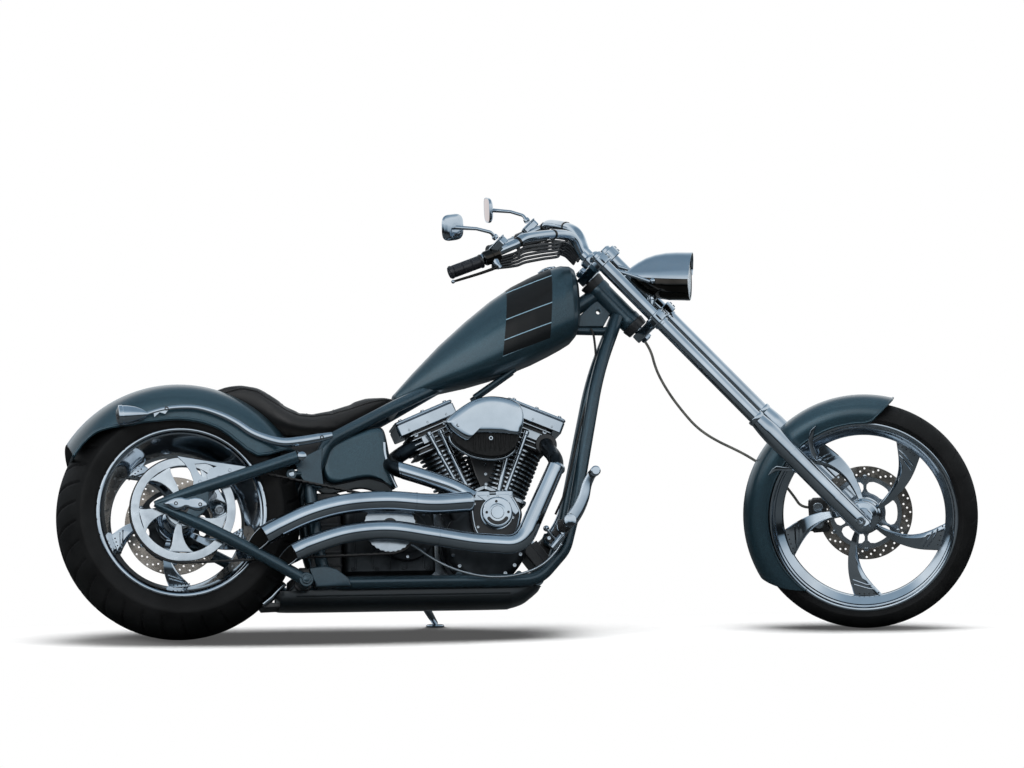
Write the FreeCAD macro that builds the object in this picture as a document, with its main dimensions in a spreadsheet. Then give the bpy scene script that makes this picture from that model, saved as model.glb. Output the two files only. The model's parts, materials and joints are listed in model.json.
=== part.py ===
import FreeCAD, Part
import math
import os
import re

import Sketcher
from FreeCAD import Placement, Rotation, Vector

# A long, low chopper motorcycle standing on its side stand.
# The pieces are drawn with the machine upright: X forward from the rear axle,
# Y to the rider's left, Z up from the ground line. Millimetres and degrees.
# A stance then leans the machine, turns its steering and puts the origin in the
# middle of its footprint, on the floor.

os.makedirs("parts", exist_ok=True)
document = FreeCAD.newDocument("Chopper")

# ---------------------------------------------------------------- driving sizes
sizes = {
    # stance and layout
    "leanAngle": 11.3, "steerAngle": 21, "rakeAngle": 43.4, "wheelbase": 2040,
    "axleOffset": 89, "legOffset": 79, "forkSpacing": 238,
    # rear wheel
    "rearTyreRadius": 357, "rearTyreWidth": 300, "rearCrownDrop": 60,
    "rearCrownRadius": "=((rearTyreWidth / 2) ^ 2 + rearCrownDrop ^ 2) / (2 * rearCrownDrop)",
    "rearLipRadius": "=rearTyreRadius - 112", "rearBeadRadius": "=rearLipRadius - 16",
    "rearRimWidth": "=rearTyreWidth - 34", "rimLip": 6, "rimWall": 10,
    "rearHubRadius": 48, "rearHubWidth": "=rearTyreWidth",
    "rearSpokeWidth": 46, "rearSpokeDepth": 34, "rearAxleRadius": 12.5,
    "rearAxleBore": 8, "rearNutRadius": 20, "axleNut": 10, "axlePlate": 16,
    # front wheel
    "frontTyreRadius": 337, "frontTyreWidth": 125, "frontCrownDrop": 40,
    "frontCrownRadius": "=((frontTyreWidth / 2) ^ 2 + frontCrownDrop ^ 2) / (2 * frontCrownDrop)",
    "frontLipRadius": "=frontTyreRadius - 57", "frontBeadRadius": "=frontLipRadius - 14",
    "frontRimWidth": "=frontTyreWidth - 23", "frontHubRadius": 30, "frontHubWidth": 128,
    "frontSpokeWidth": 34, "frontSpokeDepth": 24, "frontAxleRadius": 10,
    "frontAxleBore": 6, "frontNutRadius": 17,
    # belt drive and brakes
    "beltWidth": 28, "beltThickness": 5, "beltPlane": "=rearTyreWidth / 2 + 21",
    "rearPulleyRadius": 150, "drivePulleyRadius": 76, "drivePulleyX": 600,
    "drivePulleyZ": 300, "pulleyRing": 16, "pulleyHubRadius": 46,
    "pulleySpokeWidth": 30, "pulleySpokeDepth": 12, "driveShaftRadius": 22,
    "rearDiscRadius": 146, "rearDiscPlane": "=rearTyreWidth / 2 + 15",
    "rearDiscCarrier": 60, "frontDiscRadius": 140, "frontDiscPlane": 67,
    "frontDiscCarrier": 38, "discThickness": 5, "discGap": 5, "caliperReach": 138,
    "caliperLength": 62, "caliperHeight": 105, "runningGap": 0.3,
    # chassis tubes
    "frameTubeRadius": 19, "swingTubeRadius": 17, "swingPlane": "=rearTyreWidth / 2 + 59",
    "pivotX": 348, "pivotZ": 143, "pivotTubeRadius": 20, "pivotBoltRadius": 8,
    "pivotNutRadius": 15, "pivotNutWidth": 8, "upperBoltRadius": 9,
    "railPlane": 115, "railDrop": 145, "gussetPlane": 132, "gussetThickness": 8,
    "pivotPlateWidth": 40, "neckPlateThickness": 10,
    # steering
    "neckRadius": 34, "stemRadius": 15, "neckBottom": 868, "neckTop": 1062,
    "lowerClampBottom": 832, "clampThickness": 30, "topClampBottom": 1068,
    "clampReach": 108, "clampEdge": 30, "forkTubeRadius": 20.5, "forkNeckRadius": 14,
    "forkCapTop": 1112, "legRadius": 28.5, "legTop": 438, "legBottom": 31,
    "stemNutRadius": 17, "barRadius": 14, "gripRadius": 18, "perchRadius": 21,
    "leverRadius": 6, "mirrorStemRadius": 5, "lampRadius": 71, "lampBracketRadius": 10,
    "hoseRadius": 4,
    # bodywork
    "tankHalfWidth": 128, "capRadius": 27, "fenderSkin": 6,
    "rearFenderRadius": "=rearTyreRadius + 30", "rearFenderShoulder": "=rearTyreRadius - 12",
    "rearFenderSkirt": "=rearTyreRadius - 79", "rearFenderHalfWidth": "=rearTyreWidth / 2 + 14",
    "frontFenderRadius": "=frontTyreRadius + 29", "frontFenderShoulder": "=frontTyreRadius + 3",
    "frontFenderSkirt": "=frontTyreRadius - 51", "frontFenderHalfWidth": "=frontTyreWidth / 2 + 13.5",
    "fenderBossRadius": 7, "seatHalfWidth": 125, "strutRadius": 8.5,
    "oilTankWidth": 240, "bellyWidth": 186,
    # engine
    "crankX": 895, "crankZ": 262, "halfVee": 22.5, "caseRadius": 122,
    "caseHalfWidth": 80, "barrelRadius": 66, "barrelStart": 160, "barrelEnd": 310,
    "headTop": 385, "headHalfWidth": 74, "headLength": 142, "rockerTop": 430,
    "rockerLength": 186, "pushrodRadius": 9, "pushrodTop": 588, "tappetTop": 413,
    "tappetWidth": 26, "mountRadius": 12, "manifoldRadius": 20, "throatRadius": 27,
    "pipeRadius": 30, "pipePlane": "=beltPlane + 51", "headerRadius": 24, "primaryRadius": 95,
    "primaryOuter": 170, "primaryInner": 85, "gearboxLength": 270,
    "gearboxWidth": 160, "gearboxHeight": 225,
    # controls and side stand
    "pegRadius": 16, "pegInner": 136.3, "pegOuter": 306, "pedalRadius": 12,
    "pedalArmRadius": 8, "standX": 720, "standY": 162, "standZ": 138,
    "standFootX": 790, "standFootY": 345, "standLegRadius": 11, "standEyeRadius": 15,
    "standEyeHalf": 8, "standPinRadius": 5, "standArmRadius": 3.8,
    "standFootRadius": 27, "standFootThickness": 8,
}


def fillSheet(name, values):
    sheet = document.addObject("Spreadsheet::Sheet", name)
    for row, (alias, value) in enumerate(values.items(), start=1):
        sheet.set(f"A{row}", alias)
        sheet.set(f"B{row}", str(value))
        sheet.setAlias(f"B{row}", alias)
    return sheet


sizeSheet = fillSheet("Sizes", sizes)
stance = {"pitch": 0.0, "shiftX": 0.0, "shiftY": 0.0, "lift": 0.0}
stanceSheet = fillSheet("Stance", stance)
document.recompute()


# ---------------------------------------------------------------- small helpers
def bound(expression):
    # puts the sheet's name before each alias in a formula
    named = lambda word: "Sizes." + word[0] if word[0] in sizes else word[0]
    return re.sub(r"[A-Za-z]\w*", named, str(expression))


def size(expression):
    return float(sizeSheet.evalExpression(bound(expression)))


def add(kind, name, **formulas):
    item = document.addObject(kind, name)
    for prop, formula in formulas.items():
        item.setExpression(prop, bound(formula))
    return item


def aim(direction):
    return Rotation(Vector(0, 0, 1), direction)


def rod(name, start, end, radius):
    # a round bar between two points
    start, end = Vector(*start), Vector(*end)
    bar = add("Part::Cylinder", name, Radius=radius)
    bar.Height = (end - start).Length
    bar.Placement = Placement(start, aim(end - start))
    return bar


def crossBar(name, x, z, yStart, yEnd, radius):
    # a round bar that lies across the machine
    low, high = sorted((size(yStart), size(yEnd)))
    return rod(name, (size(x), low, size(z)), (size(x), high, size(z)), radius)


def block(name, centre, length, width, height, turn=0):
    # a box about its centre, turned about the cross axis
    box = add("Part::Box", name, Length=length, Width=width, Height=height)
    sizesHere = Vector(size(length), size(width), size(height))
    rotation = Rotation(Vector(0, 1, 0), turn)
    box.Placement = Placement(Vector(*centre) - rotation.multVec(sizesHere / 2), rotation)
    return box


def fuse(name, items):
    item = document.addObject("Part::MultiFuse", name)
    item.Shapes = items
    return item


def cut(name, base, tool):
    item = document.addObject("Part::Cut", name)
    item.Base = base
    item.Tool = tool
    return item


def together(name, items):
    # like pieces that don't touch share one node
    item = document.addObject("Part::Compound", name)
    item.Links = items
    return item


def roundedRoute(route, share=0.45):
    # straight runs joined by tangent arcs, each as large as its two runs allow
    points = [Vector(*point) for point in route]
    edges = []
    last = points[0]
    radii = []
    for before, corner, after in zip(points, points[1:], points[2:]):
        inward, outward = corner - before, after - corner
        turn = inward.getAngle(outward)
        reach = share * min(inward.Length, outward.Length)
        radii.append(reach / math.tan(turn / 2))
        inward.normalize()
        outward.normalize()
        start, end = corner - inward * reach, corner + outward * reach
        middle = outward - inward
        middle.normalize()
        centre = corner + middle * (radii[-1] / math.cos(turn / 2))
        top = centre - middle * radii[-1]
        edges.append(Part.LineSegment(last, start).toShape())
        edges.append(Part.Arc(start, top, end).toShape())
        last = end
    edges.append(Part.LineSegment(last, points[-1]).toShape())
    return Part.Wire(edges), radii


def bentTube(name, route, radius):
    # a round tube swept along a rounded route
    wire, radii = roundedRoute(route)
    spine = document.addObject("Part::Feature", name + "Route")
    spine.Shape = wire
    section = add("Part::Circle", name + "Section", Radius=radius)
    start = Vector(*route[0])
    section.Placement = Placement(start, aim(Vector(*route[1]) - start))
    tube = document.addObject("Part::Sweep", name)
    tube.Sections = [section]
    tube.Spine = (spine, [])
    tube.Solid = True
    print(name, "bend radii", [round(r) for r in radii])
    return tube


def mirrored(route, side):
    return [(x, side * y, z) for x, y, z in route]


def drawOutline(sketch, rows):
    # rows: across, up and, where the edge that starts there is an arc, its radius
    points = [Vector(size(row[0]), size(row[1]), 0) for row in rows]
    count = len(rows)
    for index, row in enumerate(rows):
        start, end = points[index], points[(index + 1) % count]
        if len(row) == 3:
            sketch.addGeometry(shallowArc(start, end, size(row[2])))
        else:
            sketch.addGeometry(Part.LineSegment(start, end))
    for index in range(count):
        following = (index + 1) % count
        endOfEdge = 1 if len(rows[index]) == 3 else 2
        startOfNext = 2 if len(rows[following]) == 3 else 1
        sketch.addConstraint(
            Sketcher.Constraint("Coincident", index, endOfEdge, following, startOfNext))
    for index, row in enumerate(rows):
        corner = 2 if len(row) == 3 else 1
        place = (("DistanceX", row[0], points[index].x), ("DistanceY", row[1], points[index].y))
        for kind, formula, value in place:
            number = sketch.addConstraint(
                Sketcher.Constraint(kind, -1, 1, index, corner, value))
            sketch.setExpression(f"Constraints[{number}]", bound(formula))
        if len(row) == 3:
            number = sketch.addConstraint(
                Sketcher.Constraint("Radius", index, size(row[2])))
            sketch.setExpression(f"Constraints[{number}]", bound(row[2]))


def shallowArc(start, end, radius):
    # the arc from start to end that turns clockwise, as less than half a circle;
    # the circle itself runs anticlockwise, so the arc ends at start
    chord = end - start
    side = Vector(chord.y, -chord.x, 0)
    side.normalize()
    depth = math.sqrt(max(radius ** 2 - (chord.Length / 2) ** 2, 0))
    centre = start + chord / 2 + side * depth
    circle = Part.Circle(centre, Vector(0, 0, 1), radius)
    startAngle = math.atan2(end.y - centre.y, end.x - centre.x)
    endAngle = math.atan2(start.y - centre.y, start.x - centre.x)
    if endAngle < startAngle:
        endAngle += 2 * math.pi
    return Part.ArcOfCircle(circle, startAngle, endAngle)


def originPlane(body, role):
    return [item for item in body.Origin.OriginFeatures if item.Role == role][0]


def bodySketch(name, role, rows):
    body = document.addObject("PartDesign::Body", name)
    sketch = body.newObject("Sketcher::SketchObject", name + "Sketch")
    sketch.AttachmentSupport = [(originPlane(body, role), "")]
    sketch.MapMode = "FlatFace"
    drawOutline(sketch, rows)
    return body, sketch


def turned(name, rows, at=(0, 0, 0), direction=(0, 1, 0)):
    # rows: place along the axis, radius[, arc radius]; revolved about that axis
    body, sketch = bodySketch(name, "YZ_Plane", rows)
    revolution = body.newObject("PartDesign::Revolution", name + "Turn")
    revolution.Profile = sketch
    revolution.ReferenceAxis = (sketch, ["H_Axis"])
    body.Placement = Placement(Vector(*at), Rotation(Vector(0, 1, 0), Vector(*direction)))
    return body


def slab(name, rows, width, middle=0):
    # rows: forward and up; a plate of that side outline, as wide as width
    body, sketch = bodySketch(name, "XZ_Plane", rows)
    pad = body.newObject("PartDesign::Pad", name + "Pad")
    pad.Profile = sketch
    pad.setExpression("Length", bound(width))
    pad.Midplane = True
    body.Placement = Placement(Vector(0, size(middle), 0), Rotation())
    return body


def topSlab(name, rows, bottom, height):
    # rows: forward and left; a plate of that plan outline
    body, sketch = bodySketch(name, "XY_Plane", rows)
    pad = body.newObject("PartDesign::Pad", name + "Pad")
    pad.Profile = sketch
    pad.setExpression("Length", bound(height))
    body.Placement = Placement(Vector(0, 0, size(bottom)), Rotation())
    return body


# ---------------------------------------------------------------- sub-part list
subParts = []
leanText = "placement(vector(Stance.shiftX; Stance.shiftY; Stance.lift);"\
    " rotation(vector(1; 0; 0); -Sizes.leanAngle))"
pitchText = " * placement(vector(0; 0; 0); rotation(vector(0; 1; 0); Stance.pitch))"
chassisText = leanText + pitchText

rake = math.radians(size("rakeAngle"))
steerUp = Vector(-math.sin(rake), 0, math.cos(rake))
steerAhead = Vector(math.cos(rake), 0, math.sin(rake))
frontAxle = Vector(size("wheelbase"), 0, size("frontTyreRadius"))
steerFoot = frontAxle - steerAhead * size("axleOffset")


def placeText(place):
    axis, angle = place.Rotation.Axis, math.degrees(place.Rotation.Angle)
    base = place.Base
    return (f"placement(vector({base.x:.9f}; {base.y:.9f}; {base.z:.9f});"
            f" rotation(vector({axis.x:.12f}; {axis.y:.12f}; {axis.z:.12f}); {angle:.10f}))")


# the fork turns about the steering axis: to the foot of the axis, turn, and back
toFoot = placeText(Placement(steerFoot, aim(steerUp)))
fromFoot = placeText(Placement(steerFoot, aim(steerUp)).inverse())
steerText = " * placement(vector(0; 0; 0); rotation(vector(0; 0; 1); -Sizes.steerAngle))"
forkText = f"{chassisText} * {toFoot}{steerText} * {fromFoot}"
groups = {"chassis": chassisText, "fork": forkText}


def subPart(item, label, group="chassis"):
    item.setExpression("Placement", f"{groups[group]} * {placeText(item.Placement)}")
    item.Label = label
    subParts.append(item)


def forkPoint(along, ahead, side=0):
    # a point by its height along the steering axis and its reach ahead of it
    point = steerFoot + steerUp * size(along) + steerAhead * size(ahead)
    return (point.x, size(side), point.z)


def wheelPoint(centre, radius, angle, side=0):
    # a point on a circle about an axle, the angle counted up from forward
    turn = math.radians(angle)
    return (centre.x + radius * math.cos(turn), side, centre.z + radius * math.sin(turn))


rearAxle = Vector(0, 0, size("rearTyreRadius"))


# ---------------------------------------------------------------- wheels
def tyre(name, label, group, at, prefix):
    # prefix is rear or front, and picks the sizes
    half = f"{prefix}TyreWidth / 2"
    rim = f"({prefix}RimWidth / 2 - rimLip)"
    shoulder = f"{prefix}TyreRadius - {prefix}CrownDrop"
    rows = [
        (f"-{rim}", f"{prefix}BeadRadius"),
        (f"-{rim}", f"{prefix}LipRadius + 1"),
        (f"-{half} + 2", f"{prefix}LipRadius + ({shoulder} - {prefix}LipRadius) * 0.55"),
        (f"-{half}", shoulder, f"{prefix}CrownRadius"),
        (half, shoulder),
        (f"{half} - 2", f"{prefix}LipRadius + ({shoulder} - {prefix}LipRadius) * 0.55"),
        (rim, f"{prefix}LipRadius + 1"),
        (rim, f"{prefix}BeadRadius"),
    ]
    subPart(turned(name, rows, at), label, group)


def rim(name, label, group, at, prefix, spokes, axleRadius):
    # barrel with two lips, hub and flat spokes between them
    half = f"{prefix}RimWidth / 2"
    barrel = turned(name + "Barrel", [
        (f"-{half}", f"{prefix}LipRadius"), (f"-{half} + rimLip", f"{prefix}LipRadius"),
        (f"-{half} + rimLip", f"{prefix}BeadRadius"), (f"{half} - rimLip", f"{prefix}BeadRadius"),
        (f"{half} - rimLip", f"{prefix}LipRadius"), (half, f"{prefix}LipRadius"),
        (half, f"{prefix}BeadRadius - rimWall"), (f"-{half}", f"{prefix}BeadRadius - rimWall"),
    ])
    hubHalf = f"{prefix}HubWidth / 2"
    bore = f"{axleRadius} + runningGap"
    hub = turned(name + "Hub", [
        (f"-{hubHalf}", bore), (f"-{hubHalf}", f"{prefix}HubRadius"),
        (hubHalf, f"{prefix}HubRadius"), (hubHalf, bore),
    ])
    pieces = [barrel, hub]
    inner = size(f"{prefix}HubRadius - 4")
    outer = size(f"{prefix}BeadRadius - rimWall + 3")
    for index in range(spokes):
        angle = 90 + index * 360 / spokes
        middle = wheelPoint(Vector(0, 0, 0), (inner + outer) / 2, angle)
        pieces.append(block(f"{name}Spoke{index}", middle, f"{outer - inner}",
                            f"{prefix}SpokeDepth", f"{prefix}SpokeWidth", -angle))
    wheel = fuse(name, pieces)
    wheel.Placement = Placement(Vector(*at), Rotation())
    subPart(wheel, label, group)


tyre("RearTyre", "rear_tyre", "chassis", tuple(rearAxle), "rear")
rim("RearWheel", "rear_wheel", "chassis", tuple(rearAxle), "rear", 5, "rearAxleRadius")
tyre("FrontTyre", "front_tyre", "fork", tuple(frontAxle), "front")
rim("FrontWheel", "front_wheel", "fork", tuple(frontAxle), "front", 5, "frontAxleRadius")


def axle(name, label, group, at, prefix, seat):
    # a hollow shaft with a nut outside each seat
    bore, shaft, nut = [prefix + word for word in ("AxleBore", "AxleRadius", "NutRadius")]
    end = f"({seat} + axleNut)"
    rows = [
        (f"-{end}", bore), (f"-{end}", nut), (f"-{seat}", nut), (f"-{seat}", shaft),
        (seat, shaft), (seat, nut), (end, nut), (end, bore),
    ]
    subPart(turned(name, rows, at), label, group)


swingSeat = "(swingPlane + axlePlate / 2)"
legSeat = "(forkSpacing / 2 + legRadius)"
axle("RearAxle", "rear_axle", "chassis", tuple(rearAxle), "rear", swingSeat)
axle("FrontAxle", "front_axle", "fork", tuple(frontAxle), "front", legSeat)


# ---------------------------------------------------------------- brakes and belt
def brakeDisc(name, label, group, at, prefix):
    # ring on a carrier that stands on the left end of the hub
    inner, outer = f"{prefix}DiscPlane - discThickness / 2", f"{prefix}DiscPlane + discThickness / 2"
    bore, carrier = f"{prefix}AxleRadius + runningGap", f"{prefix}DiscCarrier"
    rows = [
        (f"{prefix}HubWidth / 2", bore), (f"{prefix}HubWidth / 2", carrier),
        (inner, carrier), (inner, f"{prefix}DiscRadius"),
        (outer, f"{prefix}DiscRadius"), (outer, bore),
    ]
    subPart(turned(name, rows, at), label, group)


brakeDisc("RearDisc", "rear_brake_disc", "chassis", tuple(rearAxle), "rear")
brakeDisc("FrontDisc", "front_brake_disc", "fork", tuple(frontAxle), "front")


def caliper(name, label, group, at, prefix, angle, inner, outer):
    # a block over the disc's edge, slotted for the disc
    centre = wheelPoint(Vector(0, 0, 0), size("caliperReach"), angle, size(f"({inner} + {outer}) / 2"))
    body = block(name + "Block", centre, "caliperLength", f"{outer} - {inner}", "caliperHeight", -angle)
    slotHalf = "(discThickness / 2 + discGap)"
    slot = turned(name + "Slot", [
        (f"{prefix}DiscPlane - {slotHalf}", "0"),
        (f"{prefix}DiscPlane - {slotHalf}", f"{prefix}DiscRadius + discGap"),
        (f"{prefix}DiscPlane + {slotHalf}", f"{prefix}DiscRadius + discGap"),
        (f"{prefix}DiscPlane + {slotHalf}", "0"),
    ])
    item = cut(name, body, slot)
    item.Placement = Placement(Vector(*at), Rotation())
    subPart(item, label, group)


caliper("RearCaliper", "rear_caliper", "chassis", tuple(rearAxle), "rear", 28,
        "(rearDiscPlane - 14)", "(swingPlane - swingTubeRadius - runningGap)")
caliper("FrontCaliper", "front_caliper", "fork", tuple(frontAxle), "front",
        138.6 + size("rakeAngle"),
        "(frontDiscPlane - 15)", "(forkSpacing / 2 - legRadius)")


def rearPulleySolid():
    # toothed ring with flanges, on spokes from its hub
    low, high = "-beltPlane - beltWidth / 2 - 2", "-beltPlane + beltWidth / 2 + 1"
    bore, inside = "rearAxleRadius + runningGap", "rearPulleyRadius - pulleyRing"
    pieces = [
        turned("PulleyRing", [(low, inside), (low, "rearPulleyRadius"),
                              (high, "rearPulleyRadius"), (high, inside)]),
        turned("PulleyHub", [(low, bore), (low, "pulleyHubRadius"),
                             ("-rearHubWidth / 2", "pulleyHubRadius"), ("-rearHubWidth / 2", bore)]),
    ]
    inner, outer = size("pulleyHubRadius - 4"), size("rearPulleyRadius - pulleyRing + 2")
    spokes = 5
    for index in range(spokes):
        angle = 54 + index * 360 / spokes
        middle = wheelPoint(Vector(0, 0, 0), (inner + outer) / 2, angle, size("-beltPlane - 5"))
        pieces.append(block(f"PulleySpoke{index}", middle, f"{outer - inner}", "pulleySpokeDepth",
                            "pulleySpokeWidth", -angle))
    return fuse("RearPulley", pieces)


rearPulley = rearPulleySolid()
rearPulley.Placement = Placement(rearAxle, Rotation())
subPart(rearPulley, "rear_pulley")
drivePulleyAt = Vector(size("drivePulleyX"), 0, size("drivePulleyZ"))
outer, inner = "-beltPlane - beltWidth / 2 - 2", "-beltPlane + beltWidth / 2 + 1"
shaftEnd = "-gearboxWidth / 2 + 2"
drive = turned("DrivePulley", [
    (outer, "0"), (outer, "drivePulleyRadius"), (inner, "drivePulleyRadius"), (inner, "driveShaftRadius"),
    (shaftEnd, "driveShaftRadius"), (shaftEnd, "0")], tuple(drivePulleyAt))
subPart(drive, "drive_pulley")


def beltLoop(radiusAdded):
    # face of two arcs round the pulleys and the two straight runs between them
    first, second = rearAxle, drivePulleyAt
    big, small = size("rearPulleyRadius") + radiusAdded, size("drivePulleyRadius") + radiusAdded
    between = second - first
    heading = math.atan2(between.z, between.x)
    spread = math.acos((big - small) / between.Length)
    corners = []
    for centre, radius in ((first, big), (second, small)):
        for sign in (1, -1):
            angle = heading + sign * spread
            corners.append(centre + Vector(math.cos(angle), 0, math.sin(angle)) * radius)
    back = first - Vector(math.cos(heading), 0, math.sin(heading)) * big
    front = second + Vector(math.cos(heading), 0, math.sin(heading)) * small
    edges = [
        Part.LineSegment(corners[0], corners[2]).toShape(),
        Part.Arc(corners[2], front, corners[3]).toShape(),
        Part.LineSegment(corners[3], corners[1]).toShape(),
        Part.Arc(corners[1], back, corners[0]).toShape(),
    ]
    return Part.Face(Part.Wire(edges))


belt = document.addObject("Part::Feature", "DriveBelt")
beltGap = size("runningGap")
beltFace = beltLoop(beltGap + size("beltThickness")).cut(beltLoop(beltGap))
beltSolid = beltFace.extrude(Vector(0, size("beltWidth"), 0))
beltSolid.translate(Vector(0, size("-beltPlane - beltWidth / 2"), 0))
belt.Shape = beltSolid
subPart(belt, "drive_belt")

# ---------------------------------------------------------------- frame
# The tables of the upper frame and tank are drawn for a steering head that
# stands here; they stretch from tankRear forward to meet the real one.
drawnHead = Vector(1312.3, 0, 977)
tankRear = 640
headShift = Vector(*forkPoint("(neckBottom + neckTop) / 2", 0)) - drawnHead


def stretched(x, y, z):
    share = (x - tankRear) / (drawnHead.x - tankRear)
    return (round(x + headShift.x * share, 3), y, round(z + headShift.z * share, 3))


def stretchedOutline(rows):
    return [(point[0], point[2]) for point in (stretched(x, 0, z) for x, z in rows)]


gussetOutline = [("337", "500"), ("352", "548"), ("418", "582"), ("412", "410"), ("376", "400")]
pivotPlateOutline = [("326", "118"), ("326", "172"), ("352", "200"), ("392", "206"), ("432", "180"),
                     ("490", "150"), ("490", "118")]
neckPlateOutline = [(1130, 895), (1215, 985), (1270, 1010), (1330, 930), (1275, 850), (1235, 860)]
pegAt = (1112, 294)
frameItems = []
railPlane, railDrop = size("railPlane"), size("railDrop")
railRoute = [
    # from the tank down past the seat, forward under the engine and up to the neck
    stretched(770, 22, 735), (640, 90, 668), (430, 125, 560), (375, 125, 430), (392, 125, 250),
    (420, railPlane, railDrop), (1040, railPlane, railDrop), (1122, 110, 235), (1155, 105, 351),
    stretched(1247, 58, 770), stretched(1318, 20, 940),
]
for sideName, side in (("Left", 1), ("Right", -1)):
    frameItems.append(bentTube("Rail" + sideName, mirrored(railRoute, side), "frameTubeRadius"))
    plate = slab("Gusset" + sideName, gussetOutline, "gussetThickness", f"{side} * gussetPlane")
    frameItems.append(plate)
    frameItems.append(slab("PivotPlate" + sideName, pivotPlateOutline, "pivotPlateWidth",
                           f"{side} * (railPlane + 10)"))
    frameItems.append(rod("PegMount" + sideName, (pegAt[0], side * 112, pegAt[1]),
                          (pegAt[0], side * size("pegInner - runningGap"), pegAt[1]), "pegRadius"))
backbone = rod("Backbone", stretched(1300, 0, 962), stretched(745, 0, 727.2), "frameTubeRadius + 3")
neck = rod("Neck", forkPoint("neckBottom", 0), forkPoint("neckTop", 0), "neckRadius")
web = slab("NeckGusset", stretchedOutline(neckPlateOutline), "neckPlateThickness")
crossTies = [
    # name, forward, up, half length, radius
    ("SeatTie", 640, 668, 90, "frameTubeRadius - 3"),
    ("RearTie", 425, "railDrop", "railPlane", "frameTubeRadius - 3"),
    ("FrontTie", 1040, "railDrop", "railPlane", "frameTubeRadius - 3"),
    ("GussetTie", 392, 430, 125, "frameTubeRadius - 5"),
]
for name, forward, up, half, radius in crossTies:
    frameItems.append(crossBar(name, forward, up, f"-{half}", half, radius))
for mountName, mountAngle in (("Front", -48), ("Rear", -132)):
    mountAt = wheelPoint(Vector(size("crankX"), 0, size("crankZ")),
                         size("caseRadius + mountRadius + runningGap"), mountAngle)
    frameItems.append(crossBar("MotorMount" + mountName, mountAt[0], mountAt[2],
                               "-railPlane", "railPlane", "mountRadius"))
standPivot = Vector(size("standX"), size("standY"), size("standZ"))
frameItems += [backbone, neck, web]


# the side stand leans out to its foot and folds back along the left rail
def lowestPoint(centre, axleDirection, tyreRadius, crownRadius):
    # lowest point of a tyre whose crown is part of a ring of round section
    ring = tyreRadius - crownRadius
    return centre.z - ring * math.sqrt(1 - axleDirection.z ** 2) - crownRadius


def settle():
    # pitch and lift that bring both leaning tyres down to the floor
    turn = Rotation(steerUp, -size("steerAngle"))
    turnedAxle = steerFoot + turn.multVec(frontAxle - steerFoot)
    turnedAcross = turn.multVec(Vector(0, 1, 0))
    for _ in range(6):
        whole = Rotation(Vector(1, 0, 0), -size("leanAngle")) * Rotation(Vector(0, 1, 0), stance["pitch"])
        rear = lowestPoint(whole.multVec(rearAxle), whole.multVec(Vector(0, 1, 0)),
                           size("rearTyreRadius"), size("rearCrownRadius"))
        front = lowestPoint(whole.multVec(turnedAxle), whole.multVec(turnedAcross),
                            size("frontTyreRadius"), size("frontCrownRadius"))
        stance["pitch"] += math.degrees(math.atan2(front - rear, size("wheelbase")))
        stance["lift"] = -rear


settle()
print("stance", stance)

wholeLean = Rotation(Vector(1, 0, 0), -size("leanAngle")) * Rotation(Vector(0, 1, 0), stance["pitch"])
worldUp = wholeLean.inverted().multVec(Vector(0, 0, 1))
footLow = Vector(size("standFootX"), size("standFootY"), 0)
footLow.z = (-stance["lift"] - worldUp.x * footLow.x - worldUp.y * footLow.y) / worldUp.z
ankle = footLow + worldUp * size("standLegRadius + 1.5")
legDown = ankle - standPivot
foldedDirection = Vector(-1, 0.16, 0)
hingeAxis = legDown.cross(foldedDirection)
hingeAxis.normalize()
eyeHalf, lugThickness, lugReach = size("standEyeHalf"), 8, 50
lugGap = hingeAxis * (eyeHalf + size("runningGap"))
towardRail = Vector(0, -hingeAxis.z, hingeAxis.y)
towardRail.normalize()
for name, way in (("Upper", 1), ("Lower", -1)):
    # two ears hold the stand's eye between them, each on a short arm to the rail
    near = standPivot + lugGap * way
    far = near + hingeAxis * (way * lugThickness)
    middle = (near + far) / 2
    frameItems.append(rod("StandLug" + name, tuple(near), tuple(far), "standEyeRadius"))
    frameItems.append(rod("StandArm" + name, tuple(middle + towardRail * lugReach), tuple(middle),
                          "standArmRadius"))
frameItems.append(rod("StandPin", tuple(standPivot - lugGap), tuple(standPivot + lugGap), "standPinRadius"))
frameSolid = fuse("FrameTubes", frameItems)
holes = [
    rod("NeckBore", forkPoint("neckBottom - 20", 0), forkPoint("neckTop + 20", 0), "stemRadius + runningGap"),
    crossBar("PivotHole", "pivotX", "pivotZ", "-swingPlane", "swingPlane", "pivotTubeRadius + runningGap"),
]
subPart(cut("Frame", frameSolid, fuse("FrameHoles", holes)), "frame")

# ---------------------------------------------------------------- side stand
footTop = footLow + worldUp * size("standFootThickness")
boreHalf = hingeAxis * 20
standItems = [
    rod("StandEye", tuple(standPivot - hingeAxis * eyeHalf), tuple(standPivot + hingeAxis * eyeHalf),
        "standEyeRadius"),
    rod("StandLeg", tuple(standPivot), tuple(ankle), "standLegRadius"),
    rod("StandFoot", tuple(footLow), tuple(footTop), "standFootRadius"),
]
standCuts = [rod("StandBore", tuple(standPivot - boreHalf), tuple(standPivot + boreHalf),
                 "standPinRadius + runningGap")]
for name, way in (("Upper", 1), ("Lower", -1)):
    near = standPivot + lugGap * way
    far = near + hingeAxis * (way * (lugThickness + 4))
    standCuts.append(rod("StandClear" + name, tuple(near), tuple(far), "standEyeRadius + 6"))
subPart(cut("SideStand", fuse("StandSolid", standItems), fuse("StandCuts", standCuts)), "side_stand")

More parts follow.
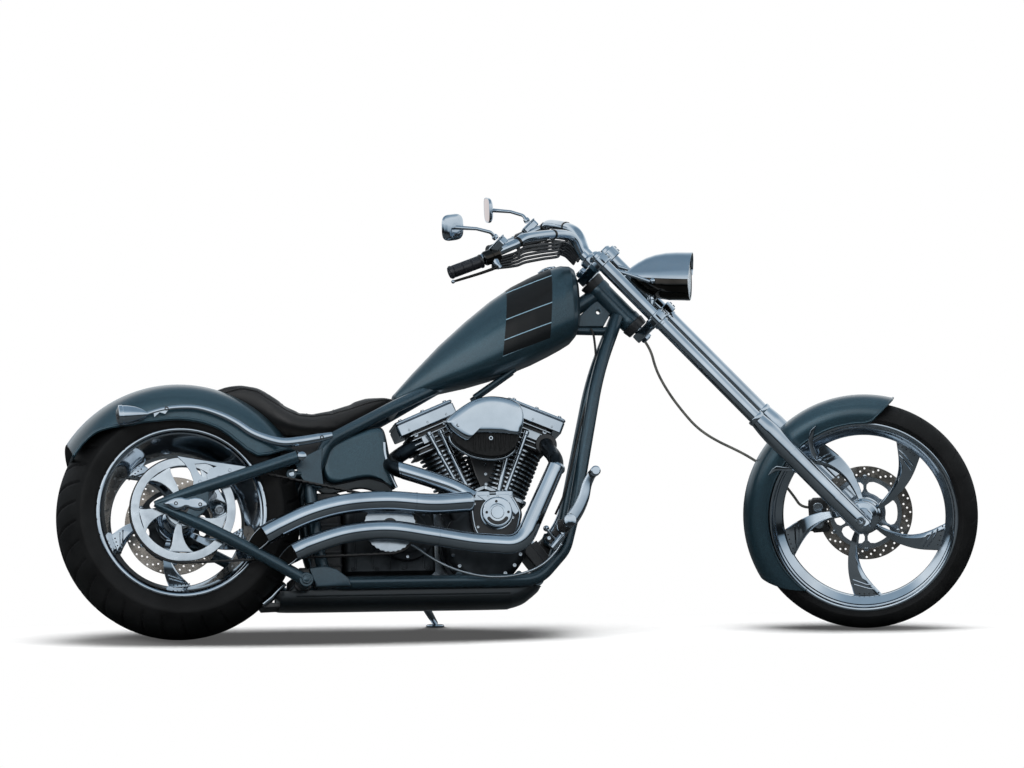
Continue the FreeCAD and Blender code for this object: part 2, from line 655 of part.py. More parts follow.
# ---------------------------------------------------------------- swingarm
swingItems = []
tailUp, upperUp = size("rearTyreRadius + 14"), 503
for sideName, side in (("Left", 1), ("Right", -1)):
    plane = side * size("swingPlane")
    tail, upper = (-84, plane, tailUp), (332, plane, upperUp)
    pivot = (size("pivotX"), plane, size("pivotZ"))
    swingItems.append(rod("UpperArm" + sideName, tail, upper, "swingTubeRadius"))
    swingItems.append(rod("LowerArm" + sideName, tail, pivot, "swingTubeRadius"))
    for name, end in (("Tail", tail), ("Top", upper)):
        ball = add("Part::Sphere", f"Swing{name}{sideName}", Radius="swingTubeRadius")
        ball.Placement = Placement(Vector(*end), Rotation())
        swingItems.append(ball)
    swingItems.append(slab("AxlePlate" + sideName, [
        ("-84", "rearTyreRadius + 14"), ("78", "rearTyreRadius + 63"), ("78", "rearTyreRadius - 70")],
        "axlePlate", f"{side} * swingPlane"))
    swingItems.append(crossBar("UpperBolt" + sideName, 345, upperUp,
                               f"{side} * (gussetPlane + gussetThickness / 2)",
                               f"{side} * (swingPlane + 14)", "upperBoltRadius"))
swingItems.append(crossBar("PivotTube", "pivotX", "pivotZ", "-swingPlane - swingTubeRadius",
                           "swingPlane + swingTubeRadius", "pivotTubeRadius"))
outside, nutRoom = "(swingPlane + 30)", "rearNutRadius + 1"
swingHoles = [
    crossBar("SwingAxleHole", 0, "rearTyreRadius", f"-{outside}", outside, "rearAxleRadius + runningGap"),
    crossBar("SwingPivotHole", "pivotX", "pivotZ", f"-{outside}", outside, "pivotBoltRadius + runningGap"),
    crossBar("NutSeatLeft", 0, "rearTyreRadius", swingSeat, outside, nutRoom),
    crossBar("NutSeatRight", 0, "rearTyreRadius", f"-{outside}", f"-{swingSeat}", nutRoom),
]
subPart(cut("Swingarm", fuse("SwingTubes", swingItems), fuse("SwingHoles", swingHoles)), "swingarm")
armFace = "(swingPlane + swingTubeRadius)"
nutFace = f"({armFace} + pivotNutWidth)"
subPart(turned("SwingPivot", [
    (f"-{nutFace}", "0"), (f"-{nutFace}", "pivotNutRadius"),
    (f"-{armFace}", "pivotNutRadius"), (f"-{armFace}", "pivotBoltRadius"),
    (armFace, "pivotBoltRadius"), (armFace, "pivotNutRadius"),
    (nutFace, "pivotNutRadius"), (nutFace, "0")],
    (size("pivotX"), 0, size("pivotZ"))), "swingarm_pivot")

# ---------------------------------------------------------------- engine
crank = Vector(size("crankX"), 0, size("crankZ"))


def bankDirection(bank):
    # bank is -1 for the rear cylinder and 1 for the front one
    angle = math.radians(bank * size("halfVee"))
    return Vector(math.sin(angle), 0, math.cos(angle))


caseItems = [crossBar("Crankcase", "crankX", "crankZ", "-caseHalfWidth", "caseHalfWidth", "caseRadius")]
cylinderItems, rockerItems = [], []
for bankName, bank in (("Rear", -1), ("Front", 1)):
    up = bankDirection(bank)
    turn = bank * size("halfVee")
    along = lambda distance: tuple(crank + up * size(distance))
    caseItems.append(block("Deck" + bankName, along("barrelStart / 2"), "barrelRadius * 2",
                           "caseHalfWidth * 2", "barrelStart", turn))
    barrel = rod("Barrel" + bankName, along("barrelStart"), along("barrelEnd"), "barrelRadius")
    head = block("Head" + bankName, along("(barrelEnd + headTop) / 2"), "headLength",
                 "headHalfWidth * 2", "headTop - barrelEnd", turn)
    cylinderItems.append(fuse("Cylinder" + bankName, [barrel, head]))
    rockerItems.append(block("Rocker" + bankName, along("(headTop + rockerTop) / 2"), "rockerLength",
                             "headHalfWidth * 2 + 6", "rockerTop - headTop", turn))
subPart(fuse("EngineCase", caseItems), "engine_case")
subPart(together("Cylinders", cylinderItems), "cylinders")
subPart(together("RockerBoxes", rockerItems), "rocker_boxes")

camDiscs = [
    # name, forward, up, inner face, outer face, radius
    ("CamChest", 915, 318, "-caseHalfWidth", "-caseHalfWidth - 26", 88),
    ("CamCap", 932, 346, "-caseHalfWidth - 26", "-caseHalfWidth - 44", 47),
]
camItems = [crossBar(*row) for row in camDiscs]
tappetPlane = size("-caseHalfWidth - tappetWidth / 2")
camItems.append(block("Tappets", (915, tappetPlane, size("tappetTop - 15")), "120", "tappetWidth", "30"))
subPart(fuse("CamCover", camItems), "cam_cover")
pushrodTable = [
    # foot forward, top forward
    (872, 792), (900, 836), (930, 966), (958, 1012),
]
pushrods = []
pushrodTop, tappetTop = size("pushrodTop"), size("tappetTop")
for number, (footX, topX) in enumerate(pushrodTable):
    # the tilted foot stands just clear of the tappet block
    tilt = math.atan2(abs(topX - footX), pushrodTop - tappetTop)
    footZ = tappetTop + size("pushrodRadius") * math.sin(tilt) + size("runningGap")
    pushrods.append(rod(f"Pushrod{number}", (footX, tappetPlane, footZ),
                        (topX, -size("headHalfWidth") - 16, pushrodTop), "pushrodRadius"))
subPart(together("PushrodTubes", pushrods), "pushrod_tubes")
headCutters = [document.getObject("Cylinder" + bankName) for bankName in ("Rear", "Front")]
manifold = rod("Manifold", (790, -30, 600), (1000, -30, 600), "manifoldRadius")
throat = crossBar("Throat", "crankX", 600, -128, -30, "throatRadius")
intake = fuse("Intake", [manifold, throat])
subPart(cut("Carburettor", intake, fuse("HeadShapes", headCutters)), "carburettor")
airCleanerOutline = [
    ("772", "592"), ("790", "632"), ("850", "676"), ("900", "688"), ("960", "680"), ("1002", "662"),
    ("1000", "610"), ("985", "560"), ("940", "545"), ("860", "552"), ("800", "568")]
subPart(slab("AirCleaner", airCleanerOutline, "62", "-159"), "air_cleaner")
gearboxAt = (610, 5, 285)
subPart(block("Gearbox", gearboxAt, "gearboxLength", "gearboxWidth", "gearboxHeight"), "transmission")
primarySpan = crank - drivePulleyAt
primaryTurn = math.degrees(math.atan2(-primarySpan.z, primarySpan.x))
primaryMiddle = (crank + drivePulleyAt) / 2
primaryShell = fuse("PrimaryShell", [
    crossBar("PrimaryFront", "crankX", "crankZ", "caseHalfWidth", "primaryOuter", "primaryRadius"),
    crossBar("PrimaryRear", "drivePulleyX", "drivePulleyZ", "primaryInner", "primaryOuter", "primaryRadius"),
    block("PrimaryMiddle", (primaryMiddle.x, size("(primaryInner + primaryOuter) / 2"), primaryMiddle.z),
          f"{primarySpan.Length}", "primaryOuter - primaryInner", "primaryRadius * 2", primaryTurn),
])
gearboxRoom = block("GearboxRoom", gearboxAt, "gearboxLength + 1", "gearboxWidth + 2 * runningGap",
                    "gearboxHeight + 1")
subPart(cut("PrimaryCover", primaryShell, gearboxRoom), "primary_cover")

# ---------------------------------------------------------------- exhaust
plane = -size("pipePlane")
upperPipe = bentTube("UpperPipe", [
    (206, plane, 258), (278, plane, 298), (367, plane, 336), (470, plane, 364), (592, plane, 370),
    (719, plane, 354), (838, plane, 362)], "pipeRadius")
rearHeader = bentTube("RearHeader", [
    (720, -48, 577), (636, -66, 538), (648, -150, 496), (740, plane + 32, 436),
    (830, plane + 16, 376)], "headerRadius")
lowerPipe = bentTube("LowerPipe", [
    (300, plane, 212), (362, plane, 242), (470, plane, 273), (590, plane, 285), (714, plane, 268),
    (839, plane, 239), (958, plane, 224), (1012, plane, 290), (1086, plane + 12, 448), (1098, -150, 520),
    (1086, -75, 556)], "pipeRadius - 2")
headersOnly = document.getObject("HeadShapes")
pipeEnds = []
for name, tip in (("Upper", (206, 258)), ("Lower", (300, 212))):
    pipeEnds.append(block("Slash" + name, (tip[0] - 42, plane, tip[1] + 42), "150", "100", "90", 28))
pipes = together("Pipes", [cut("UpperExhaust", fuse("UpperRun", [upperPipe, rearHeader]), pipeEnds[0]),
                           cut("LowerExhaust", lowerPipe, pipeEnds[1])])
subPart(cut("Exhaust", pipes, headersOnly), "exhaust_pipes")

# ---------------------------------------------------------------- tank and seat
tankStations = [
    # forward, lower edge, ridge, half width
    (tankRear, 690, 712, 30), (780, 718, 858, 74), (934, 754, 988, 108),
    (1060, 802, 1062, 128), (1150, 850, 1096, 118), (1192, 876, 1090, 84),
]


def tankSection(forward, lower, ridge, halfWidth):
    # flat bottom, one arc up each side and one over the top
    halfWidth *= size("tankHalfWidth") / widestStation
    foot, shoulder = 0.72 * halfWidth, 0.66 * halfWidth
    point = lambda y, part: Vector(*stretched(forward, y, lower + (ridge - lower) * part))
    edges = [
        Part.LineSegment(point(-foot, 0), point(foot, 0)).toShape(),
        Part.Arc(point(foot, 0), point(halfWidth, 0.42), point(shoulder, 0.84)).toShape(),
        Part.Arc(point(shoulder, 0.84), point(0, 1), point(-shoulder, 0.84)).toShape(),
        Part.Arc(point(-shoulder, 0.84), point(-halfWidth, 0.42), point(-foot, 0)).toShape(),
    ]
    return Part.Wire(edges)


widestStation = max(row[3] for row in tankStations)
tankBlank = document.addObject("Part::Feature", "TankBlank")
tankBlank.Shape = Part.makeLoft([tankSection(*row) for row in tankStations], True, True)
tunnelOutline = [(600, 640), (620, 672), (940, 812), (1330, 974), (1330, 800), (940, 640)]
webRoomOutline = [(1120, 890), (1205, 990), (1270, 1020), (1340, 930), (1275, 840)]
tankRoom = [
    rod("Tunnel", stretched(1330, 0, 974.8), stretched(620, 0, 674.4), "frameTubeRadius + 9"),
    slab("TunnelSlot", stretchedOutline(tunnelOutline), "2 * frameTubeRadius + 12"),
    slab("WebRoom", stretchedOutline(webRoomOutline), "neckPlateThickness + 4"),
]
for sideName, side in (("Left", 1), ("Right", -1)):
    tankRoom.append(bentTube("RailRoom" + sideName, mirrored(railRoute[:3], side), "frameTubeRadius + 1"))
capAt, capUp, capDepth = stretched(1116, 0, 1070), (-0.3, 0, 0.95), "60"
tankRoom.append(turned("CapRoom", [("0", "0"), ("0", "capRadius + runningGap"),
                                   (capDepth, "capRadius + runningGap"), (capDepth, "0")], capAt, capUp))
subPart(cut("FuelTank", tankBlank, fuse("TankRoom", tankRoom)), "fuel_tank")
subPart(turned("FuelCap", [("runningGap", "0"), ("runningGap", "capRadius"), ("23", "capRadius"),
                           ("27", "capRadius - 5"), ("27", "0")], capAt, capUp), "fuel_cap")


def crownArc(half, radius, shoulder):
    # radius of the arc that crowns a section of this half width
    return f"({half} ^ 2 + ({radius} - {shoulder}) ^ 2) / (2 * ({radius} - {shoulder}))"


def fenderSkin(name, prefix):
    # a full ring of skin over the tyre: crowned top and two straight skirts
    half, skin = f"{prefix}FenderHalfWidth", "fenderSkin"
    radius, shoulder, skirt = f"{prefix}FenderRadius", f"{prefix}FenderShoulder", f"{prefix}FenderSkirt"
    outerArc, innerArc = crownArc(half, radius, shoulder), crownArc(f"({half} - {skin})", radius, shoulder)
    outer = turned(name + "Outer", [
        (f"-{half}", skirt), (f"-{half}", shoulder, outerArc), (half, shoulder), (half, skirt)])
    inner = turned(name + "Inner", [
        (f"-{half} + {skin}", f"{skirt} - 20"), (f"-{half} + {skin}", f"{shoulder} - {skin}", innerArc),
        (f"{half} - {skin}", f"{shoulder} - {skin}"), (f"{half} - {skin}", f"{skirt} - 20")])
    return cut(name + "Skin", outer, inner)


rearSkin = fenderSkin("RearFender", "rear")
rearKeep = slab("RearFenderKeep", [
    # under edge from the tail forward, then up over the top
    ("-345", "190"), ("-300", "232"), ("-225", "250"), ("-130", "256"), ("-20", "276"),
    ("95", "252"), ("165", "198"), ("212", "166"), ("286", "174"), ("325", "250"),
    ("280", "rearTyreRadius + 63"), ("-420", "rearTyreRadius + 63")],
    "2 * rearFenderHalfWidth + 40")
rearFender = document.addObject("Part::Common", "RearFenderShape")
rearFender.Base = rearSkin
rearFender.Tool = rearKeep
rearFender.Placement = Placement(rearAxle, Rotation())
subPart(rearFender, "rear_fender")

frontSkin = fenderSkin("FrontFender", "front")
frontKeep = slab("FrontFenderKeep", [
    # front end slants forward, rear end slants down
    ("22", "280"), ("108", "372"), ("-120", "420"), ("-420", "200"), ("-420", "-100"),
    ("-330", "-180"), ("-180", "-213"), ("-100", "0"), ("0", "200")], "200")
frontShape = document.addObject("Part::Common", "FrontFenderShape")
frontShape.Base = frontSkin
frontShape.Tool = frontKeep
braces = []
for sideName, side in (("Left", 1), ("Right", -1)):
    for number, along in enumerate(("frontFenderRadius - 61", "frontFenderRadius - 31")):
        ends = [Vector(*forkPoint(along, "legOffset", f"{side} * ({reach})")) - frontAxle
                for reach in ("frontFenderHalfWidth - 3", "forkSpacing / 2 - legRadius - runningGap")]
        braces.append(rod(f"FenderBoss{sideName}{number}", *map(tuple, ends), "fenderBossRadius"))
frontFender = fuse("FrontFenderWhole", [frontShape] + braces)
frontFender.Placement = Placement(frontAxle, Rotation())
subPart(frontFender, "front_fender", "fork")

seatSide = slab("SeatSide", [
    ("112", "715"), ("122", "731"), ("190", "740"), ("245", "715"), ("300", "676"), ("367", "650"),
    ("423", "652"), ("509", "673"), ("586", "696"), ("636", "702"), ("636", "688"), ("430", "583"),
    ("377", "575"), ("250", "575"), ("60", "690")], "2 * seatHalfWidth")
seatPlan = topSlab("SeatPlan", [
    ("105", "-46"), ("105", "46"), ("190", "78"), ("330", "seatHalfWidth"), ("420", "seatHalfWidth - 4"),
    ("520", "92"), ("640", "44"), ("640", "-44"), ("520", "-92"), ("420", "-seatHalfWidth + 4"),
    ("330", "-seatHalfWidth"), ("190", "-78")], "500", "300")
seatBlock = document.addObject("Part::Common", "SeatBlock")
seatBlock.Base = seatSide
seatBlock.Tool = seatPlan
outerArc = crownArc("rearFenderHalfWidth", "rearFenderRadius", "rearFenderShoulder")
fenderRoom = turned("FenderRoom", [
    ("-rearFenderHalfWidth", "0"), ("-rearFenderHalfWidth", "rearFenderShoulder + runningGap", outerArc),
    ("rearFenderHalfWidth", "rearFenderShoulder + runningGap"), ("rearFenderHalfWidth", "0")],
    tuple(rearAxle))
seatRails = [bentTube("SeatRoom" + sideName, mirrored(railRoute[:5], side), "frameTubeRadius + runningGap")
             for sideName, side in (("Left", 1), ("Right", -1))]
tieRoom = crossBar("TieRoom", 640, 668, -90, 90, "frameTubeRadius")
subPart(cut("Seat", seatBlock, fuse("SeatRoom", [fenderRoom, tieRoom] + seatRails)), "seat")

oilTankBlock = slab("OilTankBlock", [
    ("418", "531"), ("508", "566"), ("592", "598"), ("625", "427"), ("600", "412"), ("430", "438")],
    "oilTankWidth")
oilTankRoom = [bentTube("OilRoom" + sideName, mirrored(railRoute[:6], side), "frameTubeRadius + 1")
               for sideName, side in (("Left", 1), ("Right", -1))]
subPart(cut("OilTank", oilTankBlock, fuse("OilTankRoom", oilTankRoom)), "oil_tank")
subPart(slab("BellyPan", [
    ("272", "82"), ("300", "69"), ("985", "66"), ("1046", "104"), ("1060", "128.7"), ("378", "128.7"),
    ("372", "114"), ("276", "112")], "bellyWidth"), "belly_pan")

# ---------------------------------------------------------------- struts, lights
strutPlane = size("rearFenderHalfWidth + strutRadius + 0.5")
strutRoute = [
    # from the turn signal over the fender's side to the rail
    (-105, strutPlane + 17, 645), (-62, strutPlane + 9, 657), (-18, strutPlane, 665), (66, strutPlane, 660),
    (147, strutPlane, 636), (203, strutPlane, 605), (259, strutPlane, 573), (314, strutPlane, 556),
    (385, strutPlane, 556), (431, strutPlane, 565),
]
signalRows = [("0", "0"), ("0", "8"), ("14", "14"), ("62", "28"), ("80", "29"), ("80", "0")]
struts, signals = [], []
for sideName, side in (("Left", 1), ("Right", -1)):
    bar = bentTube("Strut" + sideName, mirrored(strutRoute, side), "strutRadius")
    boss = rod("StrutBoss" + sideName, (428, side * 140.8, 563), (428, side * (strutPlane + 7), 563), "8")
    struts.append(fuse("StrutWhole" + sideName, [bar, boss]))
    signalAt = (-106.3, side * (strutPlane + 21), 643)
    signals.append(turned("Signal" + sideName, signalRows, signalAt, (-1, 0, -0.06)))
subPart(together("FenderStruts", struts), "fender_struts")
subPart(together("TurnSignals", signals), "turn_signals")

# ---------------------------------------------------------------- forward controls
controls = []
pedalX, pedalZ = 1193, 439
pedalArm = [(pegAt[0], 180, pegAt[1]), (1150, 190, 330), (1176, 205, 385), (pedalX, 225, pedalZ)]
for sideName, side in (("Left", 1), ("Right", -1)):
    peg = crossBar("Peg" + sideName, *pegAt, f"{side} * pegInner", f"{side} * pegOuter", "pegRadius")
    arm = bentTube("PedalArm" + sideName, mirrored(pedalArm, side), "pedalArmRadius")
    pad = crossBar("PedalPad" + sideName, pedalX, pedalZ, side * 215, side * 300, "pedalRadius")
    controls.append(fuse("Control" + sideName, [peg, arm, pad]))
subPart(together("ForwardControls", controls), "forward_controls")
lineRoute = [
    (640, -150, 262), (674, -150, 244), (724, -150, 209), (770, -150, 184), (818, -150, 166),
    (866, -150, 155), (913, -150, 151), (961, -150, 154), (1009, -150, 166), (1050, -152, 186),
    (1082, -156, 214), (1104, -160, 246), (1110, -162, 277.6)]
subPart(bentTube("RearBrakeLine", lineRoute, "hoseRadius"), "rear_brake_line")

# ---------------------------------------------------------------- fork
tubes, legs = [], []
for sideName, side in (("Left", 1), ("Right", -1)):
    foot = forkPoint(0, "legOffset", f"{side} * forkSpacing / 2")
    tubes.append(turned("ForkTube" + sideName, [
        ("legTop", "0"), ("legTop", "forkTubeRadius"),
        ("lowerClampBottom + clampThickness + 4", "forkTubeRadius"),
        ("lowerClampBottom + clampThickness + 4", "forkNeckRadius"),
        ("topClampBottom + clampThickness + runningGap", "forkNeckRadius"),
        ("topClampBottom + clampThickness + runningGap", "forkTubeRadius"),
        ("forkCapTop", "forkTubeRadius - 3"), ("forkCapTop", "0")], foot, tuple(steerUp)))
    leg = turned("LegBlank" + sideName, [
        ("-legBottom", "0"), ("-legBottom", "legRadius - 4"), ("-legBottom + 6", "legRadius"),
        ("legTop", "legRadius"), ("legTop", "0")], foot, tuple(steerUp))
    legs.append(cut("Leg" + sideName, leg, crossBar(
        "LegAxleHole" + sideName, "wheelbase", "frontTyreRadius", "-200", "200",
        "frontAxleRadius + runningGap")))
subPart(together("ForkTubes", tubes), "fork_tubes", "fork")
subPart(together("ForkLegs", legs), "fork_legs", "fork")


def clamp(name, bottom, holeRadius):
    # a yoke from the stem out to both tubes, bored for the tubes
    body, sketch = bodySketch(name + "Plate", "XY_Plane", [
        ("-22", "-24"), ("-22", "24"), ("20", "60"), ("50", "forkSpacing / 2 - 19"),
        ("50", "forkSpacing / 2 + clampEdge"), ("clampReach", "forkSpacing / 2 + clampEdge"),
        ("clampReach", "-forkSpacing / 2 - clampEdge"), ("50", "-forkSpacing / 2 - clampEdge"),
        ("50", "-forkSpacing / 2 + 19"), ("20", "-60")])
    pad = body.newObject("PartDesign::Pad", name + "Pad")
    pad.Profile = sketch
    pad.setExpression("Length", "Sizes.clampThickness")
    body.Placement = Placement(Vector(*forkPoint(bottom, 0)), Rotation(Vector(0, 1, 0), -size("rakeAngle")))
    holes = []
    for sideName, side in (("Left", 1), ("Right", -1)):
        low = forkPoint("lowerClampBottom - 40", "legOffset", f"{side} * forkSpacing / 2")
        high = forkPoint("forkCapTop + 40", "legOffset", f"{side} * forkSpacing / 2")
        holes.append(rod(name + "Hole" + sideName, low, high, holeRadius))
    return cut(name + "Bored", body, fuse(name + "Holes", holes))


lowerYoke = clamp("LowerClamp", "lowerClampBottom", "forkTubeRadius + runningGap")
stem = rod("Stem", forkPoint("lowerClampBottom + clampThickness", 0), forkPoint("topClampBottom", 0),
           "stemRadius")
subPart(fuse("LowerClamp", [lowerYoke, stem]), "lower_clamp", "fork")
topYoke = clamp("TopClamp", "topClampBottom", "forkNeckRadius + runningGap")
stemNut = rod("StemNut", forkPoint("topClampBottom + clampThickness", 0), forkPoint("forkCapTop - 6", 0),
              "stemNutRadius")
subPart(fuse("TopClamp", [topYoke, stemNut]), "top_clamp", "fork")



def forkRoute(rows, side=1):
    # rows: along the steering axis, ahead of it, to the side
    return [forkPoint(along, ahead, side * across) for along, ahead, across in rows]


clampFace = size("topClampBottom + clampThickness + runningGap")
barRows = [
    # up from the clamp, out and back to the bar's end
    (clampFace, 47, 52), (clampFace + 42, 47, 52), (1206.8, 63.1, 100), (1278.6, 1.6, 290),
    (1291.0, -36.2, 342), (1360.4, -212.9, 442),
]
gripRows = [(1321.6, -129.7, 400), (1362.2, -216.7, 444)]
perchRows = [(1305.3, -86.0, 378), (1318.5, -116.2, 393.6)]
reservoirAt = (1320.7, -63.2, 380)
leverRows = [(1301.2, -100.8, 388), (1278.5, -105.9, 400), (1288.0, -145.0, 425), (1324.6, -227.4, 466)]
mirrorRows = [(1343.2, -55.7, 380), (1362.7, -53.8, 388), (1398.9, -74.6, 398), (1447.2, -117.0, 404)]
mirrorAt = (1448.6, -118.4, 404)
reservoirTurn, mirrorTurn = 61.4 - size("rakeAngle"), 55.4 - size("rakeAngle")
bars, grips, handControls, mirrors = [], [], [], []
for sideName, side in (("Left", 1), ("Right", -1)):
    route = forkRoute(barRows, side)
    bars.append(bentTube("Bar" + sideName, route, "barRadius"))
    gripRoom, controlRoom = [bentTube(kind + "Room" + sideName, route, "barRadius + runningGap")
                             for kind in ("Grip", "Control")]
    sleeve = rod("GripSleeve" + sideName, *forkRoute(gripRows, side), "gripRadius")
    grips.append(cut("Grip" + sideName, sleeve, gripRoom))
    controlSolid = fuse("HandControlSolid" + sideName, [
        rod("Perch" + sideName, *forkRoute(perchRows, side), "perchRadius"),
        block("Reservoir" + sideName, forkRoute([reservoirAt], side)[0], "58", "42", "26", reservoirTurn),
        bentTube("Lever" + sideName, forkRoute(leverRows, side), "leverRadius"),
    ])
    handControls.append(cut("HandControl" + sideName, controlSolid, controlRoom))
    mirrors.append(fuse("Mirror" + sideName, [
        bentTube("MirrorStem" + sideName, forkRoute(mirrorRows, side), "mirrorStemRadius"),
        block("MirrorHead" + sideName, forkRoute([mirrorAt], side)[0], "16", "104", "78", mirrorTurn),
    ]))
subPart(together("Handlebar", bars), "handlebar", "fork")
subPart(together("Grips", grips), "grips", "fork")
subPart(together("HandControls", handControls), "hand_controls", "fork")
subPart(together("Mirrors", mirrors), "mirrors", "fork")

lampBody = turned("LampBody", [
    ("0", "0"), ("0", "12"), ("59", "lampRadius - 15"), ("114", "lampRadius"), ("176", "lampRadius"),
    ("176", "0")], forkPoint(988.4, 96.1), (1, 0, 0))
bracketUp = "lowerClampBottom + clampThickness / 2"
lampBracket = rod("LampBracket", forkPoint(bracketUp, "clampReach + runningGap"),
                  forkPoint(bracketUp, "clampReach + 60"), "lampBracketRadius")
subPart(fuse("Headlight", [lampBody, lampBracket]), "headlight", "fork")

hoseRows = [
    # down from the lower clamp, round the leg's inside and back to the caliper
    (size("lowerClampBottom - runningGap"), -12, 22), (size("lowerClampBottom - 34"), -12, 22),
    (740.8, -56.9, 31), (664.6, -75.3, 45), (586.4, -87.2, 58), (529.1, -90.6, 68),
    (467.8, -79.7, 80), (395.0, -53.6, 88), (346.5, -40.2, 90), (289.5, -29.4, 90),
    (230.2, -26.4, 87), (181.3, -31.4, 83), (146.4, -38.2, 79), (129.7, -22.6, 79),
]
subPart(bentTube("FrontHose", forkRoute(hoseRows), "hoseRadius"), "front_brake_hose", "fork")

# ---------------------------------------------------------------- finish and write
stanceRows = {alias: f"B{row}" for row, alias in enumerate(stance, start=1)}


def writeStance():
    for alias, value in stance.items():
        stanceSheet.set(stanceRows[alias], f"{value:.6f}")
    document.recompute()


def wholeBox():
    box = FreeCAD.BoundBox()
    for item in subParts:
        box.add(item.Shape.BoundBox)
    return box


def check():
    failed = [f"{item.Name}: {item.getStatusString()}" for item in document.Objects
              if "Invalid" in item.State or "Error" in item.State]
    if failed:
        raise RuntimeError("\n".join(failed))
    for item in subParts:
        if item.Shape.isNull() or not item.Shape.isValid():
            raise RuntimeError(f"{item.Label} has no valid shape")


writeStance()
box = wholeBox()
stance["shiftX"] = -box.Center.x
stance["shiftY"] = -box.Center.y
writeStance()
check()

# where the joints and mounts lie in the part's own frame
shift = Vector(stance["shiftX"], stance["shiftY"], stance["lift"])
chassisPlace = Placement(shift, Rotation()) * Placement(Vector(), wholeLean)
steering = Placement(steerFoot, Rotation(steerUp, -size("steerAngle"))) * Placement(-steerFoot, Rotation())
forkPlace = chassisPlace * steering
tubeMiddle = "(legTop + lowerClampBottom) / 2"
across = Vector(0, 1, 0)
keyPlaces = [
    # name, where it is fixed, point, direction
    ("steering", chassisPlace, forkPoint("(neckBottom + neckTop) / 2", 0), steerUp),
    ("front_wheel", forkPlace, frontAxle, across),
    ("rear_wheel", chassisPlace, rearAxle, across),
    ("side_stand", chassisPlace, standPivot, hingeAxis),
    ("stand_foot", chassisPlace, footLow, -worldUp),
    ("fork_tube_right", forkPlace, forkPoint(tubeMiddle, "legOffset", "-forkSpacing / 2"), steerUp),
    ("fork_tube_left", forkPlace, forkPoint(tubeMiddle, "legOffset", "forkSpacing / 2"), steerUp),
]
for name, place, point, direction in keyPlaces:
    at, along = place.multVec(Vector(*point)), place.Rotation.multVec(direction)
    print("place", name, *[round(value, 4) for value in (at.x, at.y, at.z)],
          *[round(value, 7) for value in (along.x, along.y, along.z)])
box = wholeBox()
print("box", box)
for item in subParts:
    item.Shape.exportStep(f"parts/{item.Label}.step")
    print(item.Label, "solids", len(item.Shape.Solids), "volume", round(item.Shape.Volume / 1000), "cm3")
print(len(subParts), "sub-parts")
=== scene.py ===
import json
import math

import bmesh
import bpy
import numpy as np
from mathutils import Matrix, Vector
from mathutils.bvhtree import BVHTree

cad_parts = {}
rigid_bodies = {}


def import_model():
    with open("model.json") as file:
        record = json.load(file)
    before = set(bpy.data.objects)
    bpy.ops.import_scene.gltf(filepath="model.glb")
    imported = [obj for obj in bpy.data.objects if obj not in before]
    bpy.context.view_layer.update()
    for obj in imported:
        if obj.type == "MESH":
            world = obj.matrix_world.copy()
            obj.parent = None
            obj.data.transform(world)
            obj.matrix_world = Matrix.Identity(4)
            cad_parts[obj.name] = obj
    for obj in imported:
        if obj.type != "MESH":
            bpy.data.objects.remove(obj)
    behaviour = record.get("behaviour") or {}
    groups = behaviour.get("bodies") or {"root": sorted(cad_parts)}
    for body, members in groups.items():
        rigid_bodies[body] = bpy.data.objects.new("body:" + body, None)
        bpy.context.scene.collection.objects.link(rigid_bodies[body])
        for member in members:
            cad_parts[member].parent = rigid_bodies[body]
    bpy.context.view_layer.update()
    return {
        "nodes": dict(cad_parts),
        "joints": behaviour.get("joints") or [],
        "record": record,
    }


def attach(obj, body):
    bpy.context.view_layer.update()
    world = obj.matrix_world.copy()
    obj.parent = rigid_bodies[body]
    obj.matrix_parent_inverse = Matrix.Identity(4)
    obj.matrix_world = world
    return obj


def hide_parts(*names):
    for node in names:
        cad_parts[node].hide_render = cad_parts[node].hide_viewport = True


for thing in list(bpy.data.objects):
    bpy.data.objects.remove(thing)
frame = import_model()

# Pieces are drawn upright in millimetres: X forward from the rear axle, Y to the rider's left,
# Z up. The joints of the frame then say where the chassis and the turned fork have them.
bike = {"rake": 43.4, "wheelbase": 2040.0, "rearAxleHeight": 357.0, "frontAxleHeight": 337.0, "axleLead": 89}
rake = math.radians(bike["rake"])
joints = {joint["name"]: joint for joint in frame["joints"]}


def spaceOf(wheelJoint, forward, height):
    # an axle and the steering axis give a whole set of axes
    across = Vector(joints[wheelJoint]["axis"]).normalized()
    up = Vector(joints["steering"]["axis"]).normalized()
    ahead = across.cross(up)
    sine, cosine = math.sin(rake), math.cos(rake)
    axisX, axisZ = ahead * cosine - up * sine, ahead * sine + up * cosine
    origin = Vector(joints[wheelJoint]["pos_m"]) - (axisX * forward + axisZ * height) * 0.001
    space = Matrix.Identity(4)
    for row in range(3):
        for column, axis in enumerate((axisX, across, axisZ)):
            space[row][column] = axis[row] * 0.001
        space[row][3] = origin[row]
    return space


chassisSpace = spaceOf("rear_wheel_spin", 0, bike["rearAxleHeight"])
forkSpace = spaceOf("front_wheel_spin", bike["wheelbase"], bike["frontAxleHeight"])
spaces = {
    "chassis": chassisSpace, "side_stand": chassisSpace, "fork": forkSpace,
    "rear_wheel": chassisSpace @ Matrix.Translation((0, 0, bike["rearAxleHeight"])),
    "front_wheel": forkSpace @ Matrix.Translation((bike["wheelbase"], 0, bike["frontAxleHeight"])),
}
steerUp = Vector((-math.sin(rake), 0, math.cos(rake)))
steerAhead = Vector((math.cos(rake), 0, math.sin(rake)))
steerFoot = Vector((bike["wheelbase"], 0, bike["frontAxleHeight"])) - steerAhead * bike["axleLead"]


def forkPoint(along, ahead, side=0.0):
    point = steerFoot + steerUp * along + steerAhead * ahead
    return Vector((point.x, side, point.z))


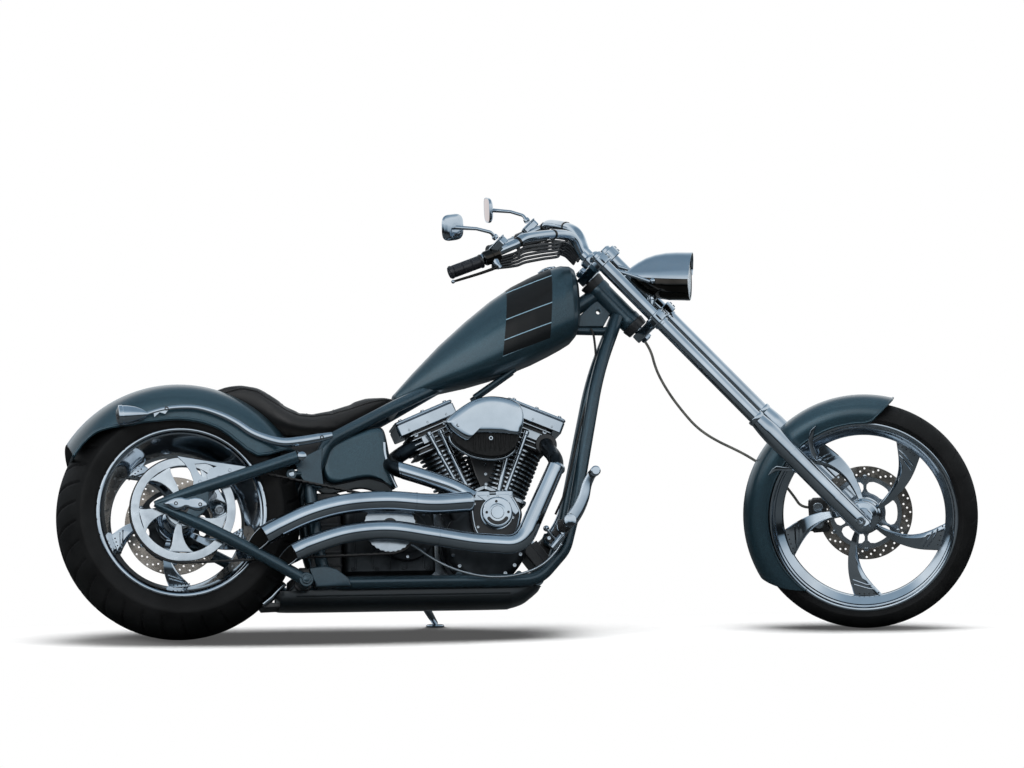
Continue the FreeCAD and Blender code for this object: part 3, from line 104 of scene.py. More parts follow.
# ---- materials
def linear(hexColour):
    # sRGB hex to linear RGBA
    parts = [int(hexColour[i:i + 2], 16) / 255 for i in (1, 3, 5)]
    return tuple(c / 12.92 if c <= 0.04045 else ((c + 0.055) / 1.055) ** 2.4 for c in parts) + (1.0,)


def fillSockets(node, inputs):
    # a socket is linked, a hex string is a colour, anything else is a plain value
    for key, value in inputs.items():
        if isinstance(value, bpy.types.NodeSocket):
            node.id_data.links.new(value, node.inputs[key])
        else:
            node.inputs[key].default_value = linear(value) if isinstance(value, str) else value


def addNode(tree, kind, inputs=None, **settings):
    # one node with its settings, values and links
    node = tree.nodes.new("ShaderNode" + kind)
    for key, value in settings.items():
        setattr(node, key, value)
    fillSockets(node, inputs or {})
    return node


def newMaterial(name):
    material = bpy.data.materials.new(name)
    material.use_nodes = True
    tree = material.node_tree
    return material, tree, tree.nodes["Principled BSDF"]


def metallicPaint(name, look):
    # metallic lacquer, sprayed: a satin body colour under a hard clear coat
    material, tree, shader = newMaterial(name)
    place = addNode(tree, "TexCoord").outputs["Object"]
    flake = addNode(tree, "TexNoise", {"Vector": place, "Scale": 1 / look["flake"], "Detail": 1.0}).outputs[0]
    cloud = addNode(tree, "TexNoise", {"Vector": place, "Scale": 1 / look["cloud"], "Detail": 2.0}).outputs[0]
    share = addNode(tree, "MapRange", {"Value": flake, "From Min": 0.4, "From Max": 0.7}).outputs[0]
    grain = addNode(tree, "Mix", {0: share, 6: look["deep"], 7: look["bright"]}, data_type="RGBA").outputs[2]
    share = addNode(tree, "MapRange", {"Value": cloud, "From Min": 0.35, "From Max": 0.65, "To Max": 0.35})
    colour = addNode(tree, "Mix", {0: share.outputs[0], 6: grain, 7: look["deep"]},
                     data_type="RGBA").outputs[2]
    rough = addNode(tree, "MapRange", {"Value": cloud, "From Min": 0.3, "From Max": 0.7,
                                       "To Min": look["rough"], "To Max": look["rough"] + 0.06}).outputs[0]
    fillSockets(shader, {"Base Color": colour, "Roughness": rough, "Metallic": look["metallic"],
                         "Coat Weight": look["coat"], "Coat Roughness": 0.16})
    return material


def platedMetal(name, look):
    # plated or polished metal: mirror bright, with faint wiping marks and a thin haze
    material, tree, shader = newMaterial(name)
    place = addNode(tree, "TexCoord").outputs["Object"]
    haze = addNode(tree, "TexNoise", {"Vector": place, "Scale": 1 / look["haze"], "Detail": 3.0}).outputs[0]
    wipe = addNode(tree, "TexNoise", {"Vector": place, "Scale": 1 / look["wipe"], "Detail": 2.0}).outputs[0]
    share = addNode(tree, "MapRange", {"Value": haze, "From Min": 0.3, "From Max": 0.7}).outputs[0]
    colour = addNode(tree, "Mix", {0: share, 6: look["bright"], 7: look["dull"]}, data_type="RGBA").outputs[2]
    rough = addNode(tree, "MapRange", {"Value": wipe, "From Min": 0.3, "From Max": 0.75,
                                       "To Min": look["rough"], "To Max": look["roughest"]}).outputs[0]
    bump = addNode(tree, "Bump", {"Height": wipe, "Strength": 0.15, "Distance": look["ripple"]}).outputs[0]
    fillSockets(shader, {"Base Color": colour, "Roughness": rough, "Metallic": 1.0, "Normal": bump})
    return material


def grained(name, look):
    # a matt or satin surface with a fine raised grain, such as rubber, cast alloy or enamel
    material, tree, shader = newMaterial(name)
    place = addNode(tree, "TexCoord").outputs["Object"]
    grain = addNode(tree, "TexNoise", {"Vector": place, "Scale": 1 / look["grain"], "Detail": 4.0}).outputs[0]
    patch = addNode(tree, "TexNoise", {"Vector": place, "Scale": 1 / look["patch"], "Detail": 2.0}).outputs[0]
    share = addNode(tree, "MapRange", {"Value": patch, "From Min": 0.35, "From Max": 0.65}).outputs[0]
    colour = addNode(tree, "Mix", {0: share, 6: look["dark"], 7: look["light"]}, data_type="RGBA").outputs[2]
    rough = addNode(tree, "MapRange", {"Value": grain, "From Min": 0.3, "From Max": 0.7,
                                       "To Min": look["rough"], "To Max": look["roughest"]}).outputs[0]
    bump = addNode(tree, "Bump", {"Height": grain, "Strength": look["bump"], "Distance": look["grain"] * 0.3})
    fillSockets(shader, {"Base Color": colour, "Roughness": rough, "Metallic": look["metallic"],
                         "Specular IOR Level": look.get("shine", 0.5), "Normal": bump.outputs[0]})
    return material


# sizes of flakes, grain and marks are in metres, and drawn as coarse as they need to show
bodyLook = {"deep": "#162b34", "bright": "#2d4c59", "flake": 0.0012, "cloud": 0.2, "rough": 0.38,
            "metallic": 0.75, "coat": 0.75}
bodyPaint = metallicPaint("metallicLacquerBody", bodyLook)
framePaint = metallicPaint("metallicLacquerFrame", {
    "deep": "#15262f", "bright": "#2d4b59", "flake": 0.0012, "cloud": 0.15, "rough": 0.34, "metallic": 0.7,
    "coat": 0.8})
# chrome plated over nickel: near white with a cool blue tint that is a painted reflection of the sky, and a
# clean mirror
chrome = platedMetal("chromePlate", {
    "bright": "#cdd6de", "dull": "#b4bec7", "haze": 0.12, "wipe": 0.03, "rough": 0.03, "roughest": 0.10,
    "ripple": 0.0002})
# buffed aluminium: softer and greyer than chrome
polishedAlloy = platedMetal("polishedAluminium", {
    "bright": "#bfc6cc", "dull": "#a9b1b8", "haze": 0.06, "wipe": 0.02, "rough": 0.14, "roughest": 0.28,
    "ripple": 0.0003})
# stainless disc steel, surface ground: warm grey satin
discSteel = platedMetal("groundDiscSteel", {
    "bright": "#a39c94", "dull": "#7d766f", "haze": 0.03, "wipe": 0.01, "rough": 0.22, "roughest": 0.38,
    "ripple": 0.0003})
# sand cast aluminium, darkened: a dull grey with a coarse skin
castAlloy = grained("sandCastAluminium", {
    "dark": "#212427", "light": "#303437", "grain": 0.002, "patch": 0.05, "rough": 0.38, "roughest": 0.55,
    "metallic": 0.9, "bump": 0.3})
# stoved enamel: a smooth black with a soft shine
blackEnamel = grained("blackStovedEnamel", {
    "dark": "#0d0f11", "light": "#17191c", "grain": 0.0015, "patch": 0.06, "rough": 0.28, "roughest": 0.42,
    "metallic": 0.0, "bump": 0.1})
# natural rubber with carbon black, vulcanised in a mould: matt, nearly black
tyreRubber = grained("vulcanisedTyreRubber", {
    "dark": "#0a0b0c", "light": "#121314", "grain": 0.0015, "patch": 0.08, "rough": 0.55, "roughest": 0.75,
    "metallic": 0.0, "bump": 0.25, "shine": 0.12})
# rubber pressed in a smooth mould: a little lighter and glossier than the tyres
mouldedRubber = grained("mouldedRubber", {
    "dark": "#101112", "light": "#1a1b1c", "grain": 0.001, "patch": 0.05, "rough": 0.45, "roughest": 0.6,
    "metallic": 0.0, "bump": 0.2, "shine": 0.3})
# hard smooth grip rubber: black with a clear shine
gripRubber = grained("smoothGripRubber", {
    "dark": "#0c0d10", "light": "#14151a", "grain": 0.0012, "patch": 0.05, "rough": 0.2, "roughest": 0.32,
    "metallic": 0.0, "bump": 0.08})
slotMaterials = {"tyre": tyreRubber, "chrome": chrome, "disc_steel": discSteel, "cast_aluminium": castAlloy,
                 "belt_rubber": mouldedRubber, "frame_paint": framePaint, "body_paint": bodyPaint,
                 "black_enamel": blackEnamel, "steel_line": polishedAlloy, "leather": blackEnamel}
for part in frame["record"]["subparts"]:
    materials = frame["nodes"][part["node"]].data.materials
    materials.clear()
    materials.append(slotMaterials[part["material_slot"]])
print("materials made")


# ---- stage and camera
def link(name, data):
    thing = bpy.data.objects.new(name, data)
    bpy.context.scene.collection.objects.link(thing)
    return thing


def stagePanel(name, corners, material):
    mesh = bpy.data.meshes.new(name)
    mesh.from_pydata([Vector(corner) for corner in corners], [], [list(range(len(corners)))])
    panel = link(name, mesh)
    mesh.materials.append(material)
    return panel


def seenDirectly(tree):
    # 1 for what the camera sees, itself or in a mirror or glass, 0 for what only lights
    rays = addNode(tree, "LightPath").outputs
    seen = addNode(tree, "Math", {0: rays["Is Camera Ray"], 1: rays["Is Glossy Ray"]}, operation="MAXIMUM")
    return addNode(tree, "Math", {0: seen.outputs[0], 1: rays["Is Transmission Ray"]},
                   operation="MAXIMUM").outputs[0]


floor = {"reach": 30, "shade": 0.5, "white": (0.7, 1.5)}


def makeFloor(view):
    material, tree, shader = newMaterial("paleStudioFloor")
    # painted shadow: close under the object the floor's own colour is darkened where ambient occlusion finds
    # the object near
    shade = addNode(tree, "AmbientOcclusion", {"Distance": view["shade"]}, samples=16).outputs["AO"]
    share = addNode(tree, "MapRange", {"Value": shade, "From Min": 0.55, "From Max": 0.85}).outputs[0]
    colour = addNode(tree, "Mix", {0: share, 6: "#101010", 7: "#f8f8f8"}, data_type="RGBA").outputs[2]
    fillSockets(shader, {"Base Color": colour, "Roughness": 0.8, "Emission Color": (1, 1, 1, 1),
                         "Emission Strength": 0.08})
    # away from the object the floor runs out into the white background
    spot = addNode(tree, "NewGeometry").outputs["Position"]
    flat = addNode(tree, "VectorMath", {0: spot, 1: (0.62, 1.0, 0.0)}, operation="MULTIPLY").outputs[0]
    apart = addNode(tree, "VectorMath", {0: flat}, operation="LENGTH").outputs["Value"]
    near, far = view["white"]
    distant = addNode(tree, "MapRange", {"Value": apart, "From Min": near, "From Max": far}).outputs[0]
    clear = addNode(tree, "MapRange", {"Value": shade, "From Min": 0.8, "From Max": 0.97}).outputs[0]
    distant = addNode(tree, "Math", {0: distant, 1: clear}, operation="MAXIMUM").outputs[0]
    distant = addNode(tree, "Math", {0: distant, 1: seenDirectly(tree)}, operation="MULTIPLY").outputs[0]
    white = addNode(tree, "Emission", {"Color": (1, 1, 1, 1), "Strength": 1.0}).outputs[0]
    fade = addNode(tree, "MixShader", {0: distant, 1: shader.outputs[0], 2: white}).outputs[0]
    fillSockets(tree.nodes["Material Output"], {"Surface": fade})
    r = view["reach"]
    stagePanel("floor", [(-r, -r, 0), (r, -r, 0), (r, r, 0), (-r, r, 0)], material)


makeFloor(floor)

# painted sky and dark ground cloths, as a studio stands round plated metal; only reflections show them
surround = {
    "reach": (4.4, 3.7, 3.4), "eye": 0.45, "slope": (-0.15, 1.65), "ground": "#2c3133",
    "bands": [(0.0, "#2b2f31"), (0.05, "#0f1214"), (0.1, "#14181a"), (0.12, "#8fa2b0"), (0.19, "#e3ebf1"),
              (0.42, "#f1f5f8"), (0.6, "#a9bccb"), (1.0, "#8198aa")],
}


def makeSurround(view):
    sky, tree, shader = newMaterial("paintedSkyCloth")
    spot = addNode(tree, "NewGeometry").outputs["Position"]
    flat = addNode(tree, "VectorMath", {0: spot, 1: (1.0, 1.0, 0.0)}, operation="MULTIPLY").outputs[0]
    apart = addNode(tree, "VectorMath", {0: flat}, operation="LENGTH").outputs["Value"]
    height = addNode(tree, "SeparateXYZ", {0: spot}).outputs["Z"]
    height = addNode(tree, "Math", {0: height, 1: view["eye"]}, operation="SUBTRACT").outputs[0]
    rise = addNode(tree, "Math", {0: height, 1: apart}, operation="DIVIDE").outputs[0]
    cloud = addNode(tree, "TexNoise", {"Vector": spot, "Scale": 1.1, "Detail": 3.0}).outputs[0]
    cloud = addNode(tree, "MapRange", {"Value": cloud, "From Min": 0.3, "From Max": 0.7, "To Min": -0.03,
                                       "To Max": 0.03}).outputs[0]
    rise = addNode(tree, "Math", {0: rise, 1: cloud}, operation="ADD").outputs[0]
    low, high = view["slope"]
    share = addNode(tree, "MapRange", {"Value": rise, "From Min": low, "From Max": high}).outputs[0]
    ramp = addNode(tree, "ValToRGB", {0: share})
    stops = ramp.color_ramp.elements
    while len(stops) < len(view["bands"]):
        stops.new(0.5)
    for stop, (at, colour) in zip(stops, view["bands"]):
        stop.position, stop.color = at, linear(colour)
    fillSockets(shader, {"Base Color": "#000000", "Emission Color": ramp.outputs[0],
                         "Emission Strength": 1.0})
    ground, tree, shader = newMaterial("darkGroundCloth")
    fillSockets(shader, {"Base Color": view["ground"], "Roughness": 0.9})
    x, y, z = view["reach"]
    walls = {"groundFlag": ((-x, -y, 0.001), (x, -y, 0.001), (x, y, 0.001), (-x, y, 0.001)),
             "skyFlag": ((-x, -y, z), (-x, y, z), (x, y, z), (x, -y, z)),
             "rightFlag": ((-x, -y, 0), (x, -y, 0), (x, -y, z), (-x, -y, z)),
             "leftFlag": ((x, y, 0), (-x, y, 0), (-x, y, z), (x, y, z)),
             "backFlag": ((-x, y, 0), (-x, -y, 0), (-x, -y, z), (-x, y, z)),
             "frontFlag": ((x, -y, 0), (x, y, 0), (x, y, z), (x, -y, z))}
    for name, corners in walls.items():
        flag = stagePanel(name, corners, ground if name == "groundFlag" else sky)
        flag.visible_camera = flag.visible_diffuse = flag.visible_shadow = flag.visible_transmission = False


makeSurround(surround)


def makeWorld():
    # a white background that lights the object at a little over half its strength
    world = bpy.data.worlds.new("paleStudio")
    bpy.context.scene.world = world
    world.use_nodes = True
    tree = world.node_tree
    strength = addNode(tree, "MapRange", {"Value": seenDirectly(tree), "To Min": 0.55}).outputs["Result"]
    fillSockets(tree.nodes["Background"], {"Color": (1, 1, 1, 1), "Strength": strength})


makeWorld()


def areaLamp(name, at, aimAt, size, power):
    lamp = bpy.data.lights.new(name, "AREA")
    lamp.shape, lamp.size, lamp.size_y, lamp.energy = "RECTANGLE", size[0], size[1], power
    thing = link(name, lamp)
    thing.location = at
    thing.rotation_euler = (Vector(aimAt) - Vector(at)).to_track_quat("-Z", "Y").to_euler()


areaLamp("overheadSoftbox", (0.0, -0.6, 4.2), (0, -0.1, 0), (5.0, 2.4), 210)
areaLamp("sideSoftbox", (-2.5, -5.0, 2.6), (0, 0, 0.5), (3.0, 1.6), 110)

cameraView = {
    "place": (-2.2567, -16.0788, 1.2917), "yaw": 7.98, "pitch": -1.98, "roll": -0.35, "lens": 191.68,
}


def makeCamera(view):
    yaw, pitch, roll = [math.radians(view[key]) for key in ("yaw", "pitch", "roll")]
    forward = Vector((math.sin(yaw) * math.cos(pitch), math.cos(yaw) * math.cos(pitch), math.sin(pitch)))
    right = Vector((math.cos(yaw), -math.sin(yaw), 0))
    up = right.cross(forward)
    right, up = (right * math.cos(roll) + up * math.sin(roll), up * math.cos(roll) - right * math.sin(roll))
    data = bpy.data.cameras.new("camera")
    data.lens, data.sensor_width, data.clip_end = view["lens"], 36, 200
    camera = link("camera", data)
    turn = Matrix((right, up, -forward)).transposed().to_4x4()
    camera.matrix_world = Matrix.Translation(Vector(view["place"])) @ turn
    bpy.context.scene.camera = camera


makeCamera(cameraView)
bpy.context.scene.view_settings.view_transform = "Standard"
print("stage set")


# ---- shapes
def around(count, radius):
    return [(radius * math.cos(math.tau * i / count),
             radius * math.sin(math.tau * i / count)) for i in range(count)]


def ringPoints(centre, radius, turns):
    # points round a centre in the side view, turns in degrees
    x, y, z = centre
    return [Vector((x + radius * math.cos(turn), y, z + radius * math.sin(turn)))
            for turn in map(math.radians, turns)]


def closedPath(outline):
    # a smooth closed path through points of the side view
    return smoothed([(x, 0, z) for x, z in outline + outline[:1]], 4)[:-1]


def outlineRings(path, middle, rows):
    # the path set at each distance across, and scaled about a middle
    return [[middle + (p - middle) * scale + Vector((0, side, 0)) for p in path] for side, scale in rows]


def circleHole(x, z, radius, steps=20):
    return [(x + u, z + v) for u, v in around(steps, radius)]


def wheelPoint(angle, radius, side=0.0):
    return Vector((math.cos(angle) * radius, side, math.sin(angle) * radius))


def superRing(centre, uAxis, vAxis, halfU, halfV, power=2.5, count=48):
    # a ring between an ellipse (power 2) and a rounded rectangle (power 5 and up)
    ring = []
    for i in range(count):
        turn = math.tau * i / count
        cosine, sine = math.cos(turn), math.sin(turn)
        u = math.copysign(abs(cosine) ** (2 / power), cosine) * halfU
        v = math.copysign(abs(sine) ** (2 / power), sine) * halfV
        ring.append(Vector(centre) + Vector(uAxis) * u + Vector(vAxis) * v)
    return ring


def bent(points, bend, steps=6):
    # straight runs joined by round bends, as a bent tube has; bend is one radius or one for each corner
    points = [Vector(point) for point in points]
    path = [points[0]]
    bends = bend if isinstance(bend, list) else [bend] * (len(points) - 2)
    for before, corner, after, bend in zip(points, points[1:], points[2:], bends):
        back, ahead = (before - corner), (after - corner)
        turn = math.pi - back.angle(ahead)
        if turn < 0.01:
            continue
        reach = min(bend * math.tan(turn / 2), 0.48 * back.length, 0.48 * ahead.length)
        start, end = corner + back.normalized() * reach, corner + ahead.normalized() * reach
        for i in range(steps + 1):
            t = i / steps
            path.append(start * (1 - t) ** 2 + corner * (2 * t * (1 - t)) + end * t * t)
    path.append(points[-1])
    return path


def smoothed(points, steps=6):
    # a smooth curve through the points
    points = [Vector(point) for point in points]
    points = [points[0] * 2 - points[1]] + points + [points[-1] * 2 - points[-2]]
    path = []
    for a, b, c, d in zip(points, points[1:], points[2:], points[3:]):
        for i in range(steps):
            t = i / steps
            path.append(0.5 * (2 * b + (c - a) * t + (2 * a - 5 * b + 4 * c - d) * t * t
                               + (3 * b - a - 3 * c + d) * t ** 3))
    return path + [points[-2]]


def splined(xs, ys, x):
    return float(np.interp(x, xs, ys))


class Shape:
    # the faces of one piece, in millimetres, each with its finish
    def __init__(self):
        self.verts, self.faces, self.marks, self.finishes = [], [], [], []

    def add(self, verts, faces, finish):
        if finish not in self.finishes:
            self.finishes.append(finish)
        first, mark = len(self.verts), self.finishes.index(finish)
        self.verts += [Vector(vert) for vert in verts]
        self.faces += [[first + i for i in face] for face in faces]
        self.marks += [mark] * len(faces)

    def loft(self, rings, finish, capped=True, looped=False, openRing=False):
        # a skin over rings of equal length
        count, verts, faces = len(rings[0]), [vert for ring in rings for vert in ring], []
        for r in range(len(rings) if looped else len(rings) - 1):
            for i in range(count - 1 if openRing else count):
                a, b = r * count + i, r * count + (i + 1) % count
                above = ((r + 1) % len(rings)) * count
                faces.append([a, b, above + (i + 1) % count, above + i])
        if capped and not looped:
            faces.append(list(reversed(range(count))))
            faces.append([(len(rings) - 1) * count + i for i in range(count)])
        self.add(verts, faces, finish)

    def revolve(self, profile, finish, centre=(0, 0, 0), axis=(0, 1, 0), steps=64, closed=False):
        # profile: (distance along the axis, radius)
        axis = Vector(axis).normalized()
        side = axis.orthogonal().normalized()
        other = axis.cross(side)
        rings = []
        for i in range(steps):
            spoke = side * math.cos(math.tau * i / steps) + other * math.sin(math.tau * i / steps)
            rings.append([Vector(centre) + axis * along + spoke * radius for along, radius in profile])
        self.loft(rings, finish, looped=True, openRing=not closed)

    def sweep(self, path, radius, finish, sides=20, section=None, up=(0, 0, 1), capped=True, slash=(0, 0),
              looped=False):
        # a section carried along a path; slash slants the two ends
        path = [Vector(point) for point in path]
        last = len(path) - 1
        rings, normal = [], None
        for i, point in enumerate(path):
            ahead = path[(i + 1) % len(path)] if looped else path[min(i + 1, last)]
            tangent = (ahead - path[i - 1 if looped else max(i - 1, 0)]).normalized()
            if normal is None:
                normal = Vector(up) - tangent * tangent.dot(Vector(up))
                normal = normal.normalized() if normal.length > 1e-3 else tangent.orthogonal().normalized()
            normal = (normal - tangent * tangent.dot(normal)).normalized()
            side = tangent.cross(normal)
            size = radius[i] if isinstance(radius, (list, tuple)) else radius
            slant = slash[0] if i == 0 else (slash[1] if i == last else 0)
            rings.append([point + side * u * size + normal * v * size + tangent * slant * v * size
                          for u, v in (section or around(sides, 1.0))])
        self.loft(rings, finish, capped=capped, looped=looped)

    def plate(self, outline, holes, thickness, finish, origin, uAxis=(1, 0, 0), vAxis=(0, 0, 1), edge=0.6):
        # a flat plate with holes and rounded edges, middle of its thickness at origin
        curve = bpy.data.curves.new("plate", "CURVE")
        curve.dimensions, curve.fill_mode = "2D", "BOTH"
        curve.extrude, curve.bevel_depth = thickness / 2 - edge, edge
        curve.offset, curve.bevel_resolution = -edge, 1
        for loop in [outline] + list(holes):
            spline = curve.splines.new("POLY")
            spline.points.add(len(loop) - 1)
            spline.points.foreach_set("co", [c for x, y in loop for c in (x, y, 0, 1)])
            spline.use_cyclic_u = True
        holder = bpy.data.objects.new("plate", curve)
        mesh = bpy.data.meshes.new_from_object(holder)
        uAxis, vAxis = Vector(uAxis).normalized(), Vector(vAxis).normalized()
        wAxis = uAxis.cross(vAxis)
        self.add([Vector(origin) + uAxis * v.co.x + vAxis * v.co.y + wAxis * v.co.z for v in mesh.vertices],
                 [list(polygon.vertices) for polygon in mesh.polygons], finish)
        bpy.data.objects.remove(holder)
        bpy.data.curves.remove(curve)
        bpy.data.meshes.remove(mesh)

    def bolt(self, at, axis, radius, height, finish, domed=False):
        # a cap screw with a recess in its head, or a domed nut
        r, h = radius, height
        if domed:
            profile = [(-1, 0), (-1, r), (h * 0.4, r), (h * 0.72, r * 0.8), (h * 0.93, r * 0.45), (h, 0)]
        else:
            profile = [(-1, 0), (-1, r), (h * 0.75, r), (h, r * 0.85), (h, r * 0.5), (h * 0.45, r * 0.45),
                       (h * 0.45, 0)]
        self.revolve(profile, finish, at, axis, 16)

    def make(self, name, body, slotName, replaced=(), sharp=32):
        mesh = bpy.data.meshes.new(name)
        mesh.from_pydata([spaces[body] @ vert for vert in self.verts], [], self.faces)
        for finish in self.finishes:
            mesh.materials.append(finish)
        mesh.polygons.foreach_set("material_index", self.marks)
        work = bmesh.new()
        work.from_mesh(mesh)
        bmesh.ops.remove_doubles(work, verts=work.verts, dist=2e-6)
        bmesh.ops.recalc_face_normals(work, faces=work.faces)
        work.to_mesh(mesh)
        work.free()
        mesh.shade_smooth()
        mesh.set_sharp_from_angle(angle=math.radians(sharp))
        piece = link(name, mesh)
        piece.modifiers.new("flatFaceNormals", "WEIGHTED_NORMAL").keep_sharp = True
        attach(piece, body)
        if replaced:
            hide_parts(*replaced)
        return piece


# ---- tyres
tyres = {
    "rear": {"node": "rear_tyre", "radius": 356.9, "width": 300, "drop": 60, "lip": 248.5,
             "bead": 262, "grooves": 34, "inner": 14, "outer": 138, "sweep": 46, "groove": 7, "depth": 4.5},
    "front": {"node": "front_tyre", "radius": 336.8, "width": 125, "drop": 40,
              "lip": 282, "bead": 100, "grooves": 30, "inner": 6, "outer": 50, "sweep": 30, "groove": 4,
              "depth": 3},
}


def tyreSection(tyre):
    # from one bead over the crown to the other: (across, radius)
    half, shoulder = tyre["width"] / 2, tyre["radius"] - tyre["drop"]
    crown = (half ** 2 + tyre["drop"] ** 2) / (2 * tyre["drop"])
    reach = math.asin(half / crown)
    section = []
    wall = [(tyre["bead"] / 2 - 1, tyre["lip"] - 1), (tyre["bead"] / 2 + 5, tyre["lip"] + 1.5),
            (tyre["bead"] / 2 + 7, tyre["lip"] + 7), (half - 4, shoulder - (shoulder - tyre["lip"]) * 0.45),
            (half - 1, shoulder - (shoulder - tyre["lip"]) * 0.2)]
    for across, radius in wall:
        section.append((-across, radius))
    steps = 84
    for i in range(steps + 1):
        turn = -reach + 2 * reach * i / steps
        rounding = 1.5 * max(0, abs(turn) / reach - 0.9) * 10
        section.append((crown * math.sin(turn) * (1 - 0.004 * rounding),
                        tyre["radius"] - crown * (1 - math.cos(turn)) - rounding))
    for across, radius in reversed(wall):
        section.append((across, radius))
    return section


def makeTyre(name, tyre):
    section, steps = tyreSection(tyre), 540
    rings = []
    for i in range(steps):
        turn = math.tau * i / steps
        ring = []
        for across, radius in section:
            away = abs(across)
            lead = tyre["sweep"] * (max(0.0, away - tyre["inner"]) / tyre["outer"]) ** 0.7
            phase = (turn * tyre["radius"] + lead) * tyre["grooves"] / (math.tau * tyre["radius"])
            phase += 0.5 if across > 0 else 0
            gap = abs(phase - round(phase)) * math.tau * tyre["radius"] / tyre["grooves"]
            ends = min(away - tyre["inner"], tyre["outer"] - away)
            cut = max(0.0, min(1.0, (tyre["groove"] / 2 + 1.5 - gap) / 3)) * max(0.0, min(1.0, ends / 4))
            depth = radius - tyre["depth"] * cut
            ring.append(wheelPoint(turn, depth, across))
        rings.append(ring)
    shape = Shape()
    shape.loft(rings, tyreRubber, looped=True, openRing=True)
    shape.make(name, tyre["node"].replace("tyre", "wheel"), "tyre", [tyre["node"]], sharp=60)


makeTyre("rearTyreTread", tyres["rear"])
makeTyre("frontTyreTread", tyres["front"])

# ---- wheels: turned rims, swept spokes that widen to the rim, hubs
wheels = {
    "rear": {"turn": 1, "half": 133, "lip": 248.5, "spokeWidth": 34, "spokeSide": 82,
             "barrel": [(-74, 224), (-20, 212), (40, 198), (58, 194), (106, 194), (114, 216), (120, 226)],
             "hub": [(-150, 0), (-150, 40), (-140, 46), (-110, 46), (-104, 34), (30, 34), (52, 46), (60, 58),
                     (104, 58), (112, 46), (122, 44), (126, 56), (150, 56), (150, 0)],
             "root": 48, "rim": 198},
    "front": {"turn": 0, "half": 51, "lip": 282, "spokeWidth": 26, "spokeSide": 0,
              "barrel": [(-30, 262), (-18, 243), (-13, 241), (13, 241), (18, 243), (30, 262)],
              "hub": [(-64, 0), (-64, 27), (-62, 30), (-59, 30), (-58, 34), (-54, 34), (-53, 38), (-49, 38),
                      (-48, 42), (-43, 42), (-41, 46), (-34, 46), (-26, 50), (-18, 54), (18, 54), (26, 50),
                      (31, 42), (52, 42), (56, 30), (64, 30), (64, 0)],
              "root": 44, "rim": 245},
}
spokeEdges = {"reach": [0, 0.08, 0.24, 0.4, 0.53, 0.65, 0.76, 0.89, 1.0],
              "low": [-53, -49, -45, -41, -37.5, -34.5, -31.5, -28, -25.5],
              "high": [-35, -33, -30.3, -27.3, -23.3, -19, -14.5, -9.5, -6]}


def makeWheel(name, wheel, body):
    shape = Shape()
    half, lip, middle = wheel["half"], wheel["lip"], wheel["spokeSide"]
    lips = [(half - 11, lip - 18), (half - 9, lip - 14), (half - 5, lip - 12), (half - 1.5, lip - 10),
            (half, lip - 6.5), (half, lip - 3.5), (half - 1, lip - 0.8), (half - 4, lip + 0.3),
            (half - 7, lip - 1.5), (half - 7.5, lip - 6), (half - 16, lip - 10)]
    loop = [(-a, r) for a, r in reversed(lips)] + wheel["barrel"] + lips
    loop += [(a, r + 9) for a, r in reversed(wheel["barrel"])]
    shape.revolve(loop, chrome, steps=144, closed=True)
    shape.revolve(wheel["hub"], chrome, steps=72)
    edges, root, rim = spokeEdges, wheel["root"], wheel["rim"]
    # the crest of a spoke runs near its leading edge
    ridge = 0.72

    def edgeAngles(reach):
        return [math.radians(splined(edges["reach"], edges[key], reach)) + base for key in ("low", "high")]

    for k in range(5):
        base = math.radians(wheel["turn"] + 72 * k)
        rings = []
        for i in range(25):
            reach = i / 24
            radius = root + (rim - root) * reach
            low, high = edgeAngles(reach)
            thick = wheel["spokeWidth"] * (1 - 0.45 * reach)
            crest = low + (high - low) * ridge
            side = thick * 0.22
            ring = []
            for angle, across in ((low, -side), (crest, -thick / 2), (high - 0.02, -side * 1.1), (high, 0),
                                  (high - 0.02, side * 1.1), (crest, thick / 2), (low, side),
                                  (low - 0.012, 0)):
                ring.append(wheelPoint(angle, radius, middle + across))
            rings.append(ring)
        shape.loft(rings, chrome)
        # two raised bars across the blade
        for reach in (0.80, 0.865):
            low, high = edgeAngles(reach)
            radius, deep = root + (rim - root) * reach, wheel["spokeWidth"] * (1 - 0.45 * reach)
            ends = ((high - 0.01, deep * 0.3, radius + 4),
                    (low + (high - low) * ridge, deep * 0.5 + 1, radius + 1),
                    (low + 0.02, deep * 0.3, radius - 9))
            for sign in (-1, 1):
                path = [wheelPoint(a, r, middle + sign * d) for a, d, r in ends]
                shape.sweep(path, 2.2, chrome, sides=8)
        # blind rivets along the rim end
        low, high = edgeAngles(1.0)
        for j in range(5):
            share = 0.14 + 0.18 * j
            angle, radius = low + (high - low) * share, rim - 11
            deep = wheel["spokeWidth"] * 0.55 * (0.3 + 0.2 * (1 - abs(share - ridge) / ridge))
            for sign in (-1, 1):
                shape.bolt(wheelPoint(angle, radius, middle + sign * deep), (0, sign, 0), 2.2, 1.8,
                           blackEnamel, domed=True)
    shape.make(name, body, "chrome", [body])


makeWheel("rearRimAndSpokes", wheels["rear"], "rear_wheel")
makeWheel("frontRimAndSpokes", wheels["front"], "front_wheel")
print("tyres and wheels made")

# ---- brake discs: a drilled ring on a carrier with kidney windows
discs = {
    "rear": {"side": 165, "radius": 146, "thick": 5, "ring": 36, "hub": 60, "carrier": castAlloy},
    "front": {"side": 67, "radius": 140, "thick": 5, "ring": 32, "hub": 44, "carrier": polishedAlloy},
}


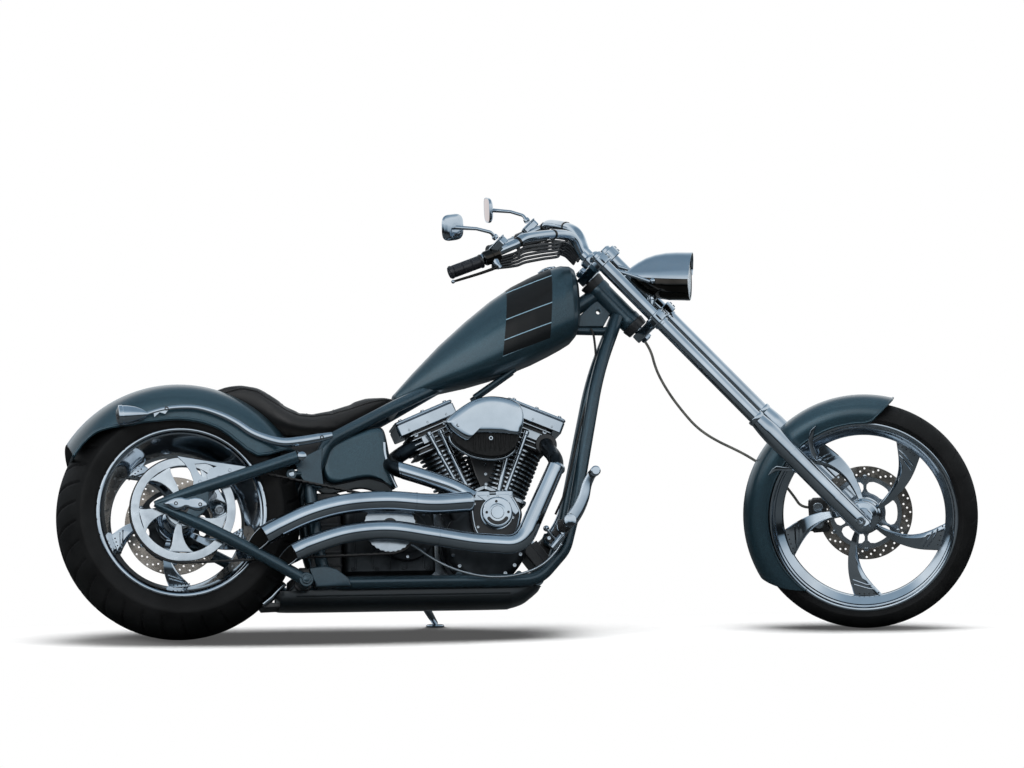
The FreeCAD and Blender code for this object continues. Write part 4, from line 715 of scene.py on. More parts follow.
def kidney(inner, outer, start, end, steps=10):
    # a curved window between two radii, with rounded ends
    middle, half = (inner + outer) / 2, (outer - inner) / 2
    polar = [(outer, start + (end - start) * i / steps) for i in range(steps + 1)]
    rounding = (0.6, 1.2, 1.9, 2.5)
    polar += [(middle + half * math.cos(t), end + math.sin(t) * half / middle) for t in rounding]
    polar += [(inner, end - (end - start) * i / steps) for i in range(steps + 1)]
    polar += [(middle - half * math.cos(t), start - math.sin(t) * half / middle) for t in rounding]
    return [(radius * math.cos(angle), radius * math.sin(angle)) for radius, angle in polar]


def makeDisc(name, disc, body):
    shape = Shape()
    radius, inside = disc["radius"], disc["radius"] - disc["ring"]
    holes = [around(64, inside)]
    for i in range(60):
        turn = math.tau * i / 60
        reach = radius - 7 - (i % 3) * 8.5
        holes.append([(reach * math.cos(turn) + u, reach * math.sin(turn) + v) for u, v in around(8, 3.2)])
    shape.plate(around(120, radius), holes, disc["thick"], discSteel, (0, disc["side"], 0))
    windows = [kidney(disc["hub"] + 16, inside - 13, math.tau * (i - 0.24) / 6, math.tau * (i + 0.24) / 6)
               for i in range(6)]
    shape.plate(around(96, inside + 3), [around(32, disc["hub"] * 0.55)] + windows, 3.6,
                disc["carrier"], (0, disc["side"], 0))
    for i in range(6):
        turn = math.tau * (i + 0.5) / 6
        for sign in (-1, 1):
            face = disc["side"] + sign * 1.8
            shape.bolt(wheelPoint(turn, inside + 1, face), (0, sign, 0), 6.5, 3, polishedAlloy, domed=True)
            shape.bolt(wheelPoint(turn, disc["hub"] * 0.8, face), (0, sign, 0), 5, 5, chrome)
    shape.make(name, body, "disc_steel", [body.replace("wheel", "brake_disc")])


makeDisc("rearDrilledDisc", discs["rear"], "rear_wheel")
makeDisc("frontDrilledDisc", discs["front"], "front_wheel")

# ---- rear pulley: toothed ring held by five hooked fins
pulley = {"side": -171, "width": 28, "radius": 150, "ring": 23, "face": 8, "hub": 50, "turn": 44,
          "finReach": [0, 0.3, 0.65, 1.0], "finLow": [-16, -14, -9, -4], "finHigh": [4, 6.5, 12, 17]}


def makePulley():
    shape = Shape()
    inside = pulley["radius"] - pulley["ring"]
    faceSide = pulley["side"] - pulley["width"] / 2 - pulley["face"] / 2 + 4
    shape.revolve([(-14, pulley["radius"] - 2), (-14, inside), (14, inside), (14, pulley["radius"] - 6),
                   (-9, pulley["radius"] - 6), (-9, pulley["radius"] - 2)], polishedAlloy,
                  (0, pulley["side"], 0), steps=120, closed=True)
    shape.plate(around(120, pulley["radius"] + 2), [around(96, inside)], pulley["face"], polishedAlloy,
                (0, faceSide, 0), edge=1.5)
    root = pulley["hub"] - 6
    for k in range(5):
        base = pulley["turn"] + 72 * k
        edges = []
        for key, order in (("finLow", 1), ("finHigh", -1)):
            side = []
            for i in range(9):
                reach = i / 8
                radius = root + (inside + 4 - root) * reach
                angle = math.radians(base + splined(pulley["finReach"], pulley[key], reach)
                                     + (7 * reach ** 4 if order < 0 else -7 * reach ** 5))
                side.append((radius * math.cos(angle), radius * math.sin(angle)))
            edges += side[::order]
        shape.plate(edges, [], pulley["face"] + 2, polishedAlloy, (0, faceSide + 2, 0), edge=1.5)
    shape.plate(around(64, pulley["hub"]), [around(24, 14)], 12, polishedAlloy, (0, faceSide + 4, 0),
                edge=1.5)
    for k in range(5):
        turn = math.radians(pulley["turn"] + 72 * k - 6)
        shape.bolt(wheelPoint(turn, 38, faceSide - 1), (0, -1, 0), 5.5, 3, chrome)
    shape.make("rearPulleyFins", "rear_wheel", "chrome", ["rear_pulley"])


makePulley()
print("discs and pulley made")

# ---- fenders: one pressed shell over the tyre, with a rolled lip
fenders = {
    "rear": {"axle": (0, 0, 357), "crown": 391, "waist": 300, "half": 164, "skin": 4,
             "lip": 5.5, "stations": 72, "lag": (134, 5.5),
             "angle": [28, 30.8, 32.2, 35.8, 43.3, 52.5, 65, 80.6, 95.3, 105, 118, 125.4, 132, 137,
                       142, 146.3],
             "edge": [386, 346, 307, 274, 261, 260, 266, 268, 271, 275, 290, 308, 328, 342, 349, 352]},
    "front": {"axle": (2040, 0, 337), "crown": 360, "waist": 300, "half": 76, "skin": 3,
              "lip": 3.5, "stations": 72, "lag": (186, 21),
              "angle": [75, 76, 79, 83, 87.5, 96, 110, 130, 150, 170, 190, 200, 209.5],
              "edge": [358, 348, 320, 292, 284, 283, 283, 283, 283, 283, 283, 281, 276]},
}


def fenderSection(fender, edge, count=26):
    # from the crown to one lower edge: (across, radius)
    points = []
    for i in range(121):
        turn = math.pi / 2 * i / 120
        points.append((fender["half"] * math.sin(turn) ** 0.9,
                       fender["waist"] + (fender["crown"] - fender["waist"]) * math.cos(turn) ** 0.8))
    drop = fender["waist"] - edge
    points += [(fender["half"] - 0.02 * drop * i / 20, fender["waist"] - drop * i / 20) for i in range(1, 21)
               if drop > 0]
    kept = [point for point in points if point[1] >= edge] or points[:2]
    lengths = [0]
    for a, b in zip(kept, kept[1:]):
        lengths.append(lengths[-1] + math.dist(a, b))
    return [(splined(lengths, [p[0] for p in kept], lengths[-1] * i / count),
             splined(lengths, [p[1] for p in kept], lengths[-1] * i / count)) for i in range(count + 1)]


def makeFender(name, fender, body, node, paint):
    centre = Vector(fender["axle"])
    shape, rings, edges = Shape(), [], [[], []]
    low, high = fender["angle"][0], fender["angle"][-1]
    for i in range(fender["stations"] + 1):
        degrees = low + (high - low) * (0.5 - 0.5 * math.cos(math.pi * i / fender["stations"]))
        edge = splined(fender["angle"], fender["edge"], degrees)
        start, lag = fender["lag"]
        lag *= max(0.0, (degrees - start) / (high - start)) ** 1.5

        def placed(a, r):
            # near its end the fender's sides run on past the crown
            turn = math.radians(degrees + lag * min(1.0, (fender["crown"] - r) / (fender["crown"] - edge)))
            return centre + wheelPoint(turn, r, a)
        half = fenderSection(fender, edge)
        outer = [(-a, r) for a, r in reversed(half)] + half[1:]
        inner = [(a * (1 - fender["skin"] / fender["half"]), r - fender["skin"] * min(1, (r - 240) / 100))
                 for a, r in reversed(outer)]
        ring = [placed(a, r) for a, r in outer]
        rings.append((ring, [placed(a, r) for a, r in inner]))
        edges[0].append(ring[0])
        edges[1].append(ring[-1])
    shape.loft([ring for ring, _ in rings], paint, capped=False, openRing=True)
    shape.loft([ring for _, ring in rings], blackEnamel, capped=False, openRing=True)
    lip = edges[0] + edges[1][::-1]
    shape.sweep(lip[1:-1], fender["lip"], paint, sides=10, looped=True)
    shape.make(name, body, "body_paint", [node], sharp=50)


makeFender("rearFenderShell", fenders["rear"], "chassis", "rear_fender", bodyPaint)
makeFender("frontFenderShell", fenders["front"], "fork", "front_fender", bodyPaint)

# ---- fender struts and the tail signals at their ends
strut = {"x": [-104, -54, -3, 52, 112, 158, 203, 249, 296, 342, 400, 440],
         "z": [636, 650, 656, 653, 634, 611, 581, 562, 551, 554, 563, 571],
         "y": [190, 190, 190, 189, 187, 184, 181, 178, 176, 175, 174, 174],
         "size": [4.5, 4.5, 5, 5.5, 6.5, 7.5, 8.5, 9.5, 10.5, 10.5, 10, 7]}
signal = {"nose": (-98, 194, 636), "profile": [(-2, 0), (-2, 5), (4, 9), (16, 17), (34, 24), (56, 28.5),
                                               (70, 29.5), (72, 31), (82, 31), (84, 29.5), (84, 27)],
          "lens": [(80, 27), (85, 25), (90, 16), (92, 0)]}
# cast acrylic, tinted: a grey that takes a sharp glint
signalLens = grained("smokedAcrylicLens", {
    "dark": "#26282a", "light": "#3c3f41", "grain": 0.004, "patch": 0.03, "rough": 0.08, "roughest": 0.16,
    "metallic": 0.0, "bump": 0.3})


def makeStruts():
    rods, lamps = Shape(), Shape()
    for side in (-1, 1):
        path = smoothed([(x, y * side, z) for x, y, z in zip(strut["x"], strut["y"], strut["z"])], 5)
        stations = [i / (len(path) - 1) * (len(strut["size"]) - 1) for i in range(len(path))]
        sizes = [1.3 * splined(range(len(strut["size"])), strut["size"], s) for s in stations]
        flat = [(u * 0.62, v) for u, v in around(20, 1.0)]
        rods.sweep(path, sizes, chrome, section=flat)
        for x, z in ((409, 564), (-42, 652)):
            rods.bolt((x, side * 178 if x > 0 else side * 191, z), (0, side, 0), 6, 5, blackEnamel)
        wing = [(-78, 627), (-62, 641), (-46, 636), (-40, 644), (-36, 650), (-64, 650), (-80, 640)]
        rods.plate(wing, [], 6, chrome, (0, side * 189, 0))
        nose = Vector((signal["nose"][0], side * signal["nose"][1], signal["nose"][2]))
        lamps.revolve(signal["profile"], chrome, nose, (-1, 0, -0.05), 48)
        lamps.revolve(signal["lens"], signalLens, nose, (-1, 0, -0.05), 48)
        lamps.sweep([nose + Vector((-20, -side * 4, 0)), nose + Vector((-14, -side * 30, -4))], 7, chrome)
    rods.make("fenderStrutRods", "chassis", "chrome", ["fender_struts"])
    lamps.make("tailSignalLamps", "chassis", "chrome", ["turn_signals"])


makeStruts()

# ---- fuel tank: a long teardrop with a black band and three thin lines
tank = {
    "x": [640, 700, 780, 860, 934, 1000, 1060, 1110, 1150, 1175, 1189, 1196],
    "lower": [690, 700, 718, 735, 756, 780, 804, 828, 849, 864, 880, 900],
    "ridge": [712, 777, 858, 929, 988, 1032, 1062, 1084, 1095, 1094, 1086, 1066],
    "half": [30, 54, 76, 94, 109, 121, 127, 126, 119, 108, 94, 74],
    "waist": 0.44, "ring": 56,
    "band": {"left": (958, 809, 0.1164), "right": (1100, 862, 0.078), "foot": (958, 809, 0.373),
             "lines": (0, 46, 105, 190), "slope": 0.355, "line": 2.6},
}


def tankRing(x):
    lower, ridge, half = [splined(tank["x"], tank[key], x) for key in ("lower", "ridge", "half")]
    waist = lower + (ridge - lower) * tank["waist"]
    ring = []
    for i in range(tank["ring"]):
        turn = math.tau * i / tank["ring"]
        cosine, sine = math.cos(turn), math.sin(turn)
        width = half * math.copysign(abs(cosine) ** (0.82 if sine > 0 else 0.7), cosine)
        rise = (ridge - waist) * abs(sine) ** 0.98 if sine > 0 else -(waist - lower) * abs(sine) ** 0.62
        ring.append(Vector((x, width, waist + rise)))
    return ring


def bandedPaint(look, band):
    # the body lacquer with a black band and thin pale lines masked off before the clear coat
    material, tree, shader = newMaterial("metallicLacquerTank")
    place = addNode(tree, "TexCoord").outputs["Object"]
    axisX, axisZ, origin = [Vector([chassisSpace[r][c] for r in range(3)]) for c in (0, 2, 3)]

    def along(axis):
        dot = addNode(tree, "VectorMath", {0: place, 1: axis.normalized() * 1000}, operation="DOT_PRODUCT")
        shift = -1000 * origin.dot(axis.normalized())
        return addNode(tree, "Math", {0: dot.outputs["Value"], 1: shift}, operation="ADD").outputs[0]

    def beyond(source, other, point, slope):
        # how far a place lies past a slanted line, and the same as a soft step
        line = addNode(tree, "Math", {0: other, 1: -slope, 2: slope * point[1] - point[0]},
                       operation="MULTIPLY_ADD").outputs[0]
        gap = addNode(tree, "Math", {0: source, 1: line}).outputs[0]
        return gap, addNode(tree, "MapRange", {"Value": gap, "From Min": -0.4, "From Max": 0.4}).outputs[0]

    def product(first, second):
        return addNode(tree, "Math", {0: first, 1: second}, operation="MULTIPLY").outputs[0]

    def painted(first, second):
        # one value on the lacquer and another in the band
        return addNode(tree, "MapRange", {"Value": mask, "To Min": first, "To Max": second}).outputs[0]

    x, z = along(axisX), along(axisZ)
    left = beyond(x, z, band["left"][:2], band["left"][2])[1]
    right = beyond(x, z, band["right"][:2], band["right"][2])[1]
    notRight = addNode(tree, "Math", {0: 1.0, 1: right}, operation="SUBTRACT").outputs[0]
    foot = beyond(z, x, (band["foot"][1], band["foot"][0]), band["foot"][2])[1]
    mask = product(product(left, notRight), foot)
    flake = addNode(tree, "TexNoise", {"Vector": place, "Scale": 1 / look["flake"], "Detail": 1.0}).outputs[0]
    cloud = addNode(tree, "TexNoise", {"Vector": place, "Scale": 1 / look["cloud"], "Detail": 2.0}).outputs[0]
    share = addNode(tree, "MapRange", {"Value": flake, "From Min": 0.35, "From Max": 0.75}).outputs[0]
    grain = addNode(tree, "Mix", {0: share, 6: look["deep"], 7: look["bright"]}, data_type="RGBA").outputs[2]
    share = addNode(tree, "MapRange", {"Value": cloud, "From Min": 0.35, "From Max": 0.65, "To Max": 0.3})
    colour = addNode(tree, "Mix", {0: share.outputs[0], 6: grain, 7: look["deep"]},
                     data_type="RGBA").outputs[2]
    colour = addNode(tree, "Mix", {0: mask, 6: colour, 7: "#0a0d0f"}, data_type="RGBA").outputs[2]
    for height in band["lines"]:
        gap = beyond(z, x, (band["foot"][1] + height, band["foot"][0]), band["slope"])[0]
        away = addNode(tree, "Math", {0: gap}, operation="ABSOLUTE").outputs[0]
        edge = addNode(tree, "MapRange", {"Value": away, "From Min": band["line"] / 2 - 0.4, "From Max":
                                          band["line"] / 2 + 0.4, "To Min": 1, "To Max": 0}).outputs[0]
        colour = addNode(tree, "Mix", {0: product(edge, mask), 6: colour, 7: "#6f8c9c"},
                         data_type="RGBA").outputs[2]
    rough = addNode(tree, "MapRange", {"Value": cloud, "From Min": 0.3, "From Max": 0.7,
                                       "To Min": look["rough"], "To Max": look["rough"] + 0.06}).outputs[0]
    fillSockets(shader, {"Base Color": colour, "Roughness": rough, "Metallic": painted(look["metallic"], 0.0),
                         "Coat Weight": painted(look["coat"], 0.12), "Specular IOR Level": painted(0.5, 0.12),
                         "Coat Roughness": 0.16})
    return material


def makeTank():
    xs = smoothed([(x, 0, 0) for x in tank["x"]], 6)
    shape, finish = Shape(), bandedPaint(bodyLook, tank["band"])
    rings = [tankRing(min(point.x, tank["x"][-1])) for point in xs]
    nose = []
    for reach, shrink in ((3.5, 0.9), (5.5, 0.7), (6.3, 0.4), (6.6, 0.1)):
        middle = sum(rings[-1], Vector()) / len(rings[-1])
        nose.append([Vector((point.x + reach, middle.y + (point.y - middle.y) * shrink,
                             middle.z + (point.z - middle.z) * shrink)) for point in rings[-1]])
    shape.loft(rings + nose, finish)
    shape.make("fuelTankShell", "chassis", "body_paint", ["fuel_tank"], sharp=70)
    cap = Shape()
    cap.revolve([(-14, 0), (-14, 34), (2, 34), (4, 31), (5, 27), (8, 27), (11, 25), (14, 16), (15, 0)],
                chrome, (1116, 0, 1078), (-0.3, 0, 0.95), 56)
    for i in range(12):
        turn = math.tau * i / 12
        side, along = Vector((0, 1, 0)), Vector((0.95, 0, 0.3)).normalized()
        at = Vector((1116, 0, 1078)) + Vector((-0.3, 0, 0.95)).normalized() * 8
        cap.bolt(at + (side * math.cos(turn) + along * math.sin(turn)) * 26, (-0.3, 0, 0.95), 2.4, 3, chrome,
                 domed=True)
    cap.make("screwFuelCap", "chassis", "chrome", ["fuel_cap"])


makeTank()
print("fenders, struts and tank made")

# ---- saddle: padded leather over foam
saddle = {
    "x": [80, 112, 150, 190, 235, 281, 318, 355, 392, 449, 515, 563, 610, 640, 662],
    "top": [716, 730, 741, 744, 733, 700, 674, 655, 650, 661, 683, 699, 709, 708, 700],
    "bottom": [702, 700, 692, 672, 640, 610, 592, 584, 583, 590, 620, 646, 672, 686, 690],
    "half": [30, 52, 66, 80, 98, 116, 124, 125, 123, 114, 94, 78, 60, 46, 34],
    "voxel": 5, "pressure": 4.0, "swell": 7, "piping": 2.4, "pipingAt": 0.8,
}
leatherLook = {"dark": "#070708", "light": "#0e0e0f", "grain": 0.0022, "patch": 0.05, "rough": 0.38,
               "roughest": 0.55}


def grainLeather(look):
    # full-grain leather, tanned and dyed: fine creased cells with a soft sheen on the raised parts
    material, tree, shader = newMaterial("dyedGrainLeather")
    place = addNode(tree, "TexCoord").outputs["Object"]
    cells = addNode(tree, "TexVoronoi", {"Vector": place, "Scale": 1 / look["grain"]},
                    feature="DISTANCE_TO_EDGE").outputs["Distance"]
    patch = addNode(tree, "TexNoise", {"Vector": place, "Scale": 1 / look["patch"], "Detail": 3.0}).outputs[0]
    share = addNode(tree, "MapRange", {"Value": patch, "From Min": 0.35, "From Max": 0.65}).outputs[0]
    colour = addNode(tree, "Mix", {0: share, 6: look["dark"], 7: look["light"]}, data_type="RGBA").outputs[2]
    rough = addNode(tree, "MapRange", {"Value": cells, "From Min": 0.0, "From Max": 0.25, "To Min":
                                       look["roughest"], "To Max": look["rough"]}).outputs[0]
    bump = addNode(tree, "Bump", {"Height": cells, "Strength": 0.35, "Distance": 0.0006}).outputs[0]
    fillSockets(shader, {"Base Color": colour, "Roughness": rough, "Specular IOR Level": 0.3,
                         "Sheen Weight": 0.1, "Normal": bump})
    return material


leather = grainLeather(leatherLook)


def padOut(piece):
    # the foam presses the cover outwards, no further than the swell
    bpy.context.view_layer.objects.active = piece
    remesh = piece.modifiers.new("evenSkin", "REMESH")
    remesh.mode, remesh.voxel_size = "VOXEL", saddle["voxel"] * 0.001
    bpy.context.view_layer.update()
    skin = bpy.data.meshes.new_from_object(piece.evaluated_get(bpy.context.evaluated_depsgraph_get()))
    piece.modifiers.clear()
    piece.data = skin
    before = np.array([vert.co for vert in skin.vertices])
    cloth = piece.modifiers.new("coverCloth", "CLOTH")
    cloth.settings.use_pressure, cloth.settings.uniform_pressure_force = True, saddle["pressure"]
    cloth.settings.effector_weights.gravity = 0.0
    cloth.settings.tension_stiffness = cloth.settings.compression_stiffness = 12
    cloth.settings.bending_stiffness = 1.5
    for step in range(1, 21):
        bpy.context.scene.frame_set(step)
    swollen = piece.evaluated_get(bpy.context.evaluated_depsgraph_get()).to_mesh()
    after = np.array([vert.co for vert in swollen.vertices])
    bpy.context.scene.frame_set(1)
    moved = after - before
    far = np.linalg.norm(moved, axis=1, keepdims=True)
    moved *= np.minimum(1.0, saddle["swell"] * 0.001 / np.maximum(far, 1e-9))
    piece.modifiers.clear()
    piece.data.vertices.foreach_set("co", (before + moved).ravel())
    piece.data.update()


def saddleRing(x, shrink=1.0):
    top, bottom, half = [splined(saddle["x"], saddle[key], x) for key in ("top", "bottom", "half")]
    middle, rise = (top + bottom) / 2, (top - bottom) / 2
    ring = []
    for i in range(48):
        turn = math.tau * i / 48
        cosine, sine = math.cos(turn), math.sin(turn)
        width = (half - 4) * math.copysign(abs(cosine) ** 0.55, cosine) * shrink
        height = (rise - 3) * math.copysign(abs(sine) ** (0.75 if sine > 0 else 0.5), sine) * shrink
        dish = -5 * (1 - (width / half) ** 2) if 300 < x < 520 and sine > 0 else 0
        ring.append(Vector((x, width, middle + height + dish)))
    return ring


def makeSaddle():
    shape = Shape()
    first, last = saddle["x"][0], saddle["x"][-1]
    xs = [first + (last - first) * i / 70 for i in range(71)]
    rings = [saddleRing(first, 0.5)] + [saddleRing(x) for x in xs[1:-1]] + [saddleRing(last, 0.6)]
    shape.loft(rings, leather)
    piece = shape.make("leatherSaddle", "chassis", "leather", ["seat"], sharp=180)
    padOut(piece)
    piece.data.materials.clear()
    piece.data.materials.append(leather)
    smooth = piece.modifiers.new("even", "SMOOTH")
    smooth.factor, smooth.iterations = 0.5, 6
    bpy.context.view_layer.update()
    final = bpy.data.meshes.new_from_object(piece.evaluated_get(bpy.context.evaluated_depsgraph_get()))
    piece.modifiers.clear()
    piece.data = final
    final.shade_smooth()
    # welts sewn along both sides, found by dropping lines onto the cover
    toBike = chassisSpace.inverted()
    verts = [toBike @ vert.co for vert in final.vertices]
    tree = BVHTree.FromPolygons(verts, [list(polygon.vertices) for polygon in final.polygons])
    welts = Shape()
    for side in (-1, 1):
        path = []
        for i in range(40):
            x = 100 + 525 * i / 39
            width = splined(saddle["x"], saddle["half"], x) * saddle["pipingAt"] * side
            hit = tree.ray_cast(Vector((x, width, 900)), Vector((0, 0, -1)))[0]
            if hit:
                path.append(hit + Vector((0, side * 0.5, 0.2)))
        welts.sweep(smoothed(path, 2), saddle["piping"], leather, sides=10)
        for i in range(1, len(path) - 1):
            for part in (0.0, 0.5):
                at = path[i].lerp(path[i + 1], part) - Vector((0, side * 5, -0.5))
                hit = tree.ray_cast(at + Vector((0, 0, 40)), Vector((0, 0, -1)))[0]
                if hit:
                    ahead = (path[i + 1] - path[i]).normalized() * 1.7
                    welts.sweep([hit - ahead, hit + Vector((0, 0, 0.7)), hit + ahead], 0.55, mouldedRubber,
                                sides=6)
    # sewn channels across the saddle
    for x in (300, 372, 450):
        path = []
        for i in range(25):
            width = splined(saddle["x"], saddle["half"], x) * saddle["pipingAt"] * (i / 12 - 1)
            hit = tree.ray_cast(Vector((x + 14 * (1 - (i / 12 - 1) ** 2), width, 900)), Vector((0, 0, -1)))[0]
            if hit:
                path.append(hit + Vector((0, 0, -0.2)))
        welts.sweep(smoothed(path, 2), 1.6, leather, sides=8)
    welts.make("saddleWelts", "chassis", "leather")


makeSaddle()

# ---- side cover over the oil tank
cover = {
    "outline": [(414, 512), (430, 549), (470, 568), (509, 584), (560, 600), (590, 601), (602, 580),
                (612, 520), (626, 440), (622, 422), (598, 440), (560, 452), (528, 451), (481, 442),
                (448, 437), (424, 448), (411, 480)],
    "half": 119, "steps": [(0, 1.0), (96, 1.0), (108, 0.985), (115, 0.95), (118.2, 0.88), (119, 0.78)],
}


def makeSideCover():
    path = closedPath(cover["outline"])
    middle = sum(path, Vector()) / len(path)
    shape, steps = Shape(), cover["steps"]
    rows = [(-y, scale) for y, scale in steps[::-1]] + steps[1:]
    shape.loft(outlineRings(path, middle, rows), bodyPaint)
    for side in (-1, 1):
        seam = outlineRings(path, middle, [(side * 97, 1.004)])[0]
        shape.sweep(seam, 2.5, blackEnamel, sides=8, looped=True)
    shape.make("oilTankCover", "chassis", "body_paint", ["oil_tank"], sharp=40)


makeSideCover()
print("saddle and side cover made")

# ---- engine: two finned cylinders in a vee on a round case
engine = {
    "crank": (895, 0, 262), "halfVee": 22.5, "rearShift": 12, "caseRadius": 120,
    "barrel": (158, 310), "fins": 11, "finRadius": 68, "core": 55, "finThick": 5.2,
    "head": (310, 385), "headHalf": (71, 74), "headFins": 5, "rocker": (385, 430), "rockerHalf": (93, 77),
}
# black heat paint over cast fins: dull, so that only the machined fin edges shine
finBlack = grained("blackPaintedFins", {
    "dark": "#0a0b0c", "light": "#131517", "grain": 0.0015, "patch": 0.05, "rough": 0.4, "roughest": 0.55,
    "metallic": 0.0, "bump": 0.15})


upright = (Vector((1, 0, 0)), Vector((0, 1, 0)), Vector((0, 0, 1)))


def boxRings(middle, axes, halfU, halfV, low, high, corner, chamfer):
    # rounded block: rings of a rounded rectangle stacked along the third axis
    axisU, axisV, axisW = axes

    def ring(height, shrink):
        points = []
        for signU, signV, start in ((1, 1, 0), (-1, 1, 90), (-1, -1, 180), (1, -1, 270)):
            for k in range(5):
                turn = math.radians(start + 22.5 * k)
                u = signU * (halfU - shrink - corner) + corner * math.cos(turn)
                v = signV * (halfV - shrink - corner) + corner * math.sin(turn)
                points.append(middle + axisU * u + axisV * v + axisW * height)
        return points
    return [ring(low, chamfer), ring(low + chamfer, 0), ring(high - chamfer, 0),
            ring(high - chamfer * 0.3, chamfer * 0.4), ring(high, chamfer)]


def bankAxes(bank):
    # ahead, across and up of the rear (-1) or the front (1) cylinder
    turn = math.radians(bank * engine["halfVee"])
    return (Vector((math.cos(turn), 0, -math.sin(turn))), upright[1],
            Vector((math.sin(turn), 0, math.cos(turn))))


def makeCylinders():
    cylinders, rockers = Shape(), Shape()
    crank = Vector(engine["crank"])
    for bank in (-1, 1):
        axes = ahead, across, up = bankAxes(bank)
        topFoot = crank - ahead * (engine["rearShift"] if bank < 0 else 0)
        start, end = engine["barrel"]
        cylinders.revolve([(start, 0), (start, engine["core"]), (end, engine["core"]), (end, 0)], finBlack,
                          crank, up, 48)
        pitch = (end - start - 4) / engine["fins"]
        for k in range(engine["fins"]):
            low, r, t = start + 4 + pitch * k, engine["finRadius"], engine["finThick"]
            cylinders.revolve([(low, engine["core"] - 1), (low, r - 1), (low + t, r - 1),
                               (low + t, engine["core"] - 1)], finBlack, crank, up, 56)
            cylinders.revolve([(low + 0.4, r - 2), (low + 0.4, r), (low + t - 0.4, r),
                               (low + t - 0.4, r - 2)], polishedAlloy, crank, up, 56)
        halfU, halfV = engine["headHalf"]
        low, high = engine["head"]
        cylinders.loft(boxRings(topFoot, axes, halfU - 10, halfV - 10, low, high, 12, 2), finBlack)
        gap = (high - low) / engine["headFins"]
        for k in range(engine["headFins"]):
            foot = low + 3 + gap * k
            cylinders.loft(boxRings(topFoot, axes, halfU, halfV, foot, foot + 5, 14, 1), finBlack)
            cylinders.loft(boxRings(topFoot, axes, halfU + 0.5, halfV + 0.5, foot + 1.2,
                                    foot + 3.8, 14, 0.4), polishedAlloy)
        tag = topFoot + ahead * (18 * bank) + across * -(halfV - 2)
        cylinders.loft(boxRings(tag, axes, 20, 6, low + 28, low + 50, 4, 1), polishedAlloy)
        # head bolts in the fins
        for k in (-1, 1):
            cylinders.bolt(topFoot + ahead * (k * 46) - across * (halfV - 12) + up * (high - 12), -across, 7,
                           10, chrome)
        halfU, halfV = engine["rockerHalf"]
        low, high = engine["rocker"]
        rockers.loft(boxRings(topFoot, axes, halfU, halfV, low, high - 11, 10, 2), chrome)
        rockers.loft(boxRings(topFoot, axes, halfU - 2.5, halfV - 2.5, high - 12, high - 9.5, 10,
                              0.2), blackEnamel)
        rockers.loft(boxRings(topFoot, axes, halfU, halfV, high - 10, high, 10, 4), chrome)
        for k in (-1, 0, 1):
            for side in (-1, 1):
                at = topFoot + ahead * (72 * k) + across * side * (halfV - 10) + up * high
                rockers.bolt(at, up, 5.5, 4, polishedAlloy)
        for side in (-1, 1):
            for k in (-60, 0, 60):
                at = topFoot + ahead * k + across * side * halfV + up * (low + 9)
                rockers.bolt(at, across * side, 3.5, 2.5, polishedAlloy)
    cylinders.make("finnedCylinders", "chassis", "black_enamel", ["cylinders"])
    rockers.make("rockerCovers", "chassis", "chrome", ["rocker_boxes"])


makeCylinders()

# ---- crankcase, gear case and primary cover
cases = {
    "deck": (60, 158), "gearbox": {"at": (610, 5, 285), "half": (135, 80, 112)},
    "drivePulley": (600, 300), "primary": {"inner": 86, "outer": 170, "radius": 95},
}


